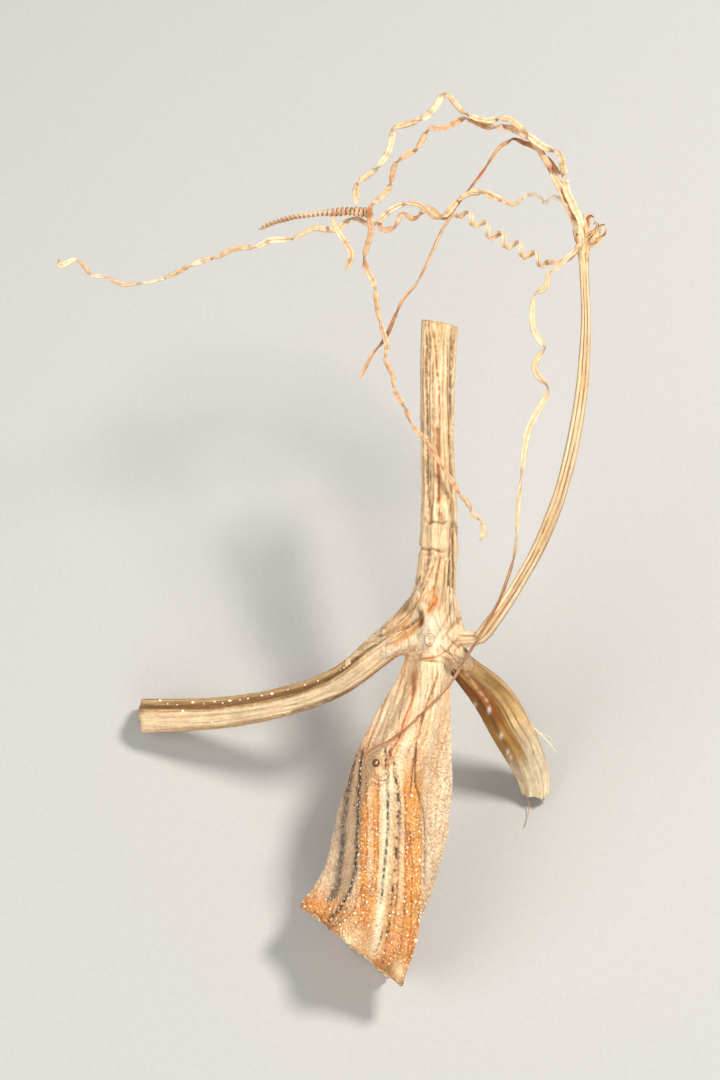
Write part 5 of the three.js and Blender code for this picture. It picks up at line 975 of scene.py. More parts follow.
swept([(18.4, -23.4, -5.4), (21.4, -25.7, -7.7), (23.8, -28.5, -11.2), (25.8, -31.2, -14.6)], [3.5, 2.85, 2.0, 0.8])
Ru, su = upper["P"], upper["s"]
k0 = int(np.searchsorted(-Ru[:, 1], 9.5)); seg = Ru[k0:]
ht = upper["hw"][k0:] + np.interp(np.arange(len(seg)), [0, len(seg) * 0.35, len(seg)], [-0.6, 0.30, 0.75])
q_ = np.linspace(0, 1, 24)[1:, None]
ext = seg[-1] * (1 - q_) + (CR + np.array([0.2, -2.6, -0.2])) * q_
parts.append(tube_parts(np.vstack([seg, ext]), np.r_[ht, ht[-1] + (4.9 - ht[-1]) * q_[:, 0]]))
Rl = left["P"]
k0 = int(np.searchsorted(Rl[:, 0], 5.0)); seg = Rl[k0:]
ht = left["hw"][k0:] + np.interp(np.arange(len(seg)), [0, len(seg) * 0.35, len(seg)], [-0.5, 0.35, 0.9])
parts.append(tube_parts(seg, ht))
cu = np.linspace(0.0, 0.55, 12)
Rv, Rc = ped_surface(cu, np.linspace(0, 5, 60, endpoint=False))
shr = np.interp(cu, [0, 0.22, 0.55], [1.10, 1.08, 0.88])
Rv = Rc[:, None] + (Rv - Rc[:, None]) * shr[:, None, None]
parts.append((np.vstack([Rv.reshape(-1, 3), Rc[:1], Rc[-1:]]), [grid_faces(12, 60), fan(np.arange(60), 720, flip=True), fan(np.arange(60) + 660, 721)]))
Rp, sp_ = resample(PETIOLE, step=0.3)
seg = Rp[:int(7.2 / 0.3)]
parts.append(tube_parts(seg[:, :3], seg[:, 3] + np.interp(np.arange(len(seg)), [0, len(seg) * 0.35, len(seg) - 1], [0.45, 0.10, -2.0]), flat=0.74))
Rf, sf = resample(FOOT_T, step=0.2)
seg = Rf[:int(4.6 / 0.2)]
q_ = np.linspace(0, 1, 14)[:-1, None]
fp = np.vstack([(CR + np.array([-1.0, 0.2, -1.2])) * (1 - q_) + seg[:1, :3] * q_, seg[:, :3]])
fr_ = np.r_[np.linspace(2.4, seg[0, 3] + 0.35, 13), seg[:, 3] + np.interp(np.arange(len(seg)), [0, len(seg) * 0.5, len(seg) - 1], [0.35, 0.18, -0.5])]
parts.append(tube_parts(fp, fr_))
swept([(20.6, -13.6, -5.4), (20.9, -17.4, -5.0), (21.7, -20.2, -4.4), (23.6, -21.9, -3.8)], [1.3, 1.8, 1.7, 0.9])
V, F, F3, E = remeshed(parts, 0.17, 70)
N = normals(V, F, F3)
if ((V - CR) * N).sum() < 0:
    N = -N
x, y = plan(V)
fr = smooth(-0.1, 0.25, N[:, 2])
col = np.broadcast_to(srgb(240, 220, 184), V.shape).copy()
b1 = fbm(V[:, 0] * 0.5, V[:, 1] * 0.25, V[:, 2] * 0.5, 401, 3)
b2 = vnoise(V[:, 0] * 2.2, V[:, 1] * 1.1, V[:, 2] * 2.2, 402)
b3 = vnoise(V[:, 0] * 5.0, V[:, 1] * 3.0, V[:, 2] * 5.0, 403)
col = mix(col, srgb(222, 190, 146), smooth(0.5, 0.3, b1) * 0.7)
col = mix(col, srgb(206, 160, 112), smooth(0.62, 0.85, b2) * 0.5)
psi = np.where(y < 588, x - 378, np.where(x < 378, y - 588, np.hypot(x - 378, y - 588)))
alo = np.where(y < 588, y - 588, np.where(x < 378, 60 + 378 - x, np.degrees(np.arctan2(y - 588, x - 378 + 1e-6)) * 0.7))
down_ = smooth(648, 662, y)
psi = psi * (1 - down_) + (x - 360) * down_
ff1 = vnoise(psi * 0.42 + 0.5 * V[:, 2], alo * 0.05, V[:, 2] * 0.25, 404)
ff2 = vnoise(psi * 0.85 + 0.5 * V[:, 2], alo * 0.10, V[:, 2] * 0.5, 405)
col = mix(col, srgb(176, 124, 74), smooth(0.56, 0.8, ff1) * 0.6)
col = mix(col, srgb(132, 84, 44), smooth(0.72, 0.9, ff2) * 0.65)
pl = smooth(654, 672, y) * smooth(454, 464, x)
pq, pr_ = (x - 452) * 0.73 - (y - 655) * 0.69, (x - 452) * 0.69 + (y - 655) * 0.73
lf1 = vnoise(pq * 0.55 + 0.3 * V[:, 2], pr_ * 0.06, 0.0, 406)
col = mix(col, mix(np.broadcast_to(srgb(176, 132, 78), V.shape).copy(), srgb(226, 196, 146), smooth(0.45, 0.7, lf1)), pl * 0.85)
# painted highlight: a pale patch on the crown's front, thinner where the fibres run
crown_highlight = np.exp(-(((x - 434) / 15) ** 2 + ((y - 632) / 22) ** 4)) * fr * (1 - 0.5 * smooth(0.6, 0.8, ff1))
col = mix(col, srgb(252, 242, 220), crown_highlight * 0.75)
disp = 0.05 + 0.30 * (b1 - 0.5) + 0.10 * (b2 - 0.5) + 0.08 * (b3 - 0.5) - 0.16 * (smooth(0.5, 0.85, ff1) - 0.3) - 0.10 * smooth(0.65, 0.9, ff2)
CROWN_LINES = [
    ([(437, 588), (435, 597), (431, 607), (424, 618), (414, 629), (404, 637), (396, 643)], 3.4, srgb(222, 148, 50), 0.85, -0.14),
    ([(438, 592), (436, 601), (431, 610)], 2.6, srgb(206, 118, 26), 0.75, -0.12),
    ([(436, 589), (427, 593), (418, 601), (411, 611), (406, 623), (401, 634)], 2.0, srgb(230, 164, 70), 0.75, -0.05),
    ([(437, 589), (436.5, 595)], 1.6, srgb(120, 66, 22), 0.8, 0.2),
    ([(433, 604), (428, 612), (424, 617)], 0.8, BROWN, 0.6, 0.3),
    ([(450, 585), (449, 600), (450, 615), (452, 628)], 0.8, srgb(120, 72, 36), 0.7, 0.22),
    ([(453, 585), (453, 600), (455, 614), (459, 624)], 0.7, srgb(150, 92, 46), 0.7, 0.16),
    ([(446, 584), (445, 598), (446, 612), (448, 624)], 0.6, srgb(176, 116, 60), 0.6, 0.12),
    ([(425, 592), (415, 606), (404, 618), (394, 628)], 0.8, srgb(120, 74, 36), 0.65, 0.24),
    ([(418, 588), (406, 603), (394, 617), (384, 628)], 0.8, srgb(160, 106, 56), 0.6, 0.18),
    ([(412, 582), (401, 597), (390, 610), (380, 622)], 0.9, srgb(112, 72, 38), 0.6, 0.26),
    ([(424, 606), (425, 614), (427, 622), (430, 629)], 2.4, srgb(254, 244, 220), 0.65, -0.30),
    ([(428, 604), (433, 616), (440, 630), (444, 644)], 1.0, srgb(196, 146, 92), 0.55, 0.18),
    ([(416, 606), (419, 613)], 1.6, srgb(96, 62, 30), 0.7, 0.4),
    # the thick raised arm: partly the rind's cream, partly painted highlight
    ([(354, 671), (372, 662), (390, 652), (402, 646), (413, 642)], 5.0, srgb(254, 244, 220), 0.75, -0.65),
    # dark crease above the arm: painted shade, over a real groove
    ([(352, 661), (366, 652), (380, 644), (395, 635), (408, 627), (418, 619), (421, 612)], 1.7, srgb(112, 70, 32), 0.85, 0.75),
    ([(372, 650), (388, 641), (402, 633)], 1.2, srgb(220, 150, 70), 0.65, 0.05),
    ([(400, 648), (392, 656), (384, 664)], 0.8, srgb(206, 144, 82), 0.6, 0.14),
    ([(441, 595), (439, 610), (441, 624)], 0.9, TAN, 0.6, 0.15),
    ([(446, 600), (444, 615), (446, 630)], 0.8, srgb(214, 170, 120), 0.6, 0.1),
    # lines along the arm's lower edge: painted shade under the arm, over the rind's orange-brown
    ([(400, 662), (412, 661), (428, 659), (436, 657), (445, 652)], 0.9, srgb(196, 118, 48), 0.85, 0.40),
    ([(402, 664.5), (414, 664), (430, 662)], 0.7, srgb(120, 74, 38), 0.6, 0.2),
    ([(404, 630), (409, 642), (411, 652)], 0.9, srgb(200, 150, 96), 0.6, 0.15),
    ([(396, 650), (404, 655), (414, 656)], 0.9, srgb(190, 136, 84), 0.5, 0.12),
    ([(440, 646), (446, 652), (454, 656)], 0.9, srgb(190, 130, 80), 0.6, 0.2),
    ([(452, 664), (460, 662), (468, 664)], 1.0, srgb(206, 150, 104), 0.5, 0.12),
    ([(447, 634), (452, 642), (459, 648)], 1.1, srgb(176, 104, 50), 0.6, 0.25),
    ([(424, 660), (422, 668)], 0.8, srgb(190, 130, 74), 0.6, 0.15),
]
for k, (pts, w, c, st, dep) in enumerate(CROWN_LINES):
    wob = 0.9 * (vnoise(V[:, 1] * 0.9, k * 3.3, 0.0, 410) - 0.5)
    dist, al = stroke_dist(x + wob, y + wob, pts)
    e = np.exp(-(dist / w) ** 2) * fr
    col = mix(col, c, e * st * (0.6 + 0.4 * smooth(0.3, 0.6, b3)))
    disp = disp - dep * e
def spot(cx, cy, rx, ry, ang=0.0, p=2):
    c_, s_ = math.cos(math.radians(ang)), math.sin(math.radians(ang))
    dx, dy = x - cx, y - cy
    return np.exp(-(((dx * c_ + dy * s_) / rx) ** 2 + ((-dx * s_ + dy * c_) / ry) ** 2) ** (p / 2)) * fr
# the deep pit darkens inside: painted shade in the hollow, over a real dent
pit = spot(420, 622.5, 3.2, 7.0, 20, 3)
col = mix(col, srgb(92, 70, 38), pit * 0.85); disp = disp - 1.0 * pit
lip = np.clip(spot(420, 622.5, 5.2, 9.5, 20, 3) - pit, 0, 1)
col = mix(col, srgb(206, 160, 100), lip * 0.4); disp = disp + 0.25 * lip
# dark spots in the gaps between the fruit stalk, the leaf stalk and the tendril foot: painted shade
e = spot(451, 674, 1.6, 1.8); col = mix(col, DARK, e * 0.9); disp = disp - 0.25 * e
e = spot(468, 650, 4.2, 2.0, 10, 3); col = mix(col, srgb(60, 40, 26), e * 0.95); disp = disp - 0.6 * e
e = spot(463, 665, 9, 8); col = mix(col, srgb(240, 208, 176), e * 0.5)
e = spot(404, 604, 8, 16, 25); col = mix(col, srgb(196, 146, 96), e * 0.45)
# painted highlight on the same front patch
e = spot(429.6, 640, 9.5, 11.5); col = mix(col, srgb(250, 238, 214), e * 0.5)
col = mix(col, srgb(196, 150, 104), (1 - smooth(-0.4, 0.1, N[:, 2])) * 0.35)
V = V + N * disp[:, None]
mesh = Mesh()
mesh.add(V, [F] + ([F3] if len(F3) else []), col, np.stack([V[:, 0], V[:, 1] * 0.4, V[:, 2]], axis=-1))
mesh.build("node_swelling", M_RIND, "plant", ["node_crown"])
CROWN_V, CROWN_N = V, N

def surface_w(u, v, reach=1.2):
    d2 = (CROWN_V[:, 0] - u) ** 2 + (CROWN_V[:, 1] - v) ** 2
    k = (d2 < reach ** 2) & (CROWN_N[:, 2] > 0)
    return float(CROWN_V[k, 2].max()) if k.any() else 0.6

# bud scar: an oval ring with a dished middle
bx, by = float(BUD[0]), float(BUD[1])
g = np.linspace(0.0, 1.25, 46)
ph = np.linspace(0, 2 * np.pi, 96, endpoint=False)
G, PHI = np.meshgrid(g, ph, indexing="ij")
wobr = 1 + 0.06 * (vnoise(np.cos(PHI) * 1.7 + 3, np.sin(PHI) * 1.7, 0.0, 430) - 0.5) * 2
sx, sy = 1.12 * G * wobr * np.cos(PHI), 1.52 * G * wobr * np.sin(PHI)
kd = (CROWN_V[:, 0] - bx) ** 2 + (CROWN_V[:, 1] - by) ** 2 < 3.4 ** 2
kd &= CROWN_N[:, 2] > 0.2
A = np.c_[np.ones(kd.sum()), CROWN_V[kd, 0] - bx, CROWN_V[kd, 1] - by, (CROWN_V[kd, 0] - bx) ** 2, (CROWN_V[kd, 1] - by) ** 2]
cf = np.linalg.lstsq(A, CROWN_V[kd, 2], rcond=None)[0]
W0 = cf[0] + cf[1] * sx + cf[2] * sy + cf[3] * sx ** 2 + cf[4] * sy ** 2
prof = 0.08 + 0.26 * bump(G, 0.74, 0.20) - 0.10 * bump(G, 0.96, 0.07) + 0.05 * (vnoise(G * 9, PHI * 3, 0.0, 431) - 0.5) - 1.4 * smooth(1.08, 1.25, G) + 0.12
cc = np.broadcast_to(srgb(248, 234, 206), G.shape + (3,)).copy()
cc = mix(cc, srgb(124, 76, 36), bump(G, 0.95, 0.09) * (0.7 + 0.3 * smooth(0.3, 0.6, vnoise(PHI * 2.2, 0.0, 0.0, 432))) * 0.9)
cc = mix(cc, srgb(196, 140, 84), bump(G, 0.45, 0.12) * 0.45 * smooth(0.4, 0.6, vnoise(PHI * 1.5, G * 3, 0.0, 433)))
cc = mix(cc, srgb(206, 120, 48), np.exp(-((sx / 0.5) ** 2 + ((sy + 0.95) / 0.32) ** 2)) * 0.9)
cc = mix(cc, srgb(90, 60, 34), np.exp(-(((sx - 0.05) / 0.22) ** 2 + ((sy - 0.1) / 0.3) ** 2)) * 0.45)
BV = np.stack([bx + sx, by + sy, W0 + prof], axis=-1)
mesh = Mesh()
under = BV[-1] - np.array([0, 0, 0.25])
allV = np.vstack([BV.reshape(-1, 3), under, [[bx, by, cf[0] - 0.9]]])
nr, mm_ = G.shape
f1 = grid_faces(nr, mm_)
last = (nr - 1) * mm_ + np.arange(mm_); low_ = nr * mm_ + np.arange(mm_)
skirt = np.stack([last, np.roll(last, -1), np.roll(low_, -1), low_], axis=1)
mesh.add(allV, [f1, skirt, fan(low_, len(allV) - 1, flip=True)], np.vstack([cc.reshape(-1, 3), np.broadcast_to(TAN, (mm_ + 1, 3))]), np.stack([allV[:, 0] * 0.6, allV[:, 1] * 0.6, allV[:, 2]], axis=-1))
mesh.build("bud_scar_ring", M_RIND, "plant", ["bud_scar"])

# ---------------------------------------------------------------- split leaf stalk
Rp, sp_ = resample(PETIOLE, step=0.17, smooth_rounds=3)
pa, pd, ptan = side_frames(Rp[:, :3])
PETL = sp_[-1]
def leaf_half(name, side, node, seed, length, pal):
    """Crescent-shelled half of the stalk: outer skin, torn edges and a hollow face; fibres fray at the far end."""
    n = int(np.searchsorted(sp_, length))
    mo, mi_ = 110, 70
    th = np.linspace(-0.03, np.pi + 0.03, mo)
    thi = np.linspace(np.pi - 0.05, 0.05, mi_)
    P = Rp[:n, :3]; hw = Rp[:n, 3]
    sgn = 1.0 if side > 0 else -1.0
    ang_o = np.pi / 2 - sgn * th                 # from the front, round the outside, to the rear
    ang_i = np.pi / 2 - sgn * thi
    S = sp_[:n, None] * np.ones((1, mo))
    AO = np.broadcast_to(ang_o, S.shape)
    arc = AO * 3.0
    ridge = 0.10 * np.cos(9 * AO + 0.02 * S) + 0.06 * np.cos(17 * AO + 1.3 + 0.05 * S)
    lowf = fbm(arc * 0.5, S * 0.08, 0.0, seed, 3)
    fibre = vnoise(arc * 3.0, S * 0.12, 0.0, seed + 1)
    fibre2 = vnoise(arc * 6.5, S * 0.28, 0.0, seed + 2)
    flare = 1 + 0.10 * smooth(PETL * 0.75, PETL, S)
    ro = hw[:, None] * flare * (1 + ridge * 0.35) + 0.25 * (lowf - 0.5) + 0.22 * (fibre - 0.5) + 0.10 * (fibre2 - 0.5)
    depth_share = 0.72
    off = 0.10 * sgn
    def place(r, A, k, pull):
        c_, s_ = np.cos(A), np.sin(A)
        return P[k][:, None] + pa[:n][k][:, None] * ((r * c_ + off)[..., None]) + pd[:n][k][:, None] * ((r * s_ * depth_share)[..., None]) + ptan[:n][k][:, None] * pull[..., None]
    kk = np.arange(n)
    # fraying: each fibre ends at its own length
    fray = (vnoise(arc * 0.34, 0.0, 3.0, seed + 5) - 0.6) * 2.4 + (vnoise(arc * 3.4, 0.0, 4.0, seed + 6) - 0.5) * 0.5
    pull = fray * smooth(PETL * 0.80, length, S)
    VO = place(ro, AO, kk, pull)
    tipm = smooth(length - 5.0, length, S)
    AI = np.broadcast_to(ang_i, (n, mi_))
    SI = sp_[:n, None] * np.ones((1, mi_))
    ri = hw[:, None] * (0.70 + 0.08 * (vnoise(AI * 4, SI * 0.5, 0.0, seed + 8) - 0.5)) + 0.12 * (vnoise(AI * 8, SI * 0.4, 0.0, seed + 9) - 0.5)
    pulli = np.interp(np.linspace(0, 1, mi_), np.linspace(0, 1, mo), fray[-1][::-1])[None] * smooth(PETL * 0.80, length, SI)
    VI = place(ri, AI, kk, pulli - 0.2)
    x, y = plan(VO)
    co = np.broadcast_to(pal[0], VO.shape).copy()
    co = mix(co, pal[1], smooth(0.45, 0.72, lowf) * 0.8)
    co = mix(co, pal[2], smooth(0.5, 0.3, lowf) * 0.7)
    co = mix(co, pal[3], smooth(0.6, 0.85, fibre) * 0.6)
    co = mix(co, srgb(240, 220, 180), smooth(PETL * 0.50, PETL * 0.95, S) * (0.60 + 0.40 * smooth(0.4, 0.6, fibre2)) * (1.0 if sgn > 0 else smooth(PETL * 0.66, PETL * 0.9, S)))
    if sgn > 0:
        co = mix(co, srgb(150, 116, 68), smooth(PETL * 0.50, PETL * 0.16, S) * (0.40 + 0.3 * fibre))
        co = mix(co, srgb(244, 230, 198), smooth(PETL * 0.46, PETL * 0.74, S) * 0.70)
    else:
        co = mix(co, srgb(150, 86, 26), smooth(PETL * 0.08, PETL * 0.22, S) * smooth(PETL * 0.52, PETL * 0.36, S) * 0.55)
        co = mix(co, srgb(196, 152, 82), smooth(PETL * 0.42, PETL * 0.56, S) * smooth(PETL * 0.80, PETL * 0.64, S) * 0.55)
        co = mix(co, srgb(240, 226, 192), smooth(PETL * 0.62, PETL * 0.84, S) * 0.75)
    co = mix(co, srgb(120, 78, 40), smooth(0.80, 0.95, fibre2) * 0.45)
    groove = bump(ridge, -0.13, 0.035)
    co = mix(co, srgb(112, 72, 38), groove * 0.45)
    for (dx, dy, rr2) in [(475, 705, 2.2), (489, 710, 2.4), (501, 736, 2.4), (508, 752, 2.2), (511, 757, 1.8)]:
        e = np.exp(-(((x - dx) / 0.8) ** 2 + ((y - dy) / 1.4) ** 2) / rr2 ** 2)
        co = mix(co, WHITE, e * 0.9)
    dist, al = stroke_dist(x, y, [(460, 663), (468, 676), (477, 688), (487, 701)])
    co = mix(co, srgb(238, 206, 180), np.exp(-(dist / 1.5) ** 2) * 0.55 * (0.4 + 0.6 * smooth(0.4, 0.6, vnoise(S * 0.9, 3.0, 0.0, seed + 15))))
    ci_ = np.broadcast_to(srgb(196, 160, 108), VI.shape).copy()
    ci_ = mix(ci_, srgb(120, 84, 50), vnoise(AI * 5, SI * 0.3, 0.0, seed + 11) * 0.7)
    V = np.concatenate([VO, VI], axis=1)
    C_ = np.concatenate([co, ci_], axis=1)
    Fb = np.concatenate([np.stack([arc, S, np.zeros_like(S)], -1), np.stack([AI * 3, SI, np.ones_like(SI)], -1)], axis=1)
    m = mo + mi_
    mesh = Mesh()
    allV = np.vstack([V.reshape(-1, 3), V[0].mean(0)[None]])
    # the frayed end closes between skin and hollow face
    last = (n - 1) * m
    oi = last + np.arange(mo)
    ii = last + mo + np.linspace(mi_ - 1, 0, mo).round().astype(int)
    endf = np.stack([oi[:-1], oi[1:], ii[1:], ii[:-1]], axis=1)
    bad = endf[:, 2] == endf[:, 3]
    faces = [grid_faces(n, m, flip=sgn > 0), fan(np.arange(m), n * m, flip=sgn < 0), endf[~bad] if sgn > 0 else endf[~bad][:, ::-1]]
    t3_ = endf[bad][:, :3]
    faces.append(t3_ if sgn > 0 else t3_[:, ::-1])
    mesh.add(allV, faces, np.vstack([C_.reshape(-1, 3), CREAM[None]]), np.vstack([Fb.reshape(-1, 3), np.zeros((1, 3))]))
    mesh.build(name, M_LEAF, "plant", [node])
leaf_half("leaf_stalk_left", -1, "petiole_half_left", 501, PETL * 0.99, [srgb(156, 108, 50), srgb(190, 140, 76), srgb(116, 74, 34), srgb(86, 52, 24)])
leaf_half("leaf_stalk_right", 1, "petiole_half_right", 521, PETL * 0.995, [srgb(196, 162, 108), srgb(226, 196, 144), srgb(156, 118, 70), srgb(120, 86, 46)])
# pith strand of the leaf stalk
n = int(np.searchsorted(sp_, PETL - 4.0))
th = np.linspace(0, 2 * np.pi, 48, endpoint=False)
rr2 = Rp[2:n, 3][:, None] * 0.52 * (1 + 0.18 * (vnoise(sp_[2:n, None] * 0.8, th[None] * 2.2, 0.0, 540) - 0.5))
PVp = Rp[2:n, None, :3] + pa[2:n, None] * (rr2 * np.cos(th))[..., None] * 0.9 + pd[2:n, None] * (rr2 * np.sin(th) * 0.72)[..., None]
mesh = Mesh()
k = PVp.shape[0]
allV = np.vstack([PVp.reshape(-1, 3), PVp[0].mean(0)[None], (PVp[-1].mean(0) + ptan[n - 1] * 0.6)[None]])
mesh.add(allV, [grid_faces(k, 48, flip=True), fan(np.arange(48), k * 48), fan(np.arange(48) + (k - 1) * 48, k * 48 + 1, flip=True)], srgb(214, 186, 136), np.stack([allV[:, 0] * 2, allV[:, 1], allV[:, 2] * 2], -1))
mesh.build("leaf_stalk_pith", M_PITH, "plant", ["petiole_pith"])

# ---------------------------------------------------------------- hairs and loose fibres
def strand(pts, r0, r1, m=8, seed=0, step=0.25):
    R, s = resample(np.asarray(pts, float), step=step)
    X, Y, t = parallel_frames(R[:, :3])
    th = np.linspace(0, 2 * np.pi, m, endpoint=False)
    r = np.linspace(r0, r1, len(R)) * (1 + 0.25 * (vnoise(s * 1.5, seed, 0.0, 600) - 0.5))
    V = R[:, None, :3] + X[:, None] * (r[:, None] * np.cos(th))[..., None] + Y[:, None] * (r[:, None] * np.sin(th))[..., None]
    n = len(R)
    allV = np.vstack([V.reshape(-1, 3), R[:1, :3], R[-1:, :3]])
    fib = np.stack([np.concatenate([np.tile(th, n) * r0, [0, 0]]), np.concatenate([np.repeat(s, m), [0, s[-1]]]), np.full(len(allV), float(seed))], -1)
    return allV, [grid_faces(n, m, flip=True), fan(np.arange(m), n * m), fan(np.arange(m) + (n - 1) * m, n * m + 1, flip=True)], fib

def unplan(x, y, w):
    k = 2700.0 / (EYE - w)
    return [(x - 360.0) / k, (540.0 - y) / k, w]

mesh = Mesh()
# hair on the upper stub, hair from the leaf stalk's side, one thread below it
for j, (pts, r0, r1, c) in enumerate([
    ([unplan(455, 384, -1.5), unplan(457.5, 378, -1.0), unplan(460, 374, -0.6)], 0.10, 0.03, BRIGHT),
    ([unplan(534, 728, -26), unplan(541, 735, -26.5), unplan(550, 744, -27.2), unplan(557, 753, -27.8)], 0.24, 0.10, srgb(248, 234, 204)),
    ([unplan(540, 733, -26.5), unplan(549, 737, -27.0), unplan(557, 745, -27.4)], 0.15, 0.05, srgb(240, 220, 184)),
    ([unplan(527, 796, -34), unplan(529, 806, -34.4), unplan(527.5, 817, -34.2), unplan(524, 828, -33.6)], 0.13, 0.05, srgb(206, 170, 120)),
    ([unplan(453.5, 402, -1.6), unplan(457, 398, -1.0)], 0.08, 0.03, BRIGHT),
]):
    v, f, fb = strand(pts, r0, r1, seed=j)
    mesh.add(v, f, c, fb)
# fine fuzz along the stubs' ribs
for tube, deg, cnt, lo, hi in [(upper, 128, 60, 0.05, 0.95), (upper, 172, 46, 0.3, 0.98), (upper, 8, 34, 0.02, 0.9), (left, 78, 56, 0.02, 0.8), (left, -4, 60, 0.25, 0.98), (left, 176, 46, 0.2, 0.98)]:
    n = len(tube["s"])
    for j in range(cnt):
        k = int((lo + (hi - lo) * RNG.random()) * (n - 2))
        a_ = math.radians(deg + RNG.normal() * 4.0)
        nrm = tube["a"][k] * math.cos(a_) + tube["d"][k] * math.sin(a_)
        p0 = tube["P"][k] + nrm * (tube["hw"][k] * 0.97)
        Ld = 0.35 + 0.55 * RNG.random()
        side = tube["t"][k] * RNG.normal() * 0.5 + np.cross(nrm, tube["t"][k]) * RNG.normal() * 0.35
        q = [p0, p0 + nrm * Ld * 0.5 + side * Ld * 0.3, p0 + nrm * Ld + side * Ld]
        v, f, fb = strand(q, 0.045, 0.016, m=5, seed=j, step=0.2)
        mesh.add(v, f, srgb(250, 240, 216) if RNG.random() < 0.7 else srgb(196, 150, 100), fb)
# frayed fibres at the leaf stalk's torn end
for j in range(16):
    a_ = RNG.random() * 2 * np.pi
    k = len(Rp) - 1 - int(RNG.random() * 20)
    nrm = pa[k] * math.cos(a_) + pd[k] * math.sin(a_) * 0.72
    p0 = Rp[k, :3] + nrm * Rp[k, 3] * (0.75 + 0.22 * RNG.random()) - ptan[k] * 2.5
    Ld = 1.8 + 1.6 * RNG.random()
    q = [p0, p0 + ptan[k] * Ld * 0.5 + nrm * 0.12 * Ld * RNG.random(), p0 + ptan[k] * Ld + nrm * 0.25 * RNG.normal()]
    v, f, fb = strand(q, 0.13 + 0.1 * RNG.random(), 0.04, m=6, seed=j)
    mesh.add(v, f, mix(srgb(240, 220, 176)[None], srgb(170, 126, 76), np.array([RNG.random() * 0.8]))[0], fb)
# short fibres round the cut of the upper stub
for j in range(34):
    a_ = RNG.random() * 2 * np.pi
    nrm = upper["a"][0] * math.cos(a_) + upper["d"][0] * math.sin(a_)
    p0 = upper["P"][1] + nrm * upper["hw"][0] * (0.72 + 0.26 * RNG.random()) + upper["t"][0] * (0.3 + 0.62 * math.cos(a_))
    q = [p0, p0 - upper["t"][0] * (0.5 + 0.5 * RNG.random()) + nrm * 0.1 * RNG.normal()]
    q.insert(1, (q[0] + q[1]) / 2 + nrm * 0.05 * RNG.normal())
    v, f, fb = strand(q, 0.10, 0.03, m=6, seed=j)
    mesh.add(v, f, srgb(238, 216, 172), fb)
mesh.build("loose_fibres", M_TEND, "plant")

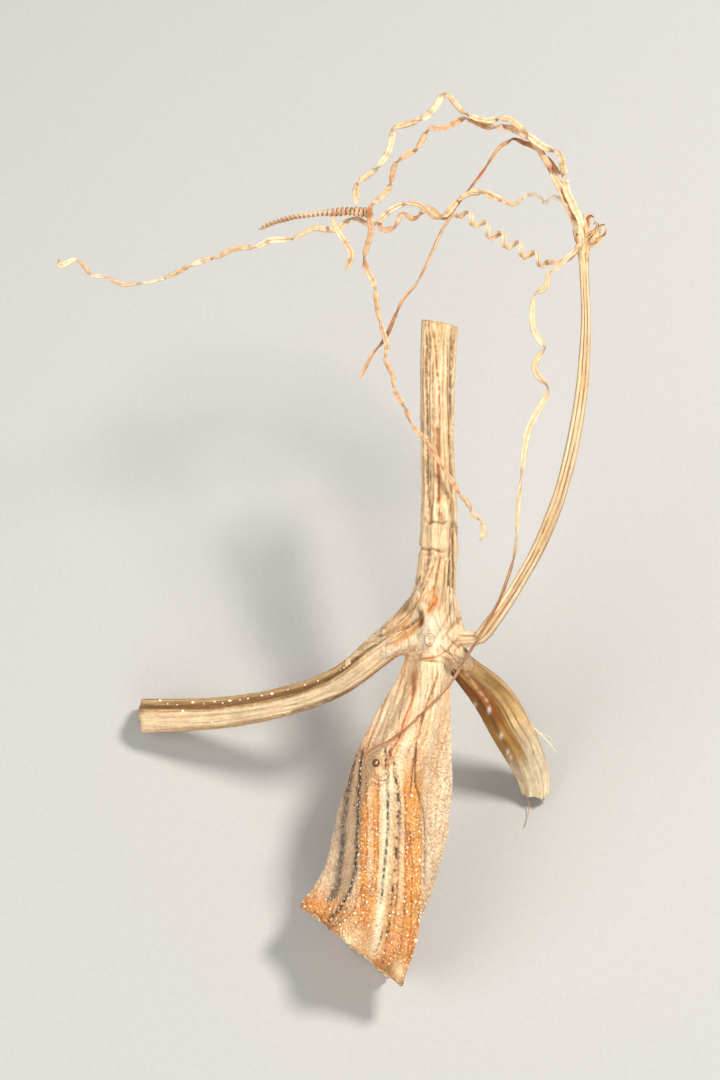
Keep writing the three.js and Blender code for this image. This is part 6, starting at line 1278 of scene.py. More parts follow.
# ---------------------------------------------------------------- tendril: foot, stalk and fork
def fluted(name, pts, mat, body, node, seed, m=72, flutes=(), base=CREAM, shade=TAN, step=0.17, round_end=False, round_start=False, wob=0.04, side_tan=0.6, lens=1.0, notes=None, twist=0.0):
    pts = np.asarray(pts, float)
    if round_start:
        e = pts[0].copy(); u_ = (pts[0] - pts[1])[:3]; e[:3] += u_ / np.linalg.norm(u_) * pts[0][3] * 0.8
        pts = np.vstack([e, pts])
    if round_end:
        e = pts[-1].copy(); u_ = (pts[-1] - pts[-2])[:3]; e[:3] += u_ / np.linalg.norm(u_) * pts[-1][3] * 0.7
        pts = np.vstack([pts, e])
    R, s = resample(pts, step=step, smooth_rounds=2)
    if round_start:
        # rows crowd together where the tip closes
        s2 = np.r_[np.linspace(0, 1, 9)[:-1] ** 2 * s[9], s[9:]]
        R = np.stack([np.interp(s2, s, R[:, k]) for k in range(4)], axis=1); s = s2
    P, hw = R[:, :3], R[:, 3]
    a, d, t = side_frames(P)
    th = np.linspace(0, 2 * np.pi, m, endpoint=False)
    S, TH = np.meshgrid(s, th, indexing="ij")
    r = np.ones_like(S) * hw[:, None]
    arc = TH * max(0.6, float(hw.mean()))
    A = TH + twist * S
    col = np.broadcast_to(base, S.shape + (3,)).copy()
    lowf = fbm(np.cos(A) * 1.4 + seed, S * 0.08, np.sin(A) * 1.4, seed, 3)
    fibre = vnoise(np.cos(A) * 4.2 + 9, S * 0.10, np.sin(A) * 4.2, seed + 1)
    fibre2 = vnoise(np.cos(A) * 9.0 + 9, S * 0.25, np.sin(A) * 9.0, seed + 2)
    col = mix(col, BRIGHT, smooth(0.48, 0.7, lowf) * 0.8)
    col = mix(col, shade, smooth(0.5, 0.28, lowf) * 0.6)
    col = mix(col, TAN, smooth(0.62, 0.86, fibre) * 0.5)
    col = mix(col, AMBER, smooth(0.8, 0.96, fibre2) * 0.5)
    r = r + 0.14 * (fibre - 0.5) * hw[:, None] + 0.08 * (fibre2 - 0.5) * hw[:, None] + wob * (lowf - 0.5)
    for k, (deg, wd, c, w, dep) in enumerate(flutes):
        wv = 7.0 * (vnoise(S * 0.09, k * 5.0, 0.0, seed + 9) - 0.5)
        e = np.exp(-(((np.degrees(A) - deg - wv + 180) % 360 - 180) / wd) ** 2)
        brk = 0.6 + 0.4 * smooth(0.3, 0.6, vnoise(S * 0.3, k * 7.0, 0.0, seed + 10))
        col = mix(col, c, e * w * brk)
        r = r - dep * hw[:, None] * e
    ls = smooth(0.1, 0.95, -np.cos(TH)) if side_tan > 0 else smooth(0.1, 0.95, np.cos(TH))
    col = mix(col, srgb(150, 100, 60), ls * abs(side_tan))
    if round_end:
        endm = np.sqrt(np.clip(1 - np.clip((S - (s[-1] - hw[-1])) / hw[-1], 0, 1) ** 2, 0.001, 1))
        r = r * endm
    if round_start:
        endm = np.sqrt(np.clip(1 - np.clip((hw[0] - S) / hw[0], 0, 1) ** 2, 0.001, 1))
        r = r * endm
    x, y = plan(P[:, None] + 0 * a[:, None] + np.zeros((1, m, 1)))
    if notes:
        for (cx, cy, rad, c, w) in notes:
            e = np.exp(-(((x - cx) ** 2 + (y - cy) ** 2) / rad ** 2))
            col = mix(col, c, e * w)
    V = P[:, None] + a[:, None] * (r * np.cos(TH))[..., None] + d[:, None] * (r * np.sin(TH) * lens)[..., None]
    n = len(s)
    mesh = Mesh()
    allV = np.vstack([V.reshape(-1, 3), P[:1], P[-1:]])
    fib = np.stack([arc * 1.0, S, np.full_like(S, float(seed))], -1)
    mesh.add(allV, [grid_faces(n, m, flip=True), fan(np.arange(m), n * m), fan(np.arange(m) + (n - 1) * m, n * m + 1, flip=True)],
             np.vstack([col.reshape(-1, 3), base[None], base[None]]), np.vstack([fib.reshape(-1, 3), np.zeros((2, 3))]))
    mesh.build(name, mat, body, [node] if node else [])
    return dict(P=P, hw=hw, a=a, d=d, t=t, s=s)

foot = fluted("tendril_base", FOOT_T, M_TEND, "plant", "tendril_foot", 601,
              flutes=[(60, 10, srgb(120, 74, 36), 0.8, 0.12), (100, 8, TAN, 0.7, 0.08), (135, 9, srgb(150, 96, 48), 0.6, 0.1), (200, 12, BROWN, 0.5, 0.12), (250, 9, TAN, 0.6, 0.1), (300, 12, BROWN, 0.5, 0.12)],
              base=srgb(240, 216, 174), shade=srgb(216, 168, 108), side_tan=0.0, m=96, round_end=True,
              notes=[(450, 636, 9, srgb(176, 104, 46), 0.75), (478, 640, 2.5, srgb(130, 84, 44), 0.6)])
stalk = fluted("tendril_main_stalk", STALK, M_TEND, "tendril", "tendril_stalk", 611,
               flutes=[(64, 7, srgb(118, 76, 40), 0.85, 0.18), (86, 10, srgb(200, 158, 108), 0.55, 0.10), (106, 7, srgb(108, 68, 36), 0.85, 0.18), (132, 12, srgb(250, 238, 210), 0.6, -0.06), (158, 8, srgb(140, 94, 54), 0.6, 0.12), (42, 12, srgb(250, 238, 210), 0.6, -0.06), (18, 7, srgb(160, 112, 68), 0.6, 0.1), (200, 12, BROWN, 0.6, 0.15), (250, 9, srgb(140, 92, 50), 0.6, 0.14), (305, 12, BROWN, 0.6, 0.15), (340, 8, TAN, 0.6, 0.08)],
               base=srgb(236, 212, 168), shade=srgb(214, 174, 122), side_tan=0.25, m=84, wob=0.08, round_start=True)

def blob(name, parts_, voxel, rounds, mat, body, nodes_, base, amber, seed, dispmm=0.14):
    V, F, F3, E = remeshed(parts_, voxel, rounds)
    N = normals(V, F, F3)
    if ((V - V.mean(0)) * N).sum() < 0:
        N = -N
    q1 = fbm(V[:, 0] * 1.7, V[:, 1] * 0.34, V[:, 2] * 1.7, seed, 3)
    q2 = vnoise(V[:, 0] * 5.5, V[:, 1] * 0.9, V[:, 2] * 5.5, seed + 1)
    c = np.broadcast_to(base, V.shape).copy()
    c = mix(c, amber, smooth(0.45, 0.65, q1) * 0.85)
    c = mix(c, srgb(92, 54, 26), smooth(0.66, 0.85, q2) * 0.6)
    c = mix(c, srgb(226, 190, 144), smooth(0.42, 0.25, q1) * 0.7)
    V = V + N * ((q1 - 0.5) * dispmm * 2 + (q2 - 0.5) * dispmm)[:, None]
    mesh = Mesh()
    mesh.add(V, [F] + ([F3] if len(F3) else []), c, np.stack([V[:, 0], V[:, 1] * 0.5, V[:, 2]], -1))
    return mesh.build(name, mat, body, nodes_)

KN = np.array(KNOB[:3], float)
sP = stalk["P"][-36:]
sH = stalk["hw"][-36:]
def start_of(line, mm):
    Rq, sq = resample(line, step=0.25)
    return Rq[:max(4, int(mm / 0.25))]
parts = [ball(KN + [-0.1, -0.4, 0.0], [1.55, 1.9, 1.3])]
kq = np.linspace(0, 1, 10)[1:, None]
kp = np.vstack([sP[:-3], sP[-4] * (1 - kq) + (KN + np.array([-0.3, 0.9, 0.1])) * kq])
parts.append(tube_parts(kp, np.r_[sH[:-3] + np.interp(np.arange(33), [0, 12, 32], [-0.22, -0.02, 0.26]), np.linspace(sH[-4] + 0.28, 1.42, 9)]))
parts.append(tube_parts(np.array([KN + [-0.3, 0.4, 0.1], KN + [-0.6, 1.8, 0.3], KN + [-1.1, 3.2, 0.45], KN + [-1.8, 4.8, 0.5]]), np.array([1.5, 1.3, 1.1, 0.5])))
for line, mm, r0, r1 in [(T3, 4.2, 0.95, 0.30), (T2, 4.6, 0.95, 0.30), (T4, 2.6, 0.8, 0.25), (T7, 2.2, 0.7, 0.2), (T6_ROOT, 1.8, 0.65, 0.25)]:
    q = start_of(line, mm)
    ext = KN + (q[0, :3] - KN) * np.linspace(0.1, 0.9, 6)[:, None]
    pth = np.vstack([ext, q[:, :3]])
    parts.append(tube_parts(pth, np.interp(np.arange(len(pth)), [0, len(pth) - 1], [r0, r1]), m=20))
blob("fork_knot", parts, 0.085, 12, M_TEND, "tendril", ["tendril_fork"], srgb(238, 214, 174), srgb(206, 160, 108), 640, dispmm=0.12)
# dry scales curl round the fork
mesh = Mesh()
def scale_leaf(p0, dirv, nrm, length, width, curl, c0, c1, seed):
    dirv = np.array(dirv, float); dirv /= np.linalg.norm(dirv)
    nrm = np.array(nrm, float); nrm -= dirv * (nrm @ dirv); nrm /= np.linalg.norm(nrm)
    sd = np.cross(dirv, nrm)
    n, m = 34, 18
    s = np.linspace(0, 1, n)
    ang = curl * s ** 1.3
    step_ = length / (n - 1)
    pos = np.array(p0, float) + np.cumsum(np.r_[[np.zeros(3)], (dirv * np.cos(ang)[1:, None] + nrm * np.sin(ang)[1:, None]) * step_], axis=0)
    up = -dirv * np.sin(ang)[:, None] + nrm * np.cos(ang)[:, None]
    w = width * np.sin(np.pi * np.clip(0.12 + 0.86 * s, 0, 1)) ** 0.7 * (1 + 0.3 * (vnoise(s * 6, seed, 0.0, 650) - 0.5))
    q = np.linspace(-1, 1, m)
    top = pos[:, None] + sd * (w[:, None] * q)[..., None] + up[:, None] * (0.35 * w[:, None] * q ** 2 + 0.07)[..., None]
    bot = top - up[:, None] * 0.13
    V = np.concatenate([top, bot[:, ::-1]], axis=1)
    M_ = V.shape[1]
    f = grid_faces(n, M_)
    allV = np.vstack([V.reshape(-1, 3), V[0].mean(0)[None], V[-1].mean(0)[None]])
    t_ = np.repeat(s, M_)
    c = mix(np.broadcast_to(c0, (n * M_, 3)).copy(), c1, t_)
    mesh.add(allV, [f, fan(np.arange(M_), n * M_, flip=True), fan(np.arange(M_) + (n - 1) * M_, n * M_ + 1)], np.vstack([c, c0[None], c1[None]]),
             np.stack([np.concatenate([np.tile(np.r_[q, q[::-1]], n), [0, 0]]), np.concatenate([t_ * length, [0, length]]), np.full(len(allV), float(seed))], -1))
LC, AM, DB = srgb(226, 184, 132), srgb(160, 96, 42), srgb(98, 58, 28)
scale_leaf(KN + [0.3, 1.0, 0.1], [0.35, 1.0, 0.0], [1, -0.2, 0.5], 3.2, 0.45, 1.5, AM, LC, 4)
scale_leaf(KN + [-0.6, 0.8, 0.3], [-0.5, 0.9, 0.2], [-0.5, 0, 1], 2.4, 0.4, 1.6, LC, DB, 5)
scale_leaf(KN + [0.9, 0.2, -0.4], [0.9, 0.4, -0.5], [0.2, 0.9, 0.4], 3.0, 0.42, 2.4, DB, AM, 6)
def curl(p0, deg, length, k0, k1, wd, lift, c0, c1, seed):
    n = 40
    s = np.linspace(0, 1, n)
    ang_ = math.radians(deg) + k0 * s + k1 * s ** 2
    st = length / (n - 1)
    xy = np.cumsum(np.c_[np.cos(ang_), np.sin(ang_)] * st, axis=0)
    P = np.c_[p0[0] + xy[:, 0], p0[1] + xy[:, 1], p0[2] + lift * np.sin(s * 2.6)]
    a_, d_, t_ = side_frames(P)
    tw = 0.8 + 1.9 * s + seed
    across = a_ * np.cos(tw)[:, None] + d_ * np.sin(tw)[:, None]
    outw = -a_ * np.sin(tw)[:, None] + d_ * np.cos(tw)[:, None]
    m = 16
    th = np.linspace(0, 2 * np.pi, m, endpoint=False)
    w_ = wd * (0.35 + 0.65 * np.sin(np.pi * np.clip(s * 0.9 + 0.1, 0, 1))) * (1 + 0.25 * (vnoise(s * 7, seed, 0.0, 651) - 0.5))
    V = P[:, None] + across[:, None] * (w_[:, None] * np.cos(th))[..., None] + outw[:, None] * (0.11 * np.sin(th) + 0.30 * w_[:, None] * np.cos(th) ** 2)[..., None]
    cc_ = mix(np.broadcast_to(c0, (n, m, 3)).copy(), c1, np.abs(np.cos(th))[None] ** 3 * np.ones((n, 1)) * 0.8)
    cc_ = mix(cc_, DB, smooth(0.6, 0.85, vnoise(s[:, None] * 9, th[None] * 1.3, seed, 652)) * 0.7)
    allV = np.vstack([V.reshape(-1, 3), P[:1], P[-1:]])
    mesh.add(allV, [grid_faces(n, m, flip=True), fan(np.arange(m), n * m), fan(np.arange(m) + (n - 1) * m, n * m + 1, flip=True)], np.vstack([cc_.reshape(-1, 3), c0[None], c1[None]]),
             np.stack([np.concatenate([np.tile(th * wd, n), [0, 0]]), np.concatenate([np.repeat(s * length, m), [0, length]]), np.full(len(allV), float(seed))], -1))
EC = srgb(238, 206, 156)
TN = srgb(214, 172, 120)
def leaflet(pts, wd, tw, c0, c1, seed, dish=0.35):
    """A dry leaflet along a traced line: points are plan x, plan y and depth; wd is its half width."""
    P0 = np.array([unplan(*q) for q in pts])
    R, s = resample([list(q) + [1.0] for q in P0], step=0.12, smooth_rounds=3)
    P = R[:, :3]; n = len(s); g = s / s[-1]
    a_, d_, t_ = side_frames(P)
    al = tw[0] + (tw[1] - tw[0]) * g
    across = a_ * np.cos(al)[:, None] + d_ * np.sin(al)[:, None]
    outw = -a_ * np.sin(al)[:, None] + d_ * np.cos(al)[:, None]
    m = 18
    th = np.linspace(0, 2 * np.pi, m, endpoint=False)
    w_ = wd * np.clip(np.sin(np.pi * np.clip(g * 0.86 + 0.10, 0, 1)), 0.18, 1) * (1 + 0.35 * (vnoise(s * 1.6, seed, 0.0, 651) - 0.5))
    wave = 0.16 * np.sin(s * 2.6 + seed)[:, None] * np.sin(2 * th)[None]
    V = P[:, None] + across[:, None] * (w_[:, None] * np.cos(th))[..., None] + outw[:, None] * (0.085 * np.sin(th) + dish * w_[:, None] * np.cos(th) ** 2 + wave * w_[:, None])[..., None]
    cc_ = mix(np.broadcast_to(c0, (n, m, 3)).copy(), c1, np.abs(np.cos(th))[None] ** 2 * np.ones((n, 1)) * 0.9)
    cc_ = mix(cc_, DB, smooth(0.62, 0.85, vnoise(s[:, None] * 1.4, th[None] * 1.3, seed, 652)) * 0.6)
    allV = np.vstack([V.reshape(-1, 3), P[:1], P[-1:]])
    mesh.add(allV, [grid_faces(n, m, flip=True), fan(np.arange(m), n * m), fan(np.arange(m) + (n - 1) * m, n * m + 1, flip=True)], np.vstack([cc_.reshape(-1, 3), c0[None], c1[None]]),
             np.stack([np.concatenate([np.tile(th * wd, n), [0, 0]]), np.concatenate([np.repeat(s, m), [0, s[-1]]]), np.full(len(allV), float(seed))], -1))
EC = srgb(240, 212, 166)
TN = srgb(206, 164, 112)
leaflet([(584, 247, 0.2), (590, 246, 0.8), (596, 242, 1.2), (601, 237, 1.0), (605, 233, 0.6), (606.5, 229, 0.2)], 0.62, (0.2, 0.8), TN, EC, 1)
leaflet([(584, 244, 0.6), (590, 241, 1.3), (595, 236, 1.6), (599, 231, 1.4), (603, 228, 0.9), (605, 225.5, 0.4)], 0.56, (0.7, 0.1), EC, TN, 2)
leaflet([(583, 240, 0.6), (588.3, 236, 1.4), (592.8, 232, 1.6), (595.8, 228, 1.2), (596.3, 223, 0.7), (593.8, 219, 0.2)], 0.48, (0.2, 1.0), TN, EC, 3)
leaflet([(583, 238, 0.0), (586, 231, -0.2), (587, 224, -0.5), (587.5, 218.5, -0.9), (591, 215.5, -1.2), (594.5, 217.5, -1.2)], 0.66, (0.2, 0.7), AM, srgb(214, 160, 92), 4)
leaflet([(587, 236, -0.4), (593, 231, -0.9), (599, 226, -1.2), (604, 224, -1.4), (606, 227, -1.4)], 0.46, (0.4, 1.2), srgb(190, 136, 84), EC, 5)
leaflet([(591, 234, 0.9), (596, 230.5, 0.6), (598, 225.5, 0.2), (596, 222, -0.2), (593.5, 224.5, -0.4)], 0.36, (0.9, 0.2), DB, EC, 6)
leaflet([(577.5, 247, 0.3), (575.2, 240, 0.2), (573.3, 233, 0.1), (572.7, 227, -0.1)], 0.24, (0.8, 0.9), srgb(216, 166, 124), srgb(240, 206, 172), 8, dish=0.2)
mesh.build("fork_dry_scales", M_THREAD, "tendril", ["fork_scales"])

# ---------------------------------------------------------------- tendril branches: twisted ribbons
def moving(x, k):
    if k < 2:
        return x
    pad = np.pad(x, (k, k), mode="edge")
    ker = np.hanning(2 * k + 1); ker /= ker.sum()
    return np.convolve(pad, ker, mode="valid")

def ribbon(name, pts, body, node, seed, mat=None, m=26, step=0.16, pal=None, thick=0.42, wav=0.30, taper_end=True, width=None, edge_col=None, kink_tints_and_highlights=(), turns_every=4.2, min_ratio=0.62, zlift=0.0, groove=0.22, phase=0.0, twist=True, flat_start=0.0, broad=None, frames=None, tone=None, lead=None):
    """A flat strand that twists: where its traced half width dips, it stands on edge."""
    pal = pal or dict(face=srgb(242, 216, 178), back=srgb(214, 162, 114), shade=srgb(196, 142, 94), kink=srgb(150, 92, 42))
    R, s = resample(pts, step=step, smooth_rounds=4)
    P, hw = R[:, :3].copy(), R[:, 3]
    n = len(s)
    kk = max(2, int(1.1 / step))
    hs = moving(hw, kk)
    # the strand turns over in a short length at each dip of the traced width
    big_k = max(3, int(turns_every * 0.28 / step))
    lo = [i for i in range(big_k, n - big_k) if hs[i] == hs[i - big_k:i + big_k + 1].min() and hs[i] < 0.93 * hs[max(0, i - 5 * big_k):i + 5 * big_k].max()]
    dips = []
    for i in lo:
        if s[i] > flat_start and (not dips or (i - dips[-1]) * step > turns_every * 0.45):
            dips.append(i)
    prev, extra_d = 0, []
    for i in dips + [n - 1]:
        gap = (i - prev) * step
        if gap > turns_every * 3.2:
            extra_d += [int(prev + (i - prev) * e / (int(gap // (turns_every * 2.2)) + 1)) for e in range(1, int(gap // (turns_every * 2.2)) + 1)]
        prev = i
    dips = sorted(set(dips + [i for i in extra_d if s[i] > flat_start]))
    alpha = np.full(n, float(phase))
    hand = 1.0
    for k, i in enumerate(dips):
        half = (0.42 + 0.12 * math.sin(k * 2.3 + seed)) * turns_every
        alpha = alpha + np.pi * smooth(s[i] - half, s[i] + half, s)
    alpha = alpha + 0.28 * np.sin(s * 0.9 + seed)
    if not twist:
        alpha = np.full(n, phase) + 0.5 * np.sin(s * 0.35 + seed)
    # envelope of the width
    W = np.array([hs[max(0, i - 3 * big_k):i + 3 * big_k + 1].max() for i in range(n)])
    W = np.sqrt(moving(W, 2 * big_k) * hs) * 1.12 if width is None else np.full(n, width)
    if broad:
        W = W * (1 + (broad[0] - 1) * (1 - smooth(broad[1] * 0.6, broad[1], s)))
    T = np.clip(np.minimum(thick / 2, W * min_ratio), 0.07, None)
    if taper_end:
        end = np.clip((s[-1] - s) / 2.2, 0, 1) ** 0.6
        W = W * (0.25 + 0.75 * end); T = T * (0.4 + 0.6 * end)
    if lead:
        P += np.array(lead[0]) * (1 - smooth(lead[1] * 0.35, lead[1], s))[:, None] * smooth(0, 1.2, s)[:, None]
    P[:, 2] += wav * np.sin(s * 1.25 + seed) * np.clip(s / 4, 0, 1) + 0.5 * wav * np.sin(s * 2.9 + seed * 2) * np.clip(s / 4, 0, 1) + zlift
    a, d, t = side_frames(P)
    if frames is not None:
        a, d = frames(P, s)
    a0 = a[:, None] * np.cos(alpha)[:, None, None] + d[:, None] * np.sin(alpha)[:, None, None]
    d0 = -a[:, None] * np.sin(alpha)[:, None, None] + d[:, None] * np.cos(alpha)[:, None, None]
    th = np.linspace(0, 2 * np.pi, m, endpoint=False)
    S, TH = np.meshgrid(s, th, indexing="ij")
    c_, s_ = np.cos(TH), np.sin(TH)
    Wm, Tm = W[:, None], T[:, None]
    fibre = vnoise(c_ * 3.2 + 7, S * 0.10, s_ * 2.0, seed + 1)
    fibre2 = vnoise(c_ * 7.5 + 7, S * 0.20, s_ * 3.0, seed + 2)
    edge = 1 + 0.16 * (vnoise(S * 0.9, np.sign(c_) * 3.0, 0.0, seed + 3) - 0.5)
    cx = Wm * c_ * edge * (1 + 0.06 * (fibre - 0.5))
    cz = Tm * s_ * (1 + 0.5 * (fibre - 0.5)) + groove * Wm * (c_ ** 2 - 0.45) + 0.03 * (fibre2 - 0.5)
    cz = cz - 0.35 * Tm * np.exp(-(c_ / 0.28) ** 2) * (s_ > 0)
    V = P[:, None] + a0 * cx[..., None] + d0 * cz[..., None]
    facing = (d0[:, 0] @ np.array([0, 0, 1.0]))[:, None] * np.sign(s_)       # which face is turned to the front
    lowf = fbm(S * 0.05, c_ * 0.8, s_ * 0.5, seed + 5, 2)
    col = np.broadcast_to(pal["face"], S.shape + (3,)).copy()
    # the back face is tinted tan: partly the inner face's own peach colour, partly painted shade
    col = mix(col, pal["back"], smooth(0.3, -0.3, s_) * 0.75)
    col = mix(col, pal["shade"], smooth(0.52, 0.3, lowf) * 0.55)
    col = mix(col, BRIGHT, smooth(0.5, 0.72, lowf) * 0.55)
    col = mix(col, TAN, smooth(0.6, 0.85, fibre) * 0.5)
    col = mix(col, srgb(150, 92, 44), smooth(0.78, 0.95, fibre2) * 0.5)
    mid = np.exp(-(c_ / 0.22) ** 2) * (0.4 + 0.6 * smooth(0.35, 0.6, vnoise(S * 0.25, np.sign(s_) * 5.0, 0.0, seed + 7)))
    col = mix(col, srgb(176, 116, 66), mid * 0.5)
    ed = np.exp(-((1 - np.abs(c_)) / 0.10) ** 2) * smooth(0.4, 0.65, vnoise(S * 0.5, np.sign(c_) * 5.0, 0.0, seed + 8))
    col = mix(col, srgb(140, 86, 42) if edge_col is None else edge_col, ed * 0.55)
    onedge = np.abs(np.sin(alpha))[:, None] ** 6
    col = mix(col, pal["kink"], onedge * 0.35 * smooth(0.3, 0.6, vnoise(S * 0.12, 0.0, 0.0, seed + 9)))
    x, y = plan(V)
    if tone:
        col = mix(col, tone[2], smooth(tone[0], tone[1], y) * tone[3] * (0.65 + 0.35 * smooth(0.3, 0.6, fibre)))
    # listed spots: amber and tan tints of the strand, and on branch four white spots of painted highlight
    for (kx, ky, rad, c, w) in kink_tints_and_highlights:
        e = np.exp(-(((x - kx) ** 2 + (y - ky) ** 2) / rad ** 2))
        col = mix(col, c, e * w)
    mesh = Mesh()
    allV = np.vstack([V.reshape(-1, 3), V[0].mean(0)[None], V[-1].mean(0)[None]])
    fib = np.stack([TH * Wm, S, np.full_like(S, float(seed))], -1)
    mesh.add(allV, [grid_faces(n, m, flip=True), fan(np.arange(m), n * m), fan(np.arange(m) + (n - 1) * m, n * m + 1, flip=True)],
             np.vstack([col.reshape(-1, 3), pal["shade"][None], pal["shade"][None]]), np.vstack([fib.reshape(-1, 3), np.zeros((2, 3))]))
    mesh.build(name, mat or M_TEND, body, [node] if node else [])
    return dict(P=P, s=s, a=a0[:, 0], d=d0[:, 0], t=t, W=W)

STRAWP = dict(face=srgb(242, 222, 186), back=srgb(230, 198, 158), shade=srgb(212, 172, 128), kink=srgb(160, 98, 46))
PINKP = dict(face=srgb(236, 208, 172), back=srgb(222, 180, 140), shade=srgb(200, 150, 108), kink=srgb(150, 88, 40))
BROWNP = dict(face=srgb(214, 168, 122), back=srgb(170, 116, 70), shade=srgb(160, 106, 62), kink=srgb(120, 72, 34))
AMB = srgb(170, 100, 40)
r3 = ribbon("branch_three", T3, "branches", "tendril_branch_3", 703, pal=PINKP, flat_start=11.0, broad=(1.12, 18.0), lead=((0.35, 0.10, -0.25), 20.0), kink_tints_and_highlights=[(370, 212, 5, AMB, 0.8), (365, 265, 5, AMB, 0.7), (558, 165, 9, srgb(226, 178, 124), 0.4)])
r2 = ribbon("branch_two", T2, "branches", "tendril_branch_2", 702, pal=STRAWP, flat_start=13.0, broad=(1.12, 18.0), lead=((-0.75, -0.25, 0.30), 17.0), kink_tints_and_highlights=[(372, 208, 6, AMB, 0.7)])
rt2 = ribbon("branch_two_tail", TAIL2, "branches", "tendril_branch_2_tail", 712, pal=PINKP)
# white spots near the fork: painted highlight on the strand's shaded start
r4 = ribbon("branch_four", T4, "branches", "tendril_branch_4", 704, pal=STRAWP, kink_tints_and_highlights=[(556, 200, 12, WHITE, 0.8), (540, 203, 10, srgb(250, 240, 222), 0.7)], turns_every=3.4, flat_start=6.0)
r1 = ribbon("branch_one", T1, "branches", "tendril_branch_1", 701, mat=M_THREAD, pal=BROWNP, thick=0.5, groove=0.08, wav=0.15, turns_every=7.0,
            kink_tints_and_highlights=[(484, 172, 13, srgb(176, 100, 34), 0.85), (470, 188, 9, srgb(150, 88, 36), 0.7), (360, 378, 14, srgb(226, 184, 132), 0.7)], flat_start=12.0)
r6a = ribbon("branch_five_root", T6_ROOT + [[HELIX_AXIS[0][0] + 0.1, HELIX_AXIS[0][1], HELIX_AXIS[0][2], 0.48]], "branches", "tendril_branch_5_root", 705, pal=PINKP, taper_end=False)
r6m = ribbon("branch_five_loops", [[HELIX_AXIS[-1][0] - 0.1, HELIX_AXIS[-1][1], HELIX_AXIS[-1][2], 0.42]] + T6_MID, "branches", "tendril_branch_5_loops", 706, pal=PINKP, taper_end=False)

# screw-like run of branch five
H, sh = resample(HELIX_AXIS, n=620)
hx, hy, ht_ = parallel_frames(H[:, :3], (0, 0, 1.0))
uu_ = np.linspace(0, 1, len(H))
ang = 2.4 + 2 * np.pi * 5.5 * uu_
ease = np.minimum(1, np.minimum(uu_, 1 - uu_) / 0.04)
rad = H[:, 3] * 0.74 * (0.25 + 0.75 * smooth(0, 1, ease)) * (1 + 0.12 * np.sin(uu_ * 23))
HP = H[:, :3] + hx * (rad * np.cos(ang))[:, None] + hy * (rad * np.sin(ang))[:, None]
Hq = np.c_[HP, np.interp(uu_, [0, 0.5, 1], [0.50, 0.46, 0.42]) * (1 + 0.25 * np.sin(uu_ * 47))]
def on_barrel(P, s):
    # across the strip along the barrel's axis, its thickness pointing out
    k = np.clip(np.searchsorted(sh_n, s / s[-1]), 0, len(H) - 1)
    rad_dir = hx[k] * np.cos(ang[k])[:, None] + hy[k] * np.sin(ang[k])[:, None]
    t = tangents(P)
    rad_dir = rad_dir - t * (rad_dir * t).sum(1, keepdims=True); rad_dir /= np.linalg.norm(rad_dir, axis=1, keepdims=True)
    return np.cross(t, rad_dir), rad_dir
_l = np.r_[0, np.cumsum(np.linalg.norm(np.diff(HP, axis=0), axis=1))]
sh_n = _l / _l[-1]
ribbon("branch_five_screw", Hq[::5], "branches", "tendril_branch_5_screw", 707, pal=PINKP, taper_end=False, wav=0.0, turns_every=60.0, thick=0.34, min_ratio=0.6, step=0.12, frames=on_barrel, flat_start=999.0)

# the tight coil
CA, sc = resample(COIL_AXIS, n=1500, smooth_rounds=20)
cx_, cy_, ct_ = parallel_frames(CA[:, :3], (0, 0, 1.0))
uu_ = np.linspace(0, 1, len(CA))
turns = 27.0
ang = 1.0 + 2 * np.pi * turns * (1.42 * uu_ - 0.42 * uu_ ** 2)
rad = CA[:, 3] * smooth(0, 0.02, uu_) * (0.72 + 0.0 * uu_) * (1 + 0.10 * np.sin(uu_ * 31))
CP = CA[:, :3] + cx_ * (rad * np.cos(ang))[:, None] + cy_ * (rad * np.sin(ang))[:, None]
Cq = np.c_[CP, np.interp(uu_, [0, 0.7, 1], [0.30, 0.24, 0.15])]
ribbon("branch_five_coil", Cq[::5], "branches", "tendril_coil", 708, pal=dict(face=srgb(222, 176, 128), back=srgb(176, 118, 70), shade=srgb(150, 94, 50), kink=srgb(120, 70, 34)), taper_end=True, wav=0.0, turns_every=60.0, thick=0.36, min_ratio=0.8, step=0.10, m=14)

# the hanging branch: a flat ribbon above, a brown thread below
r7 = ribbon("hanging_branch_strand", T7, "hanging_branch", "tendril_branch_6", 709, pal=STRAWP, wav=0.10, thick=0.36, turns_every=8.0, groove=0.15, broad=(0.72, 9.0), tone=(528, 572, srgb(150, 92, 48), 0.88),
            kink_tints_and_highlights=[])
# brown flap of torn skin near the fork, on the bundle of branches; its dark brown is partly painted shade between the
# strands
mesh = Mesh()
scale_leaf(unplan(547, 157, 0.4), [0.55, -0.83, 0.0], [0.2, 0.2, 1], 5.0, 0.55, 0.35, srgb(110, 66, 30), srgb(150, 98, 52), 21)
mesh.build("torn_flap", M_THREAD, "branches")

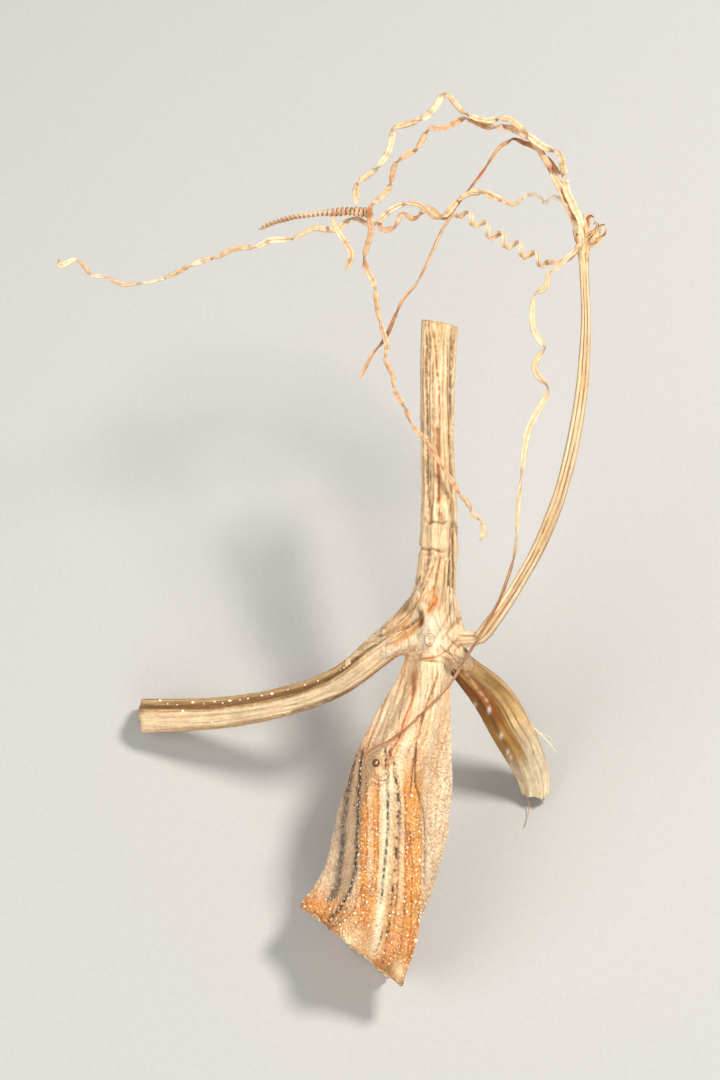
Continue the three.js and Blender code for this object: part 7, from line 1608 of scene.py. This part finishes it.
# resin bead at the tip
BD = np.array(BEAD[:3], float)
vv, ff = ICO_V, ICO_F
import bmesh
bm = bmesh.new(); bmesh.ops.create_icosphere(bm, subdivisions=5, radius=1.0)
vv = np.array([q.co[:] for q in bm.verts]); ff = np.array([[q.index for q in p.verts] for p in bm.faces]); bm.free()
lump = 1 + 0.16 * (fbm(vv[:, 0] * 1.3, vv[:, 1] * 1.3, vv[:, 2] * 1.3, 720, 3) - 0.5) + 0.10 * vv[:, 1] * vv[:, 0] - 0.14 * np.exp(-((vv[:, 0] * 0.6 + vv[:, 1]) / 0.12) ** 2) * (vv[:, 2] > 0)
q = vv * lump[:, None] * np.array([0.86, 0.92, 0.80]) + BD
c = np.broadcast_to(srgb(150, 88, 38), q.shape).copy()
c = mix(c, srgb(84, 44, 18), smooth(0.45, 0.65, fbm(vv[:, 0] * 2, vv[:, 1] * 2, vv[:, 2] * 2, 721, 3)) * 0.7)
# lighter towards the upper front, a dark rim and a pale middle: painted highlight and painted shade of a clear drop,
# over its amber
c = mix(c, srgb(240, 196, 140), smooth(0.3, 0.9, vv[:, 0] * 0.3 + vv[:, 1] * 0.7 + vv[:, 2] * 0.5) * 0.35)
rd = np.hypot(vv[:, 0] - 0.05, vv[:, 1] - 0.05)
c = mix(c, srgb(70, 36, 14), smooth(0.34, 0.62, rd) * 0.8 * (vv[:, 2] > -0.4))
c = mix(c, srgb(246, 214, 166), smooth(0.40, 0.16, rd) * (vv[:, 2] > 0) * 0.9)
c = mix(c, srgb(60, 32, 14), np.exp(-(((vv[:, 0] + 0.15) / 0.16) ** 2 + ((vv[:, 1] - 0.05) / 0.5) ** 2)) * (vv[:, 2] > 0) * 0.8)
mesh = Mesh(); mesh.add(q, [ff], c, q)
M_BEAD = tissue("amber_resin", fibre=(1.0, 1.0), fibre_dark=0.2, mottle=0.18, rough=(0.10, 0.28), bump_mm=0.03, grain=12.0, sss=0.2, spec=0.6, coat=0.6)
mesh.build("resin_bead", M_BEAD, "hanging_branch", ["tendril_tip_bead"])

# ---------------------------------------------------------------- floor, light and camera
fm = bpy.data.materials.new("pale_paper")
fm.use_nodes = True
nt = fm.node_tree
b = nt.nodes["Principled BSDF"]
tc = nt.nodes.new("ShaderNodeTexCoord")
ns = nt.nodes.new("ShaderNodeTexNoise"); ns.inputs["Scale"].default_value = 900.0; ns.inputs["Detail"].default_value = 4.0
nt.links.new(tc.outputs["Object"], ns.inputs["Vector"])
cr = nt.nodes.new("ShaderNodeMapRange")
cr.inputs["To Min"].default_value = 0.50; cr.inputs["To Max"].default_value = 0.56
nt.links.new(ns.outputs["Fac"], cr.inputs["Value"])
cc = nt.nodes.new("ShaderNodeCombineColor")
for k in ("Red", "Green", "Blue"):
    nt.links.new(cr.outputs["Result"], cc.inputs[k])
nt.links.new(cc.outputs["Color"], b.inputs["Base Color"])
b.inputs["Roughness"].default_value = 0.9
b.inputs["Specular IOR Level"].default_value = 0.1
bpy.ops.mesh.primitive_grid_add(x_subdivisions=4, y_subdivisions=4, size=3.0, location=(0, 0, -0.0004))
floor = bpy.context.object
floor.name = "pale_floor"
floor.data.materials.append(fm)

def area(name, loc, target, size, power, color):
    li = bpy.data.lights.new(name, "AREA")
    li.energy, li.size, li.color, li.shape = power, size, color, "DISK"
    ob = bpy.data.objects.new(name, li)
    ob.location = loc
    ob.rotation_euler = (Vector(target) - Vector(loc)).to_track_quat("-Z", "Y").to_euler()
    bpy.context.scene.collection.objects.link(ob)
    return ob
area("key", (0.34, 0.16, 0.66), (0.0, -0.02, 0.04), 0.16, 5.15, (1.0, 0.955, 0.875))
area("fill", (-0.55, -0.25, 0.55), (0.0, -0.02, 0.04), 0.6, 3.2, (1.0, 0.97, 0.93))
area("low_front", (0.10, -0.62, 0.42), (0.0, -0.02, 0.05), 0.4, 1.2, (1.0, 0.97, 0.92))

w = bpy.context.scene.world or bpy.data.worlds.new("World")
bpy.context.scene.world = w
w.use_nodes = True
bg = w.node_tree.nodes.get("Background") or w.node_tree.nodes.new("ShaderNodeBackground")
bg.inputs["Color"].default_value = (1.0, 0.98, 0.95, 1)
bg.inputs["Strength"].default_value = 0.32

cam = bpy.data.cameras.new("camera")
cam.lens, cam.sensor_width, cam.sensor_fit = 90.0, 36.0, "AUTO"
cam.clip_start, cam.clip_end = 0.01, 20.0
co = bpy.data.objects.new("camera", cam)
eye = to_row(np.array([0.0, 0.0, EYE]))
co.location = tuple(eye)
co.rotation_euler = (LEAN, 0.0, 0.0)
bpy.context.scene.collection.objects.link(co)
bpy.context.scene.camera = co
bpy.context.scene.view_settings.view_transform = "Standard"
